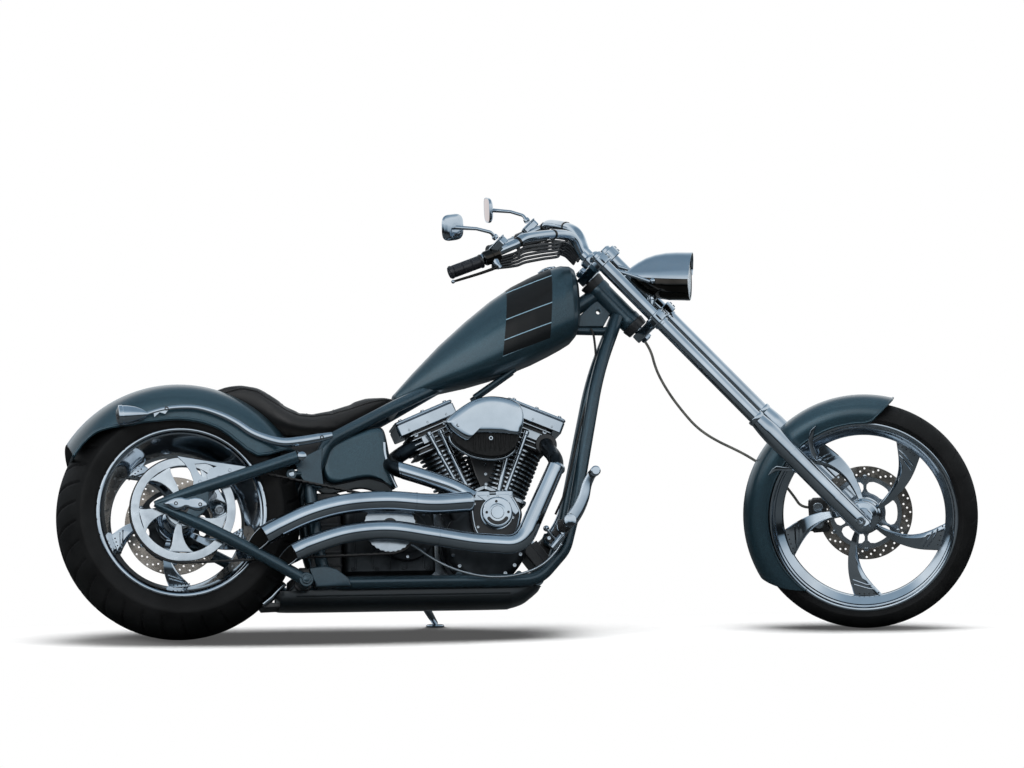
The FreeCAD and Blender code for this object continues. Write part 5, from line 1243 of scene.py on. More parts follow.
def makeCases():
    shape, across = Shape(), Vector((0, 1, 0))
    crank, r = Vector(engine["crank"]), engine["caseRadius"]
    shape.revolve([(-80, 0), (-80, r - 22), (-72, r - 8), (-64, r), (-4, r), (-3, r + 2), (3, r + 2), (4, r),
                   (64, r), (72, r - 8), (80, r - 22), (80, 0)], castAlloy, crank, across, 72)
    for bank in (-1, 1):
        axes = bankAxes(bank)
        shape.loft(boxRings(crank, axes, 64, 74, *cases["deck"], 14, 4), castAlloy)
        shape.loft(boxRings(crank, axes, 70, 78, cases["deck"][1] - 12, cases["deck"][1], 16, 2),
                   polishedAlloy)
    for at in ringPoints((0, -74, 0), r - 14, range(200, 380, 20)):
        shape.bolt(crank + at, -across, 6, 7, polishedAlloy)
        at.y = 74
        shape.bolt(crank + at, across, 6, 7, polishedAlloy)
    shape.make("crankcase", "chassis", "cast_aluminium", ["engine_case"])

    box, shape = cases["gearbox"], Shape()
    middle, (halfX, halfY, halfZ) = Vector(box["at"]), box["half"]
    shape.loft(boxRings(middle, upright, halfX, halfY, -halfZ, halfZ, 22, 10), castAlloy)
    for k in range(5):
        x = -halfX + 34 + 50 * k
        shape.loft(boxRings(middle + upright[0] * x, upright, 3, halfY + 1.5, -halfZ + 16, halfZ - 16, 2,
                            1), castAlloy)
    shape.revolve([(-2, 0), (-2, 84), (10, 84), (14, 80), (14, 62), (17, 58), (17, 0)], castAlloy,
                  (cases["drivePulley"][0] + 60, -halfY + 4, cases["drivePulley"][1] - 6), (0, -1, 0), 56)
    for at in ringPoints((660, -halfY - 9, 294), 72, range(0, 360, 45)):
        shape.bolt(at, (0, -1, 0), 5, 5, polishedAlloy)
    for x in (-110, -40, 40, 110):
        shape.bolt(middle + Vector((x, -halfY + 2, -halfZ + 18)), (0, -1, 0), 6, 7, castAlloy)
    shape.make("gearCase", "chassis", "cast_aluminium", ["transmission"])

    part, shape = cases["primary"], Shape()
    front, back = crank, Vector((cases["drivePulley"][0], 0, cases["drivePulley"][1]))
    run = (front - back).normalized()
    start = math.atan2(run.z, run.x)

    def oval(radius, side):
        points = []
        for centre, turn in ((front, start - math.pi / 2), (back, start + math.pi / 2)):
            for k in range(25):
                angle = turn + math.pi * k / 24
                points.append(Vector((centre.x + radius * math.cos(angle), side,
                                      centre.z + radius * math.sin(angle))))
        return points
    r, outer = part["radius"], part["outer"]
    rings = [oval(size, side) for size, side in (
        (r - 2, part["inner"] + 2), (r, part["inner"] + 6), (r, outer - 34), (r - 5, outer - 20),
        (r - 16, outer - 8), (r - 30, outer - 3), (r - 34, outer - 1.5), (r - 36, outer), (r - 60, outer))]
    shape.loft(rings, polishedAlloy)
    for at in oval(r - 9, outer - 14)[::4]:
        shape.bolt(at, across, 5, 5, chrome)
    for centre, radius in ((front, 42), (back, 46)):
        shape.revolve([(-3, 0), (-3, radius), (3, radius), (5, radius - 3), (5, radius - 12),
                       (2.5, radius - 15), (2.5, 0)], chrome, (centre.x, outer - 3, centre.z), across, 56)
        for at in ringPoints((centre.x, outer + 1, centre.z), radius - 7, range(0, 360, 72)):
            shape.bolt(at, across, 3.4, 3, polishedAlloy)
    shape.make("primaryDriveCover", "chassis", "cast_aluminium", ["primary_cover"])


makeCases()

# ---- cam cover with its round cap, tappets, pushrod tubes
cam = {
    "case": [(848, 330), (846, 372), (856, 398), (884, 409), (920, 412), (962, 410), (978, 396), (1000, 350),
             (996, 318), (985, 284), (955, 258), (915, 250), (878, 262), (856, 292)],
    "cap": (925, 345), "capRadius": 46,
    "rods": [((828, 402), (732, 588)), ((850, 402), (768, 594)), ((932, 402), (980, 584)),
             ((952, 402), (1024, 588))],
}


def makeCamSide():
    shape, across = Shape(), Vector((0, -1, 0))
    path = closedPath(cam["case"])
    middle = sum(path, Vector()) / len(path)
    shape.loft(outlineRings(path, middle, ((-80, 1.0), (-96, 1.0), (-99, 0.97), (-100, 0.93), (-100, 0.5))),
               blackEnamel)
    shape.loft(outlineRings(path, middle, ((-99, 0.93), (-104, 0.93), (-105.5, 0.915), (-105.5, 0.885),
                                           (-104, 0.87), (-99, 0.87))), chrome, capped=False)
    for x, z in ((852, 378), (980, 330), (966, 392), (862, 300), (960, 268), (905, 258)):
        shape.bolt((x + (middle.x - x) * 0.12, -99, z + (middle.z - z) * 0.12), across, 4.5, 5, polishedAlloy)
    flange = [(868, 398), (962, 400), (978, 376), (992, 350), (980, 338), (966, 352), (952, 372), (925, 384),
              (898, 376)]
    shape.plate(flange, [], 8, chrome, (0, -104, 0), edge=2)
    x, z = cam["cap"]
    r = cam["capRadius"]
    shape.revolve([(100, 0), (100, r + 2), (107, r + 2), (107, r), (120, r), (123, r - 2), (124.5, r - 6),
                   (124.5, 27), (123.4, 25), (123.4, 19.5), (125, 18), (125, 0)], chrome, (x, 0, z), across,
                   72)
    for at in ringPoints((x, -124, z), 32, (95, 180, 0)):
        shape.bolt(at, across, 4, 2.5, blackEnamel)
    slot = kidney(26, 37, math.radians(215), math.radians(325))
    shape.plate(slot, [], 3, blackEnamel, (x, -124, z))
    # tappet blocks under each pair of tubes
    for k in range(-1, 2, 2):
        foot = Vector((915 + 34 * k, -93, 396))
        shape.loft(boxRings(foot, upright, 27, 13, -14, 14, 6, 2), chrome)
        for j in (-1, 1):
            shape.bolt(foot + Vector((20 * j, -11, -2)), across, 4, 4, polishedAlloy)
    shape.make("camCoverAndTappets", "chassis", "chrome", ["cam_cover"])
    tubes = Shape()
    for (footX, footZ), (topX, topZ) in cam["rods"]:
        foot, top = Vector((footX, -93, footZ)), Vector((topX, -90, topZ))
        axis, span = (top - foot).normalized(), (top - foot).length
        tubes.revolve([(0, 0), (0, 10), (7, 10), (9, 8), (12, 6.5), (span * 0.62, 6.5), (span * 0.63, 8.5),
                       (span * 0.68, 8.5), (span * 0.69, 7.2), (span - 12, 7.2), (span - 10, 9), (span, 9),
                       (span, 0)], chrome, foot, axis, 28)
    tubes.make("pushrodSleeves", "chassis", "chrome", ["pushrod_tubes"])


makeCamSide()

# ---- air cleaner: a polished teardrop shell over a mesh filter, and the carburettor behind it
cleaner = {
    "shell": [(772, 604), (784, 620), (816, 646), (859, 671), (906, 681), (958, 675), (992, 658), (1004, 634),
              (1004, 602), (998, 578), (988, 562), (945, 566), (896, 569), (852, 567), (840, 555), (831, 547),
              (808, 560), (784, 582)],
    "filter": [(792, 598), (812, 632), (859, 658), (906, 668), (958, 662), (990, 640), (990, 560), (976, 526),
               (945, 505), (903, 500), (852, 510), (815, 530), (794, 552)],
    "lip": [(786, 566), (792, 548), (815, 527), (852, 507), (903, 497), (947, 502), (974, 520), (984, 544)],
}
# woven steel gauze: a dark rough hollow behind the bright cover
meshSteel = grained("wovenFilterSteel", {
    "dark": "#050606", "light": "#101112", "grain": 0.003, "patch": 0.01, "rough": 0.5, "roughest": 0.7,
    "metallic": 0.6, "bump": 0.5})


def makeIntake():
    shape = Shape()
    middle = Vector((900, 0, 612))
    steps = ((-150, 0.97), (-152, 0.995), (-166, 1.0), (-176, 0.985), (-183, 0.94), (-187, 0.86),
             (-189, 0.72), (-189.8, 0.5), (-190, 0.2))
    shape.loft(outlineRings(closedPath(cleaner["shell"]), middle, steps), chrome)
    shape.revolve([(-8, 0), (-8, 9), (0, 9), (1.5, 7.5), (1.5, 6)], polishedAlloy, (809, -186, 594),
                  (0, -1, 0), 28)
    shape.bolt((809, -185, 594), (0, -1, 0), 6, 3.5, blackEnamel)
    shape.sweep(smoothed([(x, -152, z) for x, z in cleaner["lip"]], 5), 4.5, chrome, sides=14)
    shape.plate([(794, 560), (846, 512), (903, 500), (974, 520), (984, 560)], [], 5, blackEnamel,
                (0, -146, 0))
    steps = ((-128, 0.9), (-132, 1.0), (-172, 1.0), (-176, 0.96))
    shape.loft(outlineRings(closedPath(cleaner["filter"]), middle, steps), meshSteel)
    # pleats of the filter
    for k in range(9):
        x = 856 + 15 * k
        shape.sweep([(x, -176, 572), (x, -177.5, 548), (x + 1, -176, 520)], 2.6, meshSteel, sides=8)
    shape.bolt((905, -172, 556), (0, -1, 0), 7, 8, chrome)
    shape.make("airCleanerShell", "chassis", "chrome", ["air_cleaner"])
    carb = Shape()
    carb.revolve([(30, 0), (30, 30), (46, 30), (48, 24), (70, 24), (72, 34), (104, 34), (108, 40), (126, 40),
                  (128, 36), (128, 0)], castAlloy, (895, 0, 600), (0, -1, 0), 48)
    carb.loft(boxRings(Vector((895, -88, 600)), upright, 26, 24, -62, -20, 10, 5), castAlloy)
    carb.sweep(smoothed([(812, -18, 598), (845, -24, 604), (895, -30, 604), (945, -24, 604), (978, -18, 598)],
                        4), 24, polishedAlloy)
    carb.plate([(858, 528), (948, 528), (936, 470), (912, 412), (898, 412), (874, 470)], [], 70, blackEnamel,
               (0, 0, 0), edge=4)
    for z in (440, 470, 500):
        carb.bolt((905, -36, z), (0, -1, 0), 5, 5, polishedAlloy)
    carb.make("carburettorBody", "chassis", "chrome", ["carburettor"])


makeIntake()

# ---- exhaust: two drag pipes, slash cut and open at the back
pipes = {
    "plane": -222,
    "upper": [(224, 270), (278, 298), (367, 336), (470, 361), (592, 368), (719, 358), (824, 362)],
    "lower": [(308, 219), (362, 243), (470, 275), (590, 284), (714, 266), (836, 245), (900, 240)],
    "front": [(978, -222, 233), (1090, -210, 466)],
    "elbow": [(724, -48, 566), (672, -56, 540), (632, -76, 512), (614, -112, 492), (628, -146, 474),
              (652, -160, 462)],
    "header": [(640, -154, 468), (720, -182, 437), (790, -200, 408), (842, -212, 376)],
    "rise": [(1088, -211, 452), (1092, -192, 482), (1090, -150, 508), (1084, -100, 532), (1082, -72, 550)],
    "radius": 30, "wall": 2, "slash": 1.8, "seams": [(673, 30), (738, 28)],
}


def makePipes():
    shape, plane = Shape(), pipes["plane"]
    up = (0, -0.83, 0.55)
    # inside of the pipe: matt and nearly black
    bore = grained("darkPipeBore", {
        "dark": "#020202", "light": "#070605", "grain": 0.002, "patch": 0.03, "rough": 0.7, "roughest": 0.9,
        "metallic": 0.0, "bump": 0.3, "shine": 0.1})
    # plated steel, dark: blue grey with a soft reflection, darker than the chrome
    darkPlatedSteel = platedMetal("darkPlatedSteelFinish", {
        "bright": "#2a3238", "dull": "#15191c", "haze": 0.05, "wipe": 0.02, "rough": 0.25, "roughest": 0.4,
        "ripple": 0.0002})
    lower = smoothed([(x, plane, z) for x, z in pipes["lower"]], 8)
    runs = ((smoothed([(x, plane, z) for x, z in pipes["upper"]], 8), pipes["radius"]),
            (lower[:-4] + bent([lower[-4]] + pipes["front"], 90, 12)[1:], pipes["radius"] - 2))
    for path, radius in runs:
        taper = [radius - (3 * max(0, (p.z - 300) / 166) if radius < 30 else 0) for p in path]
        shape.sweep(path, taper, chrome, sides=48, up=up, capped=False, slash=(pipes["slash"], 0))
        inside, mouth = radius - pipes["wall"], path[:14]
        mouth[0] = path[0] + (path[0] - path[1]).normalized() * 0.2
        shape.sweep(mouth, inside, bore, sides=48, up=up, slash=(pipes["slash"], 0))
        tangent = (path[1] - path[0]).normalized()
        normal = Vector(up) - tangent * tangent.dot(Vector(up))
        side, lip = tangent.cross(normal), []
        for i in range(48):
            u, v = math.cos(math.tau * i / 48), math.sin(math.tau * i / 48)
            slant = tangent * pipes["slash"] * v * radius
            lip.append(path[0] + (side * u + normal * v) * (radius - 1) + slant)
        shape.sweep(lip, 1.3, chrome, sides=8, looped=True)
    for place, radius in pipes["seams"]:
        path = runs[0][0] if radius == 30 else runs[1][0]
        near = min(range(1, len(path) - 1), key=lambda i: abs(path[i].x - place))
        axis = (path[near + 1] - path[near - 1]).normalized()
        at = path[near] + axis * ((place - path[near].x) / axis.x)
        shape.revolve([(-3.2, radius - 1), (-2.6, radius + 0.9), (-0.6, radius + 0.9), (0, radius - 0.6),
                       (0.6, radius + 0.9), (2.6, radius + 0.9), (3.2, radius - 1)], chrome, at, axis, 48)
    header = smoothed(pipes["header"], 6)
    shape.sweep(header, 23.5, chrome, sides=36, slash=(-0.5, 0))
    shape.sweep(smoothed(pipes["elbow"], 6), 22, darkPlatedSteel, sides=32)
    rise = smoothed(pipes["rise"], 6)
    shape.sweep(rise, 22, darkPlatedSteel, sides=32)
    axis = (rise[3] - rise[0]).normalized()
    shape.revolve([(-10, 23.5), (-8, 26.6), (-2, 26.6), (3, 24), (6, 21)], chrome, rise[2], axis, 40)
    upperEnd = Vector((824, plane, 362))
    shape.revolve([(-6, 29), (0, 31), (10, 29), (16, 24), (19, 14), (20, 0)], chrome, upperEnd,
                  (upperEnd - Vector((719, plane, 354))), 40)
    for port in ((724, -50, 566), (1082, -75, 550)):
        shape.revolve([(-5, 0), (-5, 32), (4, 32), (6, 30), (6, 0)], blackEnamel, port, (0, -1, 0), 36)
    shape.make("dragPipes", "chassis", "chrome", ["exhaust_pipes"])


makePipes()
print("engine and exhaust made")

# ---- frame: bent tubes from the neck under the engine and back up to the tank
frameParts = {
    "rail": [(770, 22, 735), (640, 90, 668), (430, 125, 560), (375, 125, 430), (392, 125, 250),
             (420, 115, 145), (1040, 115, 145), (1122, 110, 235), (1155, 105, 351), (1247, 58, 770),
             (1318, 20, 940)],
    "tube": 19, "backbone": [(1292, 0, 1032), (1200, 0, 972), (1110, 0, 905), (745, 0, 727)],
    "neckFrom": 868, "neckTo": 1062,
    "gusset": [(330, 497), (353, 509), (413, 539), (408, 481), (414, 418), (390, 421), (358, 436),
               (339, 468)],
    "pivotCase": [(364, 186), (382, 190), (414, 194), (447, 182), (480, 155), (486, 132), (384, 130)],
    "pivotLug": [(326, 178), (338, 188), (356, 188), (368, 178), (372, 130), (362, 122), (330, 122),
                 (322, 134)],
    "web": [(1200, 912), (1276, 912), (1322, 990), (1296, 1002), (1252, 988), (1206, 946)],
    "webHole": (1262, 956),
    "ties": [(640, 90, 668, 16), (425, 115, 145, 16), (1040, 115, 145, 16), (392, 125, 430, 14)],
}


def makeFrame():
    shape, r = Shape(), frameParts["tube"]
    for side in (1, -1):
        rail = [(x, side * y, z) for x, y, z in frameParts["rail"]]
        shape.sweep(bent(rail, [95] * 8 + [1100], 10), r, framePaint, sides=28)
        shape.plate(frameParts["gusset"], [], 9, framePaint, (0, side * 148, 0), edge=2.5)
        for x, z in ((372, 505), (396, 452)):
            shape.sweep([(x, side * 146, z), (x - 2, side * 122, z)], 9, framePaint, sides=16)
        shape.plate(frameParts["pivotCase"], [], 40, framePaint, (0, side * 127, 0), edge=5)
        shape.plate(frameParts["pivotLug"], [], 30, blackEnamel, (0, side * 127, 0), edge=5)
        shape.revolve([(0, 10), (0, 14), (2, 15.5), (14, 15.5), (16, 14), (16, 0)], framePaint,
                      (320, side * 138, 461), (0, side, 0), 32)
        shape.revolve([(15, 0), (15, 8), (17, 8.5), (21, 7.5), (22, 0)], chrome, (320, side * 138, 461),
                      (0, side, 0), 24)
        shape.sweep([(320, side * 144, 461), (350, side * 144, 463)], 10, framePaint, sides=20)
        shape.revolve([(-2, 17), (0, 21), (24, 21), (27, 18), (27, 0)], framePaint, (1112, side * 112, 294),
                      (0, side, 0), 36)
    for x, half, z, radius in frameParts["ties"]:
        shape.sweep([(x, -half, z), (x, half, z)], radius, framePaint, sides=28)
    for turn in (-48, -132):
        turn = math.radians(turn)
        x, z = 895 + 132 * math.cos(turn), 262 + 132 * math.sin(turn)
        shape.sweep([(x, -115, z), (x, 115, z)], 9, framePaint, sides=20)
    shape.sweep(bent(frameParts["backbone"], 300, 10), 22, framePaint, sides=32)
    shape.sweep(bent([(1190, 0, 903), (1282, 0, 900), (1318, 0, 912)], 30), 13, framePaint, sides=24)
    shape.plate(frameParts["web"], [circleHole(*frameParts["webHole"], 6)], 26, framePaint, (0, 0, 0), edge=4)
    low, high = frameParts["neckFrom"], frameParts["neckTo"]
    foot = forkPoint(0, 0)
    shape.revolve([(low + 22, 0), (low + 22, 33), (low + 26, 35), (low + 40, 35), (low + 46, 32.5),
                   (high - 46, 32.5), (high - 40, 35), (high - 24, 35), (high - 20, 33), (high - 20, 0)],
                  framePaint, foot, steerUp, 48)
    for start, end in ((low - 4.2, low + 23), (high - 22, high + 5.2)):
        shape.revolve([(start, 0), (start, 31), (start + 2, 34), (end - 6, 37), (end - 2, 37), (end, 34),
                       (end, 0)], blackEnamel, foot, steerUp, 48)
    # electrics box ahead of the rear wheel, and the engine stays under the tank
    shape.loft(boxRings(Vector((432, 0, 290)), upright, 38, 78, -135, 125, 10, 6), blackEnamel)
    for z in (200, 240, 280, 320, 360):
        shape.loft(boxRings(Vector((432, 0, z)), upright, 40, 80, -4, 4, 10, 2), blackEnamel)
    for side in (1, -1):
        shape.sweep([(880, side * 34, 700), (1003, side * 30, 784)], 9, framePaint, sides=20)
    # black plates behind the fender stays: painted shade filling the gap under the saddle in front of the
    # fender
    for side in (1, -1):
        shape.plate([(296, 574), (446, 590), (436, 516), (296, 504)], [], 6, blackEnamel, (0, side * 84, 0),
                    edge=2)
    # rectifier with cooling fins between the down tubes
    leaning = (Vector((0.8, 0, 0.6)), upright[1], Vector((-0.6, 0, 0.8)))
    for k in range(9):
        shape.loft(boxRings(Vector((1052, -56 + 14 * k, 218)), leaning, 26, 3, -40, 44, 2, 1), blackEnamel)
    shape.loft(boxRings(Vector((1044, 0, 212)), leaning, 16, 62, -44, 48, 4, 2), blackEnamel)
    # two ears and the pin that carry the side stand
    for start, end in standEars:
        shape.revolve([(0, 0), (0, 14.5), (1, 15), (7, 15), (8, 14.5), (8, 0)], framePaint, start,
                      end - start, 32)
        middle = (start + end) / 2
        shape.sweep([middle, middle + earArm], 3.8, framePaint, sides=12)
    shape.sweep([standEars[0][0], standEars[1][0]], 5, polishedAlloy, sides=16)
    shape.make("frameTubing", "chassis", "frame_paint", ["frame"])


def standGeometry():
    # the hinge of the side stand, and the corners of the stand it has to match
    toBike = chassisSpace.inverted()
    axis = (toBike.to_3x3() @ Vector(joints["side_stand_fold"]["axis"])).normalized()
    stand = frame["nodes"]["side_stand"]
    toBike = toBike @ stand.matrix_world
    return axis, Vector((720, 162, 138)), [toBike @ corner.co for corner in stand.data.vertices]


hinge, standPivot, standPoints = standGeometry()
gapHalf = 8.3
standEars = [(standPivot + hinge * gapHalf, standPivot + hinge * (gapHalf + 8)),
             (standPivot - hinge * gapHalf, standPivot - hinge * (gapHalf + 8))]
earArm = Vector((0, -hinge.z, hinge.y)).normalized() * 50
makeFrame()


# ---- side stand, folded out on the left
def makeStand():
    shape = Shape()
    worldUp = (chassisSpace.inverted().to_3x3() @ Vector((0, 0, 1))).normalized()
    pad = [p for p in standPoints if (chassisSpace @ p).z < 0.0095]
    footCentre = sum(pad, Vector()) / len(pad)
    footCentre -= worldUp * ((chassisSpace @ footCentre).z * 1000 - 0.05)
    ankle = footCentre + worldUp * 12.5
    down = (ankle - standPivot).normalized()
    side = hinge.cross(down)
    shape.revolve([(-8, 5.4), (-8, 14), (-7, 15), (7, 15), (8, 14), (8, 5.4)], chrome, standPivot, hinge, 36)
    length = (ankle - standPivot).length
    path = [standPivot + down * (14 + (length - 14) * t / 12) for t in range(13)]
    sizes = [9, 10.2] + [10.8] * 6 + [10.5, 10, 9.4, 8.8, 8.5]
    shape.sweep(path, sizes, chrome, sides=24, up=hinge)
    shape.revolve([(0, 0), (0, 24), (1.5, 27), (6, 27), (8, 24.5), (9, 14), (9, 0)], chrome, footCentre,
                  worldUp, 40)
    shape.sweep([standPivot + down * 40 + side * 12, standPivot + down * 46 + side * 24,
                 standPivot + down * 52 + side * 25], 3, chrome, sides=12)
    shape.make("sideStandLeg", "side_stand", "chrome", ["side_stand"])


makeStand()

# ---- swingarm, belt guard and axle covers
swing = {
    "plane": 209, "tube": 18, "tail": (-84, 371), "upper": (332, 503), "pivot": (348, 143),
    "plate": [(-80, 371), (-30, 387), (10, 400), (50, 414), (74, 419), (72, 372), (60, 346), (30, 322),
              (-30, 344)],
    "guard": [(-16, 156), (60, 142), (185, 122), (176, 113), (135, 97), (104, 95), (88, 86), (64, 62),
              (28, 60), (31, 82), (22, 110), (6, 134)],
    "guardHole": [(80, 116), (98, 124), (66, 133), (36, 131), (40, 118), (48, 104), (60, 92), (72, 88),
                  (70, 100)],
    "leaf": [(-60, 13), (-32, 27), (-10, 30), (2, 27), (18, 26), (36, 29), (56, 22), (65, 7), (54, -6),
             (34, -8), (18, -2), (2, 1), (-12, -5), (-28, -7), (-44, 2)],
    "leafSteps": [(217, 0.96), (218, 1.0), (225, 1.0), (228, 0.93), (229.5, 0.75), (230, 0.4)],
}


def makeSwingarm():
    shape, r = Shape(), swing["tube"]
    axleZ = bike["rearAxleHeight"]
    for side in (1, -1):
        plane = side * swing["plane"]
        tail, upper, pivot = [Vector((x, plane, z)) for x, z in map(swing.get, ("tail", "upper", "pivot"))]
        steps = [k / 10 for k in range(11)]
        sizes = [r * min(1, 0.45 + 2.2 * t) for t in steps]
        shape.sweep([tail.lerp(upper, t) for t in steps], sizes, framePaint, sides=28)
        bow = Vector((0, 0, 9))
        shape.sweep([tail.lerp(pivot, t) + bow * math.sin(math.pi * t) for t in steps], sizes, framePaint,
                    sides=28)
        end = upper + (upper - tail).normalized() * 4
        shape.sweep([end, end + (upper - tail).normalized() * 9], [r, r * 0.6], framePaint, sides=28)
        shape.plate(swing["plate"], [circleHole(0, axleZ, 13.5, 32)], 18, framePaint, (0, plane, 0), edge=3)
        shape.sweep([upper + Vector((13, -side * 75, 0)), upper + Vector((13, side * 14, 0))], 9, chrome,
                    sides=20)
        shape.bolt(upper + Vector((13, side * 13, 0)), (0, side, 0), 13, 8, chrome, domed=True)
        shape.revolve([(-17, 0), (-17, 19), (-15, 21), (15, 21), (17, 19), (17, 0)], framePaint, pivot,
                      (0, 1, 0), 36)
    shape.sweep([(348, -209, 143), (348, 209, 143)], 20, framePaint, sides=32)
    shape.make("swingarmTubes", "chassis", "frame_paint", ["swingarm"])

    guard = Shape()
    outline = [(x, z + axleZ) for x, z in swing["guard"]]
    hole = [(x, z + axleZ) for x, z in swing["guardHole"]]
    guard.plate(outline, [hole], 4, chrome, (0, -191, 0), edge=1.2)
    for x, z in ((137, 112), (50, 80)):
        guard.bolt((x, -193, z + axleZ), (0, -1, 0), 5, 3.5, chrome)
        guard.sweep([(x, -190, z + axleZ), (x, -178, z + axleZ)], 5, chrome, sides=16)
    guard.make("beltGuardPlate", "chassis", "chrome")

    leaf = Shape()
    for side in (1, -1):
        path = closedPath([(x, z + axleZ) for x, z in swing["leaf"]])
        rows = [(side * out, scale) for out, scale in swing["leafSteps"]]
        leaf.loft(outlineRings(path, Vector((4, 0, 14 + axleZ)), rows), chrome)
        for x, z in ((-24, 12), (46, 8)):
            leaf.bolt((x, side * 226.5, z + axleZ), (0, side, 0), 6, 4, blackEnamel)
    leaf.make("axleCoverLeaves", "chassis", "chrome")


makeSwingarm()

# ---- axles, pivot bolt, calipers
def hexNut(shape, at, axis, radius, height, finish):
    axis = Vector(axis).normalized()
    side = axis.orthogonal().normalized()
    other = axis.cross(side)
    rings = [[Vector(at) + axis * along + side * u + other * v for u, v in around(6, size)]
             for along, size in ((0, radius * 0.94), (1.2, radius), (height - 1.5, radius),
                                 (height, radius * 0.9))]
    shape.loft(rings, finish)
    shape.revolve([(height - 1, 0), (height - 1, radius * 0.55), (height + 1.6, radius * 0.55),
                   (height + 2.4, radius * 0.45), (height + 2.4, 0)], finish, at, axis, 24)


def makeAxles():
    shape = Shape()
    shape.revolve([(-205, 8.2), (-205, 12.3), (205, 12.3), (205, 8.2)], polishedAlloy, (0, 0, 357), (0, 1, 0),
                  32, closed=True)
    for side in (1, -1):
        shape.revolve([(202, 8.2), (202, 19.5), (215, 19.5), (217, 18), (217, 8.2)], blackEnamel, (0, 0, 357),
                      (0, side, 0), 6, closed=True)
    shape.make("rearAxleBar", "chassis", "chrome", ["rear_axle"])
    shape = Shape()
    shape.sweep([(348, -226, 143), (348, 226, 143)], 10, polishedAlloy, sides=24)
    for side in (1, -1):
        hexNut(shape, (348, side * 226, 143), (0, side, 0), 14.5, 9, framePaint)
    shape.make("swingarmPivotBolt", "chassis", "chrome", ["swingarm_pivot"])


makeAxles()


def makeCaliper(name, body, slotName, centre, angle, inner, outer, disc, node, finish):
    # two halves bolted together over the disc's rim, with pistons and pads
    angle = math.radians(angle)
    out, along = Vector((math.cos(angle), 0, math.sin(angle))), Vector((-math.sin(angle), 0, math.cos(angle)))
    outline = [(-31, -40), (-24, -50), (18, -51), (31, -38), (31, 38), (18, 51), (-24, 50), (-31, 40),
               (-22, 22), (-22, -22)]
    shape, middle = Shape(), centre + out * 138
    for low, high in ((inner, disc - 7.6), (disc + 7.6, outer)):
        at = middle.copy()
        at.y = (low + high) / 2
        shape.plate(outline, [], high - low, finish, at, out, along, edge=3)
        face, way = (low, -1) if low == inner else (high, 1)
        for k in (-1, 1):
            spot = middle + along * (24 * k) + out * 2
            spot.y = face + way * -0.6
            shape.revolve([(-0.5, 0), (-0.5, 15), (1.5, 15), (2.2, 13.5), (2.2, 9), (0.8, 8), (0.8, 0)],
                          polishedAlloy, spot, (0, way, 0), 32)
    for k in (-1, 1):
        bridge = middle + out * 26 + along * (36 * k)
        shape.loft([[bridge + out * u + along * v + Vector((0, side - centre.y, 0)) for u, v in
                     ((-5, -10), (4, -10), (4, 10), (-5, 10))] for side in (inner + 2, outer - 2)], finish)
        spot = bridge - out
        spot.y = outer
        shape.bolt(spot, (0, 1, 0), 4.5, 0.1, chrome)
    for y in (disc - 7.6, disc + 7.6):
        pad = middle - out * 2
        pad.y = y + (2.4 if y < disc else -2.4)
        shape.plate([(-16, -30), (14, -34), (14, 34), (-16, 30)], [], 4, blackEnamel, pad, out, along,
                    edge=0.6)
    shape.make(name, body, slotName, [node])


makeCaliper("rearBrakeCaliper", "chassis", "chrome", Vector((0, 0, 357)), 28, 152, 191, 166,
            "rear_caliper", chrome)

print("frame, swingarm and stand made")

# ---- drive belt with moulded teeth
belt = {"plane": -171, "width": 28, "front": (600, 300, 76), "rear": (0, 357, 133)}


def beltLoop(extra):
    # the outside tangent loop round the two pulleys
    (x1, z1, r1), (x2, z2, r2) = belt["front"], belt["rear"]
    span, lean = math.hypot(x2 - x1, z2 - z1), math.atan2(z2 - z1, x2 - x1)
    offset = math.acos((r1 - r2) / span)
    r1, r2, points = r1 + extra, r2 + extra, []
    start, end = lean + offset, lean - offset + math.tau
    for k in range(25):
        turn = start + (end - start) * k / 24
        points.append((x1 + r1 * math.cos(turn), z1 + r1 * math.sin(turn)))
    start, end = lean - offset, lean + offset
    for k in range(37):
        turn = start + (end - start) * k / 36
        points.append((x2 + r2 * math.cos(turn), z2 + r2 * math.sin(turn)))
    return points


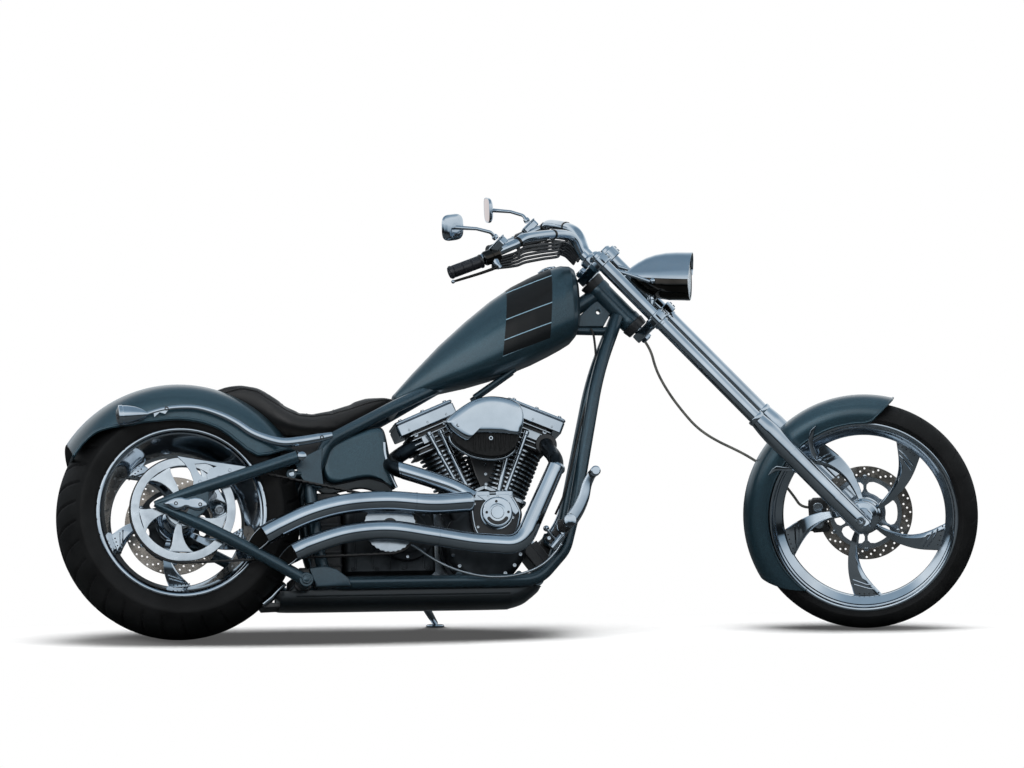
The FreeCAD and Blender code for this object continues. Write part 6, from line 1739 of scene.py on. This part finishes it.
def makeBelt():
    # the belt's inner and outer faces are taken from the belt it stands for
    solid = frame["nodes"]["drive_belt"]
    toBike = chassisSpace.inverted() @ solid.matrix_world
    points = [toBike @ vert.co for vert in solid.data.vertices]
    rearOuter = max((Vector((p.x, p.z)) - Vector((0, 357))).length for p in points if p.x < 0)
    rearInner = min((Vector((p.x, p.z)) - Vector((0, 357))).length for p in points if p.x < -20)
    frontInner = min((Vector((p.x, p.z)) - Vector((600, 300))).length for p in points if p.x > 620)
    low, high = min(p.y for p in points), max(p.y for p in points)
    belt["front"], belt["rear"] = (600, 300, frontInner), (0, 357, rearInner)
    thick = rearOuter - rearInner
    inner, outer = [resampled(beltLoop(extra), 300) for extra in (0.0, thick)]
    toothed = resampled(beltLoop(thick * 0.42), 300)
    base = [(i if k % 3 else t) for k, (i, t) in enumerate(zip(inner, toothed))]
    shape = Shape()
    rings = []
    for a, b in zip(base, outer):
        rings.append([Vector((a[0], low, a[1])), Vector((a[0], high, a[1])), Vector((b[0], high, b[1])),
                      Vector((b[0], low, b[1]))])
    shape.loft(rings, mouldedRubber, looped=True)
    shape.make("toothedDriveBelt", "chassis", "belt_rubber", ["drive_belt"], sharp=25)
    drive, r = Shape(), frontInner - 0.4
    grooves = [(r - (2.4 if k % 2 else 0)) for k in range(64)]
    rings = []
    for side in (-belt["width"] / 2 + 1, belt["width"] / 2 - 1):
        rings.append([Vector((600 + g * math.cos(math.tau * k / 64), belt["plane"] + side,
                              300 + g * math.sin(math.tau * k / 64))) for k, g in enumerate(grooves)])
    drive.loft(rings, polishedAlloy)
    for side in (-1, 1):
        drive.revolve([(12, 20), (12, r - 3), (14, r - 3), (14, 20)], polishedAlloy,
                      (600, belt["plane"], 300), (0, side, 0), 64, closed=True)
        drive.revolve([(12, 0), (12, 24), (15, 24), (15, 0)], blackEnamel, (600, belt["plane"], 300),
                      (0, side, 0), 32)
    drive.make("drivePulleyTeeth", "chassis", "cast_aluminium", ["drive_pulley"])


def resampled(points, count):
    # equal steps along a closed loop
    loop = [Vector((x, z, 0)) for x, z in points]
    loop.append(loop[0])
    runs = [0.0]
    for a, b in zip(loop, loop[1:]):
        runs.append(runs[-1] + (b - a).length)
    at = [runs[-1] * k / count for k in range(count)]
    return list(zip(np.interp(at, runs, [p.x for p in loop]), np.interp(at, runs, [p.y for p in loop])))


makeBelt()


# ---- forward controls: a ribbed peg, a blade up to the toe peg, and their bracket
controls = {
    "peg": (1112, 294), "toe": (1193, 439), "ribs": 9, "ribWidth": 12.5,
    "blade": [(1128, 214, 306), (1150, 218, 338), (1166, 222, 372), (1176, 226, 408), (1190, 232, 436)],
    "bracket": [(1058, 262), (1086, 286), (1100, 316), (1126, 318), (1136, 290), (1118, 262), (1100, 226),
                (1086, 222), (1076, 246)],
}


def makeFootControls():
    shape = Shape()
    pegX, pegZ = controls["peg"]
    toeX, toeZ = controls["toe"]
    for side in (1, -1):
        def at(x, y, z):
            return Vector((x, side * y, z))
        shape.sweep([at(pegX, 138, pegZ), at(pegX, 170, pegZ)], 17, chrome, sides=32)
        shape.revolve([(0, 0), (0, 19), (3, 20), (12, 20), (15, 18), (15, 0)], chrome, at(pegX, 142, pegZ),
                      (0, side, 0), 36)
        for k in range(controls["ribs"]):
            foot = 172 + controls["ribWidth"] * k
            shape.revolve([(0, 0), (0, 15), (1.5, 18.5), (9, 18.5), (10.5, 15), (12.5, 15), (12.5, 0)],
                          mouldedRubber, at(pegX, foot, pegZ), (0, side, 0), 32)
        shape.revolve([(0, 0), (0, 18.5), (3, 20), (14, 20), (19, 17), (21, 8), (21, 0)], chrome,
                      at(pegX, 285, pegZ), (0, side, 0), 36)
        blade = smoothed([at(*point) for point in controls["blade"]], 5)
        section = [(math.copysign(abs(u) ** 0.6, u) * 0.42, math.copysign(abs(v) ** 0.6, v))
                   for u, v in around(24, 1.0)]
        shape.sweep(blade, [21 - 8.5 * k / (len(blade) - 1) for k in range(len(blade))], chrome,
                    section=section, up=(1, 0, -0.5))
        shape.sweep([at(pegX, 178, pegZ), at(1122, 200, 300), at(1132, 215, 312)], 10, chrome, sides=20)
        shape.revolve([(0, 0), (0, 12), (3, 13.5), (9, 13.5), (9, 0)], chrome, at(toeX, 215, toeZ),
                      (0, side, 0), 28)
        shape.revolve([(0, 0), (0, 11), (2, 13), (15, 13), (17, 11), (19, 13), (32, 13), (34, 11), (36, 13),
                       (49, 13), (51, 11), (51, 0)], mouldedRubber, at(toeX, 224, toeZ), (0, side, 0), 28)
        shape.revolve([(0, 0), (0, 12.5), (3, 14.5), (21, 14.5), (24.5, 11), (25.5, 0)], chrome,
                      at(toeX, 274, toeZ), (0, side, 0), 32)
        shape.plate(controls["bracket"], [], 10, blackEnamel, at(0, 146, 0), edge=2)
        for x, z in ((1070, 262), (1092, 236)):
            shape.bolt(at(x, 151, z), (0, side, 0), 6, 5, chrome)
        shape.sweep([at(1104, 158, 240), at(1080, 160, 268), at(1062, 160, 290)], 5.5, chrome, sides=16)
        shape.bolt(at(1062, 158, 290), (0, side, 0), 9, 9, chrome, domed=True)
        shape.revolve([(-26, 0), (-26, 9), (-24, 11), (22, 11), (26, 8), (26, 0)], chrome, at(1092, 162, 250),
                      (at(1120, 162, 282) - at(1064, 162, 218)), 24)
    shape.make("footControls", "chassis", "chrome", ["forward_controls"])


makeFootControls()

# ---- rear brake pipe, with a hexagon fitting at either end
brakePipe = {
    "radius": 4,
    "route": [(640, -150, 262), (674, -150, 244), (724, -150, 209), (770, -150, 184), (818, -150, 166),
              (866, -150, 155), (913, -150, 151), (961, -150, 154), (1009, -150, 166), (1050, -152, 186),
              (1082, -156, 214), (1104, -160, 246), (1110, -162, 277.6)],
}


def makeBrakePipe():
    line, route = Shape(), brakePipe["route"]
    line.sweep(smoothed(route, 4), brakePipe["radius"], polishedAlloy, sides=14)
    for end, after in ((route[0], route[1]), (route[-1], route[-2])):
        line.revolve([(0, 0), (0, 6.5), (12, 6.5), (14, 5), (14, 0)], chrome, end,
                     Vector(after) - Vector(end), 6)
    line.make("rearBrakePipe", "chassis", "steel_line", ["rear_brake_line"])


makeBrakePipe()

# ---- clutch cable down the front of the engine, and a trim rod under each side of the tank
clutchCable = {
    "radius": 3.4,
    "route": [(1236, -24, 905), (1244, -26, 879), (1246, -34, 807), (1232, -52, 740), (1200, -70, 649),
              (1166, -86, 530), (1150, -96, 474), (1128, -98, 400), (1100, -94, 340)],
}


def makeClutchCable():
    cable = Shape()
    down = smoothed(clutchCable["route"], 5)
    cable.sweep(down, clutchCable["radius"], mouldedRubber, sides=12)
    cable.revolve([(-6, 3), (-6, 5.5), (6, 5.5), (6, 3)], blackEnamel, down[17], down[18] - down[16], 20)
    for side in (1, -1):
        cable.sweep(smoothed([(598, side * 119, 556), (600, side * 119, 520), (611, side * 119, 470),
                              (630, side * 119, 422)], 5), 5, chrome, sides=16)
    cable.make("clutchCableAndTrim", "chassis", "belt_rubber")


makeClutchCable()

# ---- belly pan: a shallow tray, rounded up at the front
tray = {
    "floor": [(286, 0, 112), (288, 0, 96), (296, 0, 84), (314, 0, 77), (640, 0, 76), (930, 0, 76),
              (972, 0, 79), (1010, 0, 91), (1036, 0, 109), (1048, 0, 119), (1052, 0, 124)],
    "half": [(30, 0), (66, 5), (82, 12), (90, 20), (93, 30), (93, 60)],
}
# dark lacquer sprayed over pressed steel: almost black, with a cool shine
darkPaint = metallicPaint("darkLacquerPan", {
    "deep": "#0b1115", "bright": "#141e24", "flake": 0.0012, "cloud": 0.15, "rough": 0.3, "metallic": 0.4,
    "coat": 0.8})


def makePan():
    pan = Shape()
    section = [(-y, lift) for y, lift in tray["half"][::-1]] + tray["half"]
    rings = [[Vector((p.x, y, min(p.z + lift, 129.5 if p.x > 378 else 126))) for y, lift in section]
             for p in smoothed(tray["floor"], 5)]
    pan.loft(rings, darkPaint)
    for way in (1, -1):
        pan.sweep([(330, way * 92.5, 110), (960, way * 92.5, 110)], 2.2, darkPaint, sides=10)
        pan.sweep([(300, way * 70, 152), (262, way * 68, 112), (236, way * 66, 92)], 8, chrome, sides=16)
    pan.plate([(232, 92), (252, 100), (300, 92), (300, 84), (240, 82)], [], 120, blackEnamel, (0, 0, 0),
              edge=2)
    pan.make("bellyPanTray", "chassis", "black_enamel", ["belly_pan"])


makePan()
print("controls, belt and pan made")

# ---- fork: clamps, tubes and legs
fork = {"ahead": 79, "side": 119, "tube": 20, "leg": 28.3, "legTop": 438, "lowClamp": (832, 862),
        "topClamp": (1068, 1098),
        "thorns": [[(1910, 617), (1893, 602), (1885, 576), (1888, 550), (1893, 530), (1906, 510), (1910, 530),
                    (1902, 550), (1899, 576), (1903, 598)],
                   [(1763, 469), (1776, 489), (1790, 498), (1812, 494), (1835, 492), (1840, 484), (1828, 480),
                    (1805, 484), (1788, 484)]]}


def makeFork():
    tubes, legs = Shape(), Shape()
    lowFoot, lowHead = fork["lowClamp"]
    topFoot, topHead = fork["topClamp"]
    for side in (1, -1):
        foot = forkPoint(0, fork["ahead"], side * fork["side"])
        r, top = fork["tube"], fork["legTop"]
        tubes.revolve([(top - 4, 0), (top - 4, r), (lowFoot - 9, r), (lowFoot - 8, r + 2.5),
                       (lowFoot - 1, r + 2.5), (lowFoot, r - 0.6), (lowHead, r - 0.6), (lowHead + 2, r),
                       (topFoot - 2, r), (topFoot, r - 0.6), (topHead, r - 0.6), (topHead + 1, r + 1.5),
                       (topHead + 9, r + 1.5), (topHead + 13, r - 4), (topHead + 13.5, 0)], chrome, foot,
                      steerUp, 48)
        leg = fork["leg"]
        legs.revolve([(-30, 0), (-30, leg - 9), (-24, leg - 3), (-18, leg), (96, leg), (100, leg - 1.2),
                      (104, leg), (286, leg), (288, leg - 0.8), (290, leg), (top - 62, leg),
                      (top - 46, leg - 1), (top - 14, leg - 4.5), (top - 10, leg - 2.5), (top - 3, leg - 2.5),
                      (top - 0.4, leg - 4),
                      (top - 0.4, r + 0.6), (top - 2, r + 0.4), (top - 4, 0)], chrome, foot, steerUp, 56)
        back = forkPoint(0, fork["ahead"] - 0.6, side * fork["side"])
        legs.revolve([(-14, 0), (-14, leg), (top - 70, leg), (top - 62, leg - 1), (top - 62, 0)], chrome,
                     back, steerUp, 56)
        # pinch bolts at the axle, fender bosses, and thorn-shaped fender braces
        for a in (-14, 12):
            legs.bolt(forkPoint(a, fork["ahead"], side * (fork["side"] + leg - 3)), (0, side, 0), 4.5, 5,
                      polishedAlloy)
        for a in (305, 335):
            legs.revolve([(0, 0), (0, 9), (17, 9), (17, 0)], chrome, forkPoint(a, 79, side * 73.5),
                         (0, side, 0), 24)
        for thorn in fork["thorns"]:
            legs.plate(thorn, [], 5, chrome, (0, side * 80, 0), edge=1.6)
            legs.sweep([(thorn[5][0], side * 80, thorn[5][1]), (thorn[5][0] + 8, side * 94, thorn[5][1] - 2)],
                       5, chrome, sides=14)
    tubes.make("forkStanchions", "fork", "chrome", ["fork_tubes"])
    legs.make("forkLegs", "fork", "chrome", ["fork_legs"])

    for (low, high), node, name in ((fork["topClamp"], "top_clamp", "topForkClamp"),
                                    (fork["lowClamp"], "lower_clamp", "lowerForkClamp")):
        shape = Shape()
        spacing = fork["side"]
        half = [(-22, 24), (10, 56), (34, 84), (47, 100), (47, 136), (60, 149), (92, 149), (108, 136),
                (111, 119), (104, 100), (86, 88), (62, 74), (44, 46), (36, 0)]
        outline = half + [(a, -s) for a, s in reversed(half[:-1])] + [(-27, 0)]
        holes = [[(79 + u, side * spacing + v) for u, v in around(40, fork["tube"] - 0.3)]
                 for side in (1, -1)]
        middle = forkPoint((low + high) / 2, 0)
        thick = high - low
        shape.plate(outline, holes, thick - 2, chrome, middle, steerAhead, (0, 1, 0), edge=4)
        for side in (1, -1):
            shape.revolve([(low - 1, fork["tube"] + 0.4), (low - 1, 29), (low + 1, 31), (high - 1, 31),
                           (high + 1, 29), (high + 1, fork["tube"] + 0.4)], chrome,
                          forkPoint(0, 79, side * spacing), steerUp, 48, closed=True)
            for height in (low + 9, high - 9):
                shape.bolt(forkPoint(height, 108, side * (spacing + 14)), steerAhead, 4.5, 4, polishedAlloy)
        if node == "top_clamp":
            hexNut(shape, forkPoint(high, 0), steerUp, 20, 11, chrome)
        else:
            shape.sweep([forkPoint(low - 2, 0), forkPoint(high + 250, 0)], 14, polishedAlloy, sides=24)
            hexNut(shape, forkPoint(low + 1, 0), -steerUp, 19, 9, chrome)
        shape.make(name, "fork", "chrome", [node])


makeFork()


def makeFrontAxle():
    # a hollow axle held in the legs
    shape = Shape()
    box = [forkSpace.inverted() @ (frame["nodes"]["front_axle"].matrix_world @ vert.co)
           for vert in frame["nodes"]["front_axle"].data.vertices]
    reach = max(abs(p.y) for p in box)
    shape.revolve([(-reach + 6, 6.2), (-reach + 6, 9.8), (reach - 6, 9.8), (reach - 6, 6.2)], polishedAlloy,
                  forkPoint(0, 89), (0, 1, 0), 32, closed=True)
    for side in (1, -1):
        shape.revolve([(reach - 9, 6.2), (reach - 9, 14), (reach - 2, 14), (reach, 12), (reach, 6.2)], chrome,
                      forkPoint(0, 89), (0, side, 0), 32, closed=True)
    shape.make("frontAxleBar", "fork", "chrome", ["front_axle"])


makeFrontAxle()

makeCaliper("frontBrakeCaliper", "fork", "black_enamel", forkPoint(0, 89), 182, 52.5, 90, 67.5,
            "front_caliper", blackEnamel)

# ---- handlebar, grips and hand controls
bar = {
    "rows": [(1098.3, 47, 52), (1140.3, 47, 52), (1206.8, 63.1, 100), (1278.6, 1.6, 290), (1291, -36.2, 342),
             (1360.4, -212.9, 442)],
    "radius": 14, "bands": 3, "grip": [(1321.6, -129.7, 400), (1362.2, -216.7, 444)],
    "perch": [(1305.3, -86, 378), (1318.5, -116.2, 393.6)],
    "lever": [(1301.2, -100.8, 388), (1278.5, -105.9, 400), (1294, -146, 422), (1336, -224, 458)],
    "mirror": [(1343.2, -55.7, 380), (1362.7, -53.8, 388), (1398.9, -74.6, 398), (1447.2, -117, 404)],
    "mirrorAt": (1448.6, -118.4, 404), "reservoir": (1320.7, -63.2, 380),
}
# a warm dark mirror: black nickel plate on the hand controls and clips; on the headlight bucket the dark
# colour is a painted reflection of the dark ground
darkPlateAndPaintedReflection = platedMetal("darkPlateAndPaintedReflectionFinish", {
    "bright": "#4a4642", "dull": "#322f2c", "haze": 0.08, "wipe": 0.03, "rough": 0.06, "roughest": 0.14,
    "ripple": 0.0002})
# silvered glass: a clean mirror, tinted warm pink as a painted reflection of what it faces
mirrorGlass = platedMetal("silveredMirrorGlass", {
    "bright": "#dcc0b6", "dull": "#c9aba1", "haze": 0.1, "wipe": 0.05, "rough": 0.02, "roughest": 0.04,
    "ripple": 0.0001})


def barPoint(row, side):
    return forkPoint(row[0], row[1], side * row[2])


def barPath(side):
    # straight in the riser and in the grip, one flowing arch between
    points = [barPoint(row, side) for row in bar["rows"]]
    return points[:1] + smoothed(points[1:5] + [points[4].lerp(points[5], 0.35)], 10) + points[-1:]


def makeBars():
    shape = Shape()
    for side in (1, -1):
        shape.sweep(barPath(side), bar["radius"], chrome, sides=32)
        shape.revolve([(0, 0), (0, 23), (3, 25), (20, 25), (23, 22), (26, 16), (26, 14)], chrome,
                      barPoint(bar["rows"][0], side), steerUp, 40)
    shape.make("handlebarTube", "fork", "chrome", ["handlebar"])


def makeGrips():
    # rubber with three smooth bands and an end cap
    grips = Shape()
    for side in (1, -1):
        start, end = [barPoint(row, side) for row in bar["grip"]]
        axis, span = (end - start).normalized(), (end - start).length
        profile = [(0, 14.2), (0, 20), (3, 21), (6, 20), (8, 17.6)]
        for k in range(bar["bands"]):
            low = 8 + (span - 20) * k / bar["bands"]
            high = 8 + (span - 20) * (k + 1) / bar["bands"]
            profile += [(low + 0.8, 18.6), (high - 2.4, 18.6), (high - 1.4, 17.2), (high - 0.4, 17.2)]
        profile += [(span - 11, 18.6), (span - 4, 18.6), (span - 1, 17), (span, 13), (span, 0)]
        grips.revolve(profile, gripRubber, start, axis, 40)
        grips.revolve([(span - 9, 18.4), (span - 9, 19.6), (span - 4.5, 19.6), (span - 4.5, 18.4)],
                      blackEnamel, start, axis, 40, closed=True)
        grips.revolve([(span - 0.4, 0), (span - 0.4, 9), (span + 0.8, 9), (span + 1, 0)], chrome, start, axis,
                      28)
    grips.make("ribbedGrips", "fork", "belt_rubber", ["grips"])


def makeHandControls():
    # perch, switch housing, lever and reservoir
    hands = Shape()
    for side in (1, -1):
        start, end = [barPoint(row, side) for row in bar["perch"]]
        axis, span = (end - start).normalized(), (end - start).length
        hands.revolve([(-6, 14.1), (-6, 19), (-3, 21.5), (span * 0.44, 21.5), (span * 0.47, 20.3),
                       (span * 0.53, 20.3), (span * 0.56, 21.5), (span + 3, 21.5), (span + 7, 19),
                       (span + 7, 14.1)], darkPlateAndPaintedReflection, start, axis, 40)
        middle = (start + end) / 2
        lever = [barPoint(row, side) for row in bar["lever"]]
        hands.sweep([middle, lever[0], lever[1]], [14, 12, 9], chrome, sides=20)
        curve = smoothed(lever, 8)
        widths = [7.5 - 2.4 * k / (len(curve) - 1) for k in range(len(curve))]
        widths[-1] = 4
        oval = [(u * 0.75, v * 1.15) for u, v in around(18, 1.0)]
        hands.sweep(curve, widths, darkPlateAndPaintedReflection, section=oval)
        hands.revolve([(-5, 0), (-4.5, 4), (0, 6), (4.5, 4), (5, 0)], chrome, curve[-1], axis, 20)
        hands.revolve([(-9, 0), (-9, 8), (9, 8), (9, 0)], chrome, lever[1],
                      steerAhead.cross(upright[1]), 20)
        at = barPoint(bar["reservoir"], side)
        turn = math.radians(18)
        uAxis = (steerAhead * math.cos(turn) + Vector((0, side, 0)) * math.sin(turn)).normalized()
        wAxis = (steerUp - steerAhead * 0.1).normalized()
        vAxis = wAxis.cross(uAxis).normalized()
        wAxis = uAxis.cross(vAxis)
        hands.loft(boxRings(at, (uAxis, vAxis, wAxis), 24, 20, -11, 8, 7, 2), chrome)
        hands.loft(boxRings(at, (uAxis, vAxis, wAxis), 26, 22, 8, 13, 8, 2), chrome)
        hands.sweep([at - wAxis * 8, middle], 9, chrome, sides=16)
        for k in (-1, 1):
            hands.bolt(at + uAxis * (17 * k) + wAxis * 13, wAxis, 3, 1.2, blackEnamel)
        # switch buttons in the housing
        for k in range(3):
            spot = start + axis * (6 + 9 * k) + steerUp * -20
            hands.bolt(spot, -steerUp, 3.4, 3.5, blackEnamel)
    hands.make("leversAndPerches", "fork", "chrome", ["hand_controls"])


def makeMirrors():
    # a rounded wedge of a head on a bent stem
    mirrors = Shape()
    for side in (1, -1):
        stem = bent([barPoint(row, side) for row in bar["mirror"]], 16, 5)
        mirrors.sweep(stem, [6] + [5] * (len(stem) - 2) + [6.5], chrome, sides=18)
        mirrors.revolve([(-4, 0), (-4, 9), (0, 10), (6, 9), (8, 6), (8, 0)], chrome, stem[0],
                        stem[1] - stem[0], 24)
        head = barPoint(bar["mirrorAt"], side)
        turn = math.radians(27 if side < 0 else 17)
        face = (Vector((-1, 0, 0)) * math.cos(turn) + Vector((0, side, 0)) * -math.sin(turn)).normalized()
        acrossHead = upright[2].cross(face).normalized()
        upHead = face.cross(acrossHead).normalized()
        rings = []
        for depth, scale, power in ((-7.8, 0.35, 2.4), (-7, 0.6, 2.6), (-4.5, 0.84, 3), (0, 0.97, 3.4),
                                    (4.5, 1.0, 3.6), (7.2, 0.99, 3.6), (8, 0.95, 3.6), (7.2, 0.915, 3.6)):
            rings.append(superRing(head + face * depth, acrossHead, upHead, 51 * scale, 38.5 * scale, power))
        mirrors.loft(rings, chrome)
        mirrors.loft([superRing(head + face * 7.0, acrossHead, upHead, 46.6, 35.2, 3.6),
                      superRing(head + face * 7.5, acrossHead, upHead, 46.2, 34.8, 3.6)], mirrorGlass)
    mirrors.make("rearViewMirrors", "fork", "chrome", ["mirrors"])


makeBars()
makeGrips()
makeHandControls()
makeMirrors()


# ---- cables clipped under the bar
def makeCables():
    shape, down = Shape(), Vector((0, 0, -1))
    for side in (1, -1):
        path = [p for p in barPath(side) if abs(p.y) < 378 and abs(p.y) > 56]
        count = len(path) - 1
        for k in range(5):
            strand = []
            for i, p in enumerate(path):
                share = i / count
                drop = 19 + 5.5 * k + (10 + 5 * k) * math.sin(math.pi * share)
                lean = Vector((-0.5, 0, -0.87)) if share < 0.3 else down
                across = side * (2 * k - 4) * math.sin(math.pi * share)
                strand.append(p + lean * drop + Vector((0, across, 0)))
            shape.sweep(smoothed(strand[::3] + [strand[-1]], 4), 4.2, blackEnamel, sides=12)
        for i in (count // 3, 2 * count // 3):
            axis = (path[i + 1] - path[i - 1]).normalized()
            shape.revolve([(-4, 14.2), (-4, 15.6), (4, 15.6), (4, 14.2)], darkPlateAndPaintedReflection, path[i], axis, 28,
                          closed=True)
            shape.sweep([path[i] + down * 14, path[i] + down * 44], 5, blackEnamel, sides=12)
    shape.make("barCables", "fork", "belt_rubber")


makeCables()

# ---- headlight: a long pointed visor over a round bucket
lamp = {
    "at": (988.4, 96.1),
    "bucket": [(0, 12), (10, 22), (24, 36), (44, 50), (59, 57), (84, 65), (114, 69.5), (160, 70.5), (166, 71),
               (174, 71), (176, 69), (176, 64), (172, 63)],
    "lens": [(171, 63.5), (174, 60), (175.5, 45), (176, 20)],
    "visor": [(-24, 3, 3), (-14, 14, 4), (4, 30, 4), (24, 43, 4), (48, 55.5, 4), (76, 65.5, 3), (108, 72, 2),
              (140, 74.5, 1), (168, 75, 0), (178, 75, 0)],
}
# pressed glass, frosted inside: pale, with a glint on the outer face
lampLens = grained("frostedLampGlass", {
    "dark": "#8f979c", "light": "#b9c0c4", "grain": 0.004, "patch": 0.03, "rough": 0.08, "roughest": 0.16,
    "metallic": 0.0, "bump": 0.3})


def makeHeadlight():
    # the lamp's own axis is level with the bike, so it is built from its back point forwards
    shape, back = Shape(), forkPoint(*lamp["at"])
    toFork = forkSpace.inverted().to_3x3() @ chassisSpace.to_3x3()
    ahead, up = [(toFork @ axis).normalized() for axis in (upright[0], upright[2])]
    left = upright[1]
    # the bucket's dark plate is a painted reflection of the dark ground below it
    for rows, finish in ((lamp["bucket"], darkPlateAndPaintedReflection), (lamp["lens"], lampLens)):
        shape.loft([superRing(back + ahead * x, left, up, radius, radius, 2.0) for x, radius in rows],
                   finish)
    # the visor: the upper half carried back to a point
    rows = []
    for x, radius, lift in lamp["visor"]:
        arc = []
        for k in range(25):
            turn = math.radians(180 * k / 24)
            forward = x + (9 * math.sin(turn) if x > 170 else 0)
            rise = lift + radius * math.sin(turn)
            arc.append(back + ahead * forward + up * rise + left * (radius * math.cos(turn)))
        rows.append(arc)
    inner = [[point + (back + ahead * ((point - back).dot(ahead)) - point).normalized() * 2.2
              for point in arc] for arc in rows]
    shape.loft([a + b[::-1] for a, b in zip(rows, inner)], chrome)
    shape.revolve([(-3, 9), (-3, 12), (-1, 13.5), (6, 13.5), (8, 10), (8, 0), (-3, 0)], chrome,
                  back + ahead * 60 - up * 62, -up, 28)
    shape.sweep([back + ahead * 62 - up * 58, back + ahead * 56 - up * 84, forkPoint(900, 60)],
                [11, 10, 10], chrome, sides=20)
    for side in (1, -1):
        shape.sweep(smoothed([forkPoint(1040, 84, side * 60), forkPoint(1010, 100, side * 66),
                              back + ahead * 60 + left * (side * 60) - up * 8], 6), 5.5, chrome, sides=16)
        shape.bolt(back + ahead * 70 + left * (side * 60) - up * 6, left * side, 9, 10, chrome, domed=True)
    shape.make("headlightShell", "fork", "chrome", ["headlight"])


makeHeadlight()

# ---- front brake hose, hanging between the lower clamp and the caliper
hose = {
    "radius": 4, "length": 0.745,
    "route": [(831.7, -12, 22), (798, -16, 22), (740.8, -52, 31), (664.6, -75.3, 45), (586.4, -87.2, 58),
              (529.1, -90.6, 68), (467.8, -79.7, 80), (395, -53.6, 88), (346.5, -40.2, 90),
              (289.5, -29.4, 90), (230.2, -26.4, 87), (181.3, -31.4, 83), (146.4, -38.2, 79),
              (129.7, -22.6, 79)],
}


def makeHose():
    points = [forkSpace @ forkPoint(*row) for row in hose["route"]]
    curve = bpy.data.curves.new("frontBrakeHose", "CURVE")
    curve.dimensions, curve.bevel_depth, curve.bevel_resolution = "3D", hose["radius"] / 1000, 4
    curve.use_fill_caps, curve.resolution_u = True, 8
    spline = curve.splines.new("NURBS")
    spline.points.add(len(points) - 1)
    for knot, point in zip(spline.points, points):
        knot.co = (*point, 1)
    spline.order_u, spline.use_endpoint_u = 3, True
    curve.materials.append(hoseRubber)
    piece = link("frontBrakeHose", curve)
    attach(piece, "fork")
    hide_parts("front_brake_hose")
    return piece, points


# rubber hose in a braided cover: a lighter grey with a coarse weave
hoseRubber = grained("braidedHoseCover", {
    "dark": "#3b3c3a", "light": "#55554f", "grain": 0.0012, "patch": 0.02, "rough": 0.4, "roughest": 0.55,
    "metallic": 0.0, "bump": 0.5})
hosePiece, hosePoints = makeHose()
print("fork, bars and headlight made")
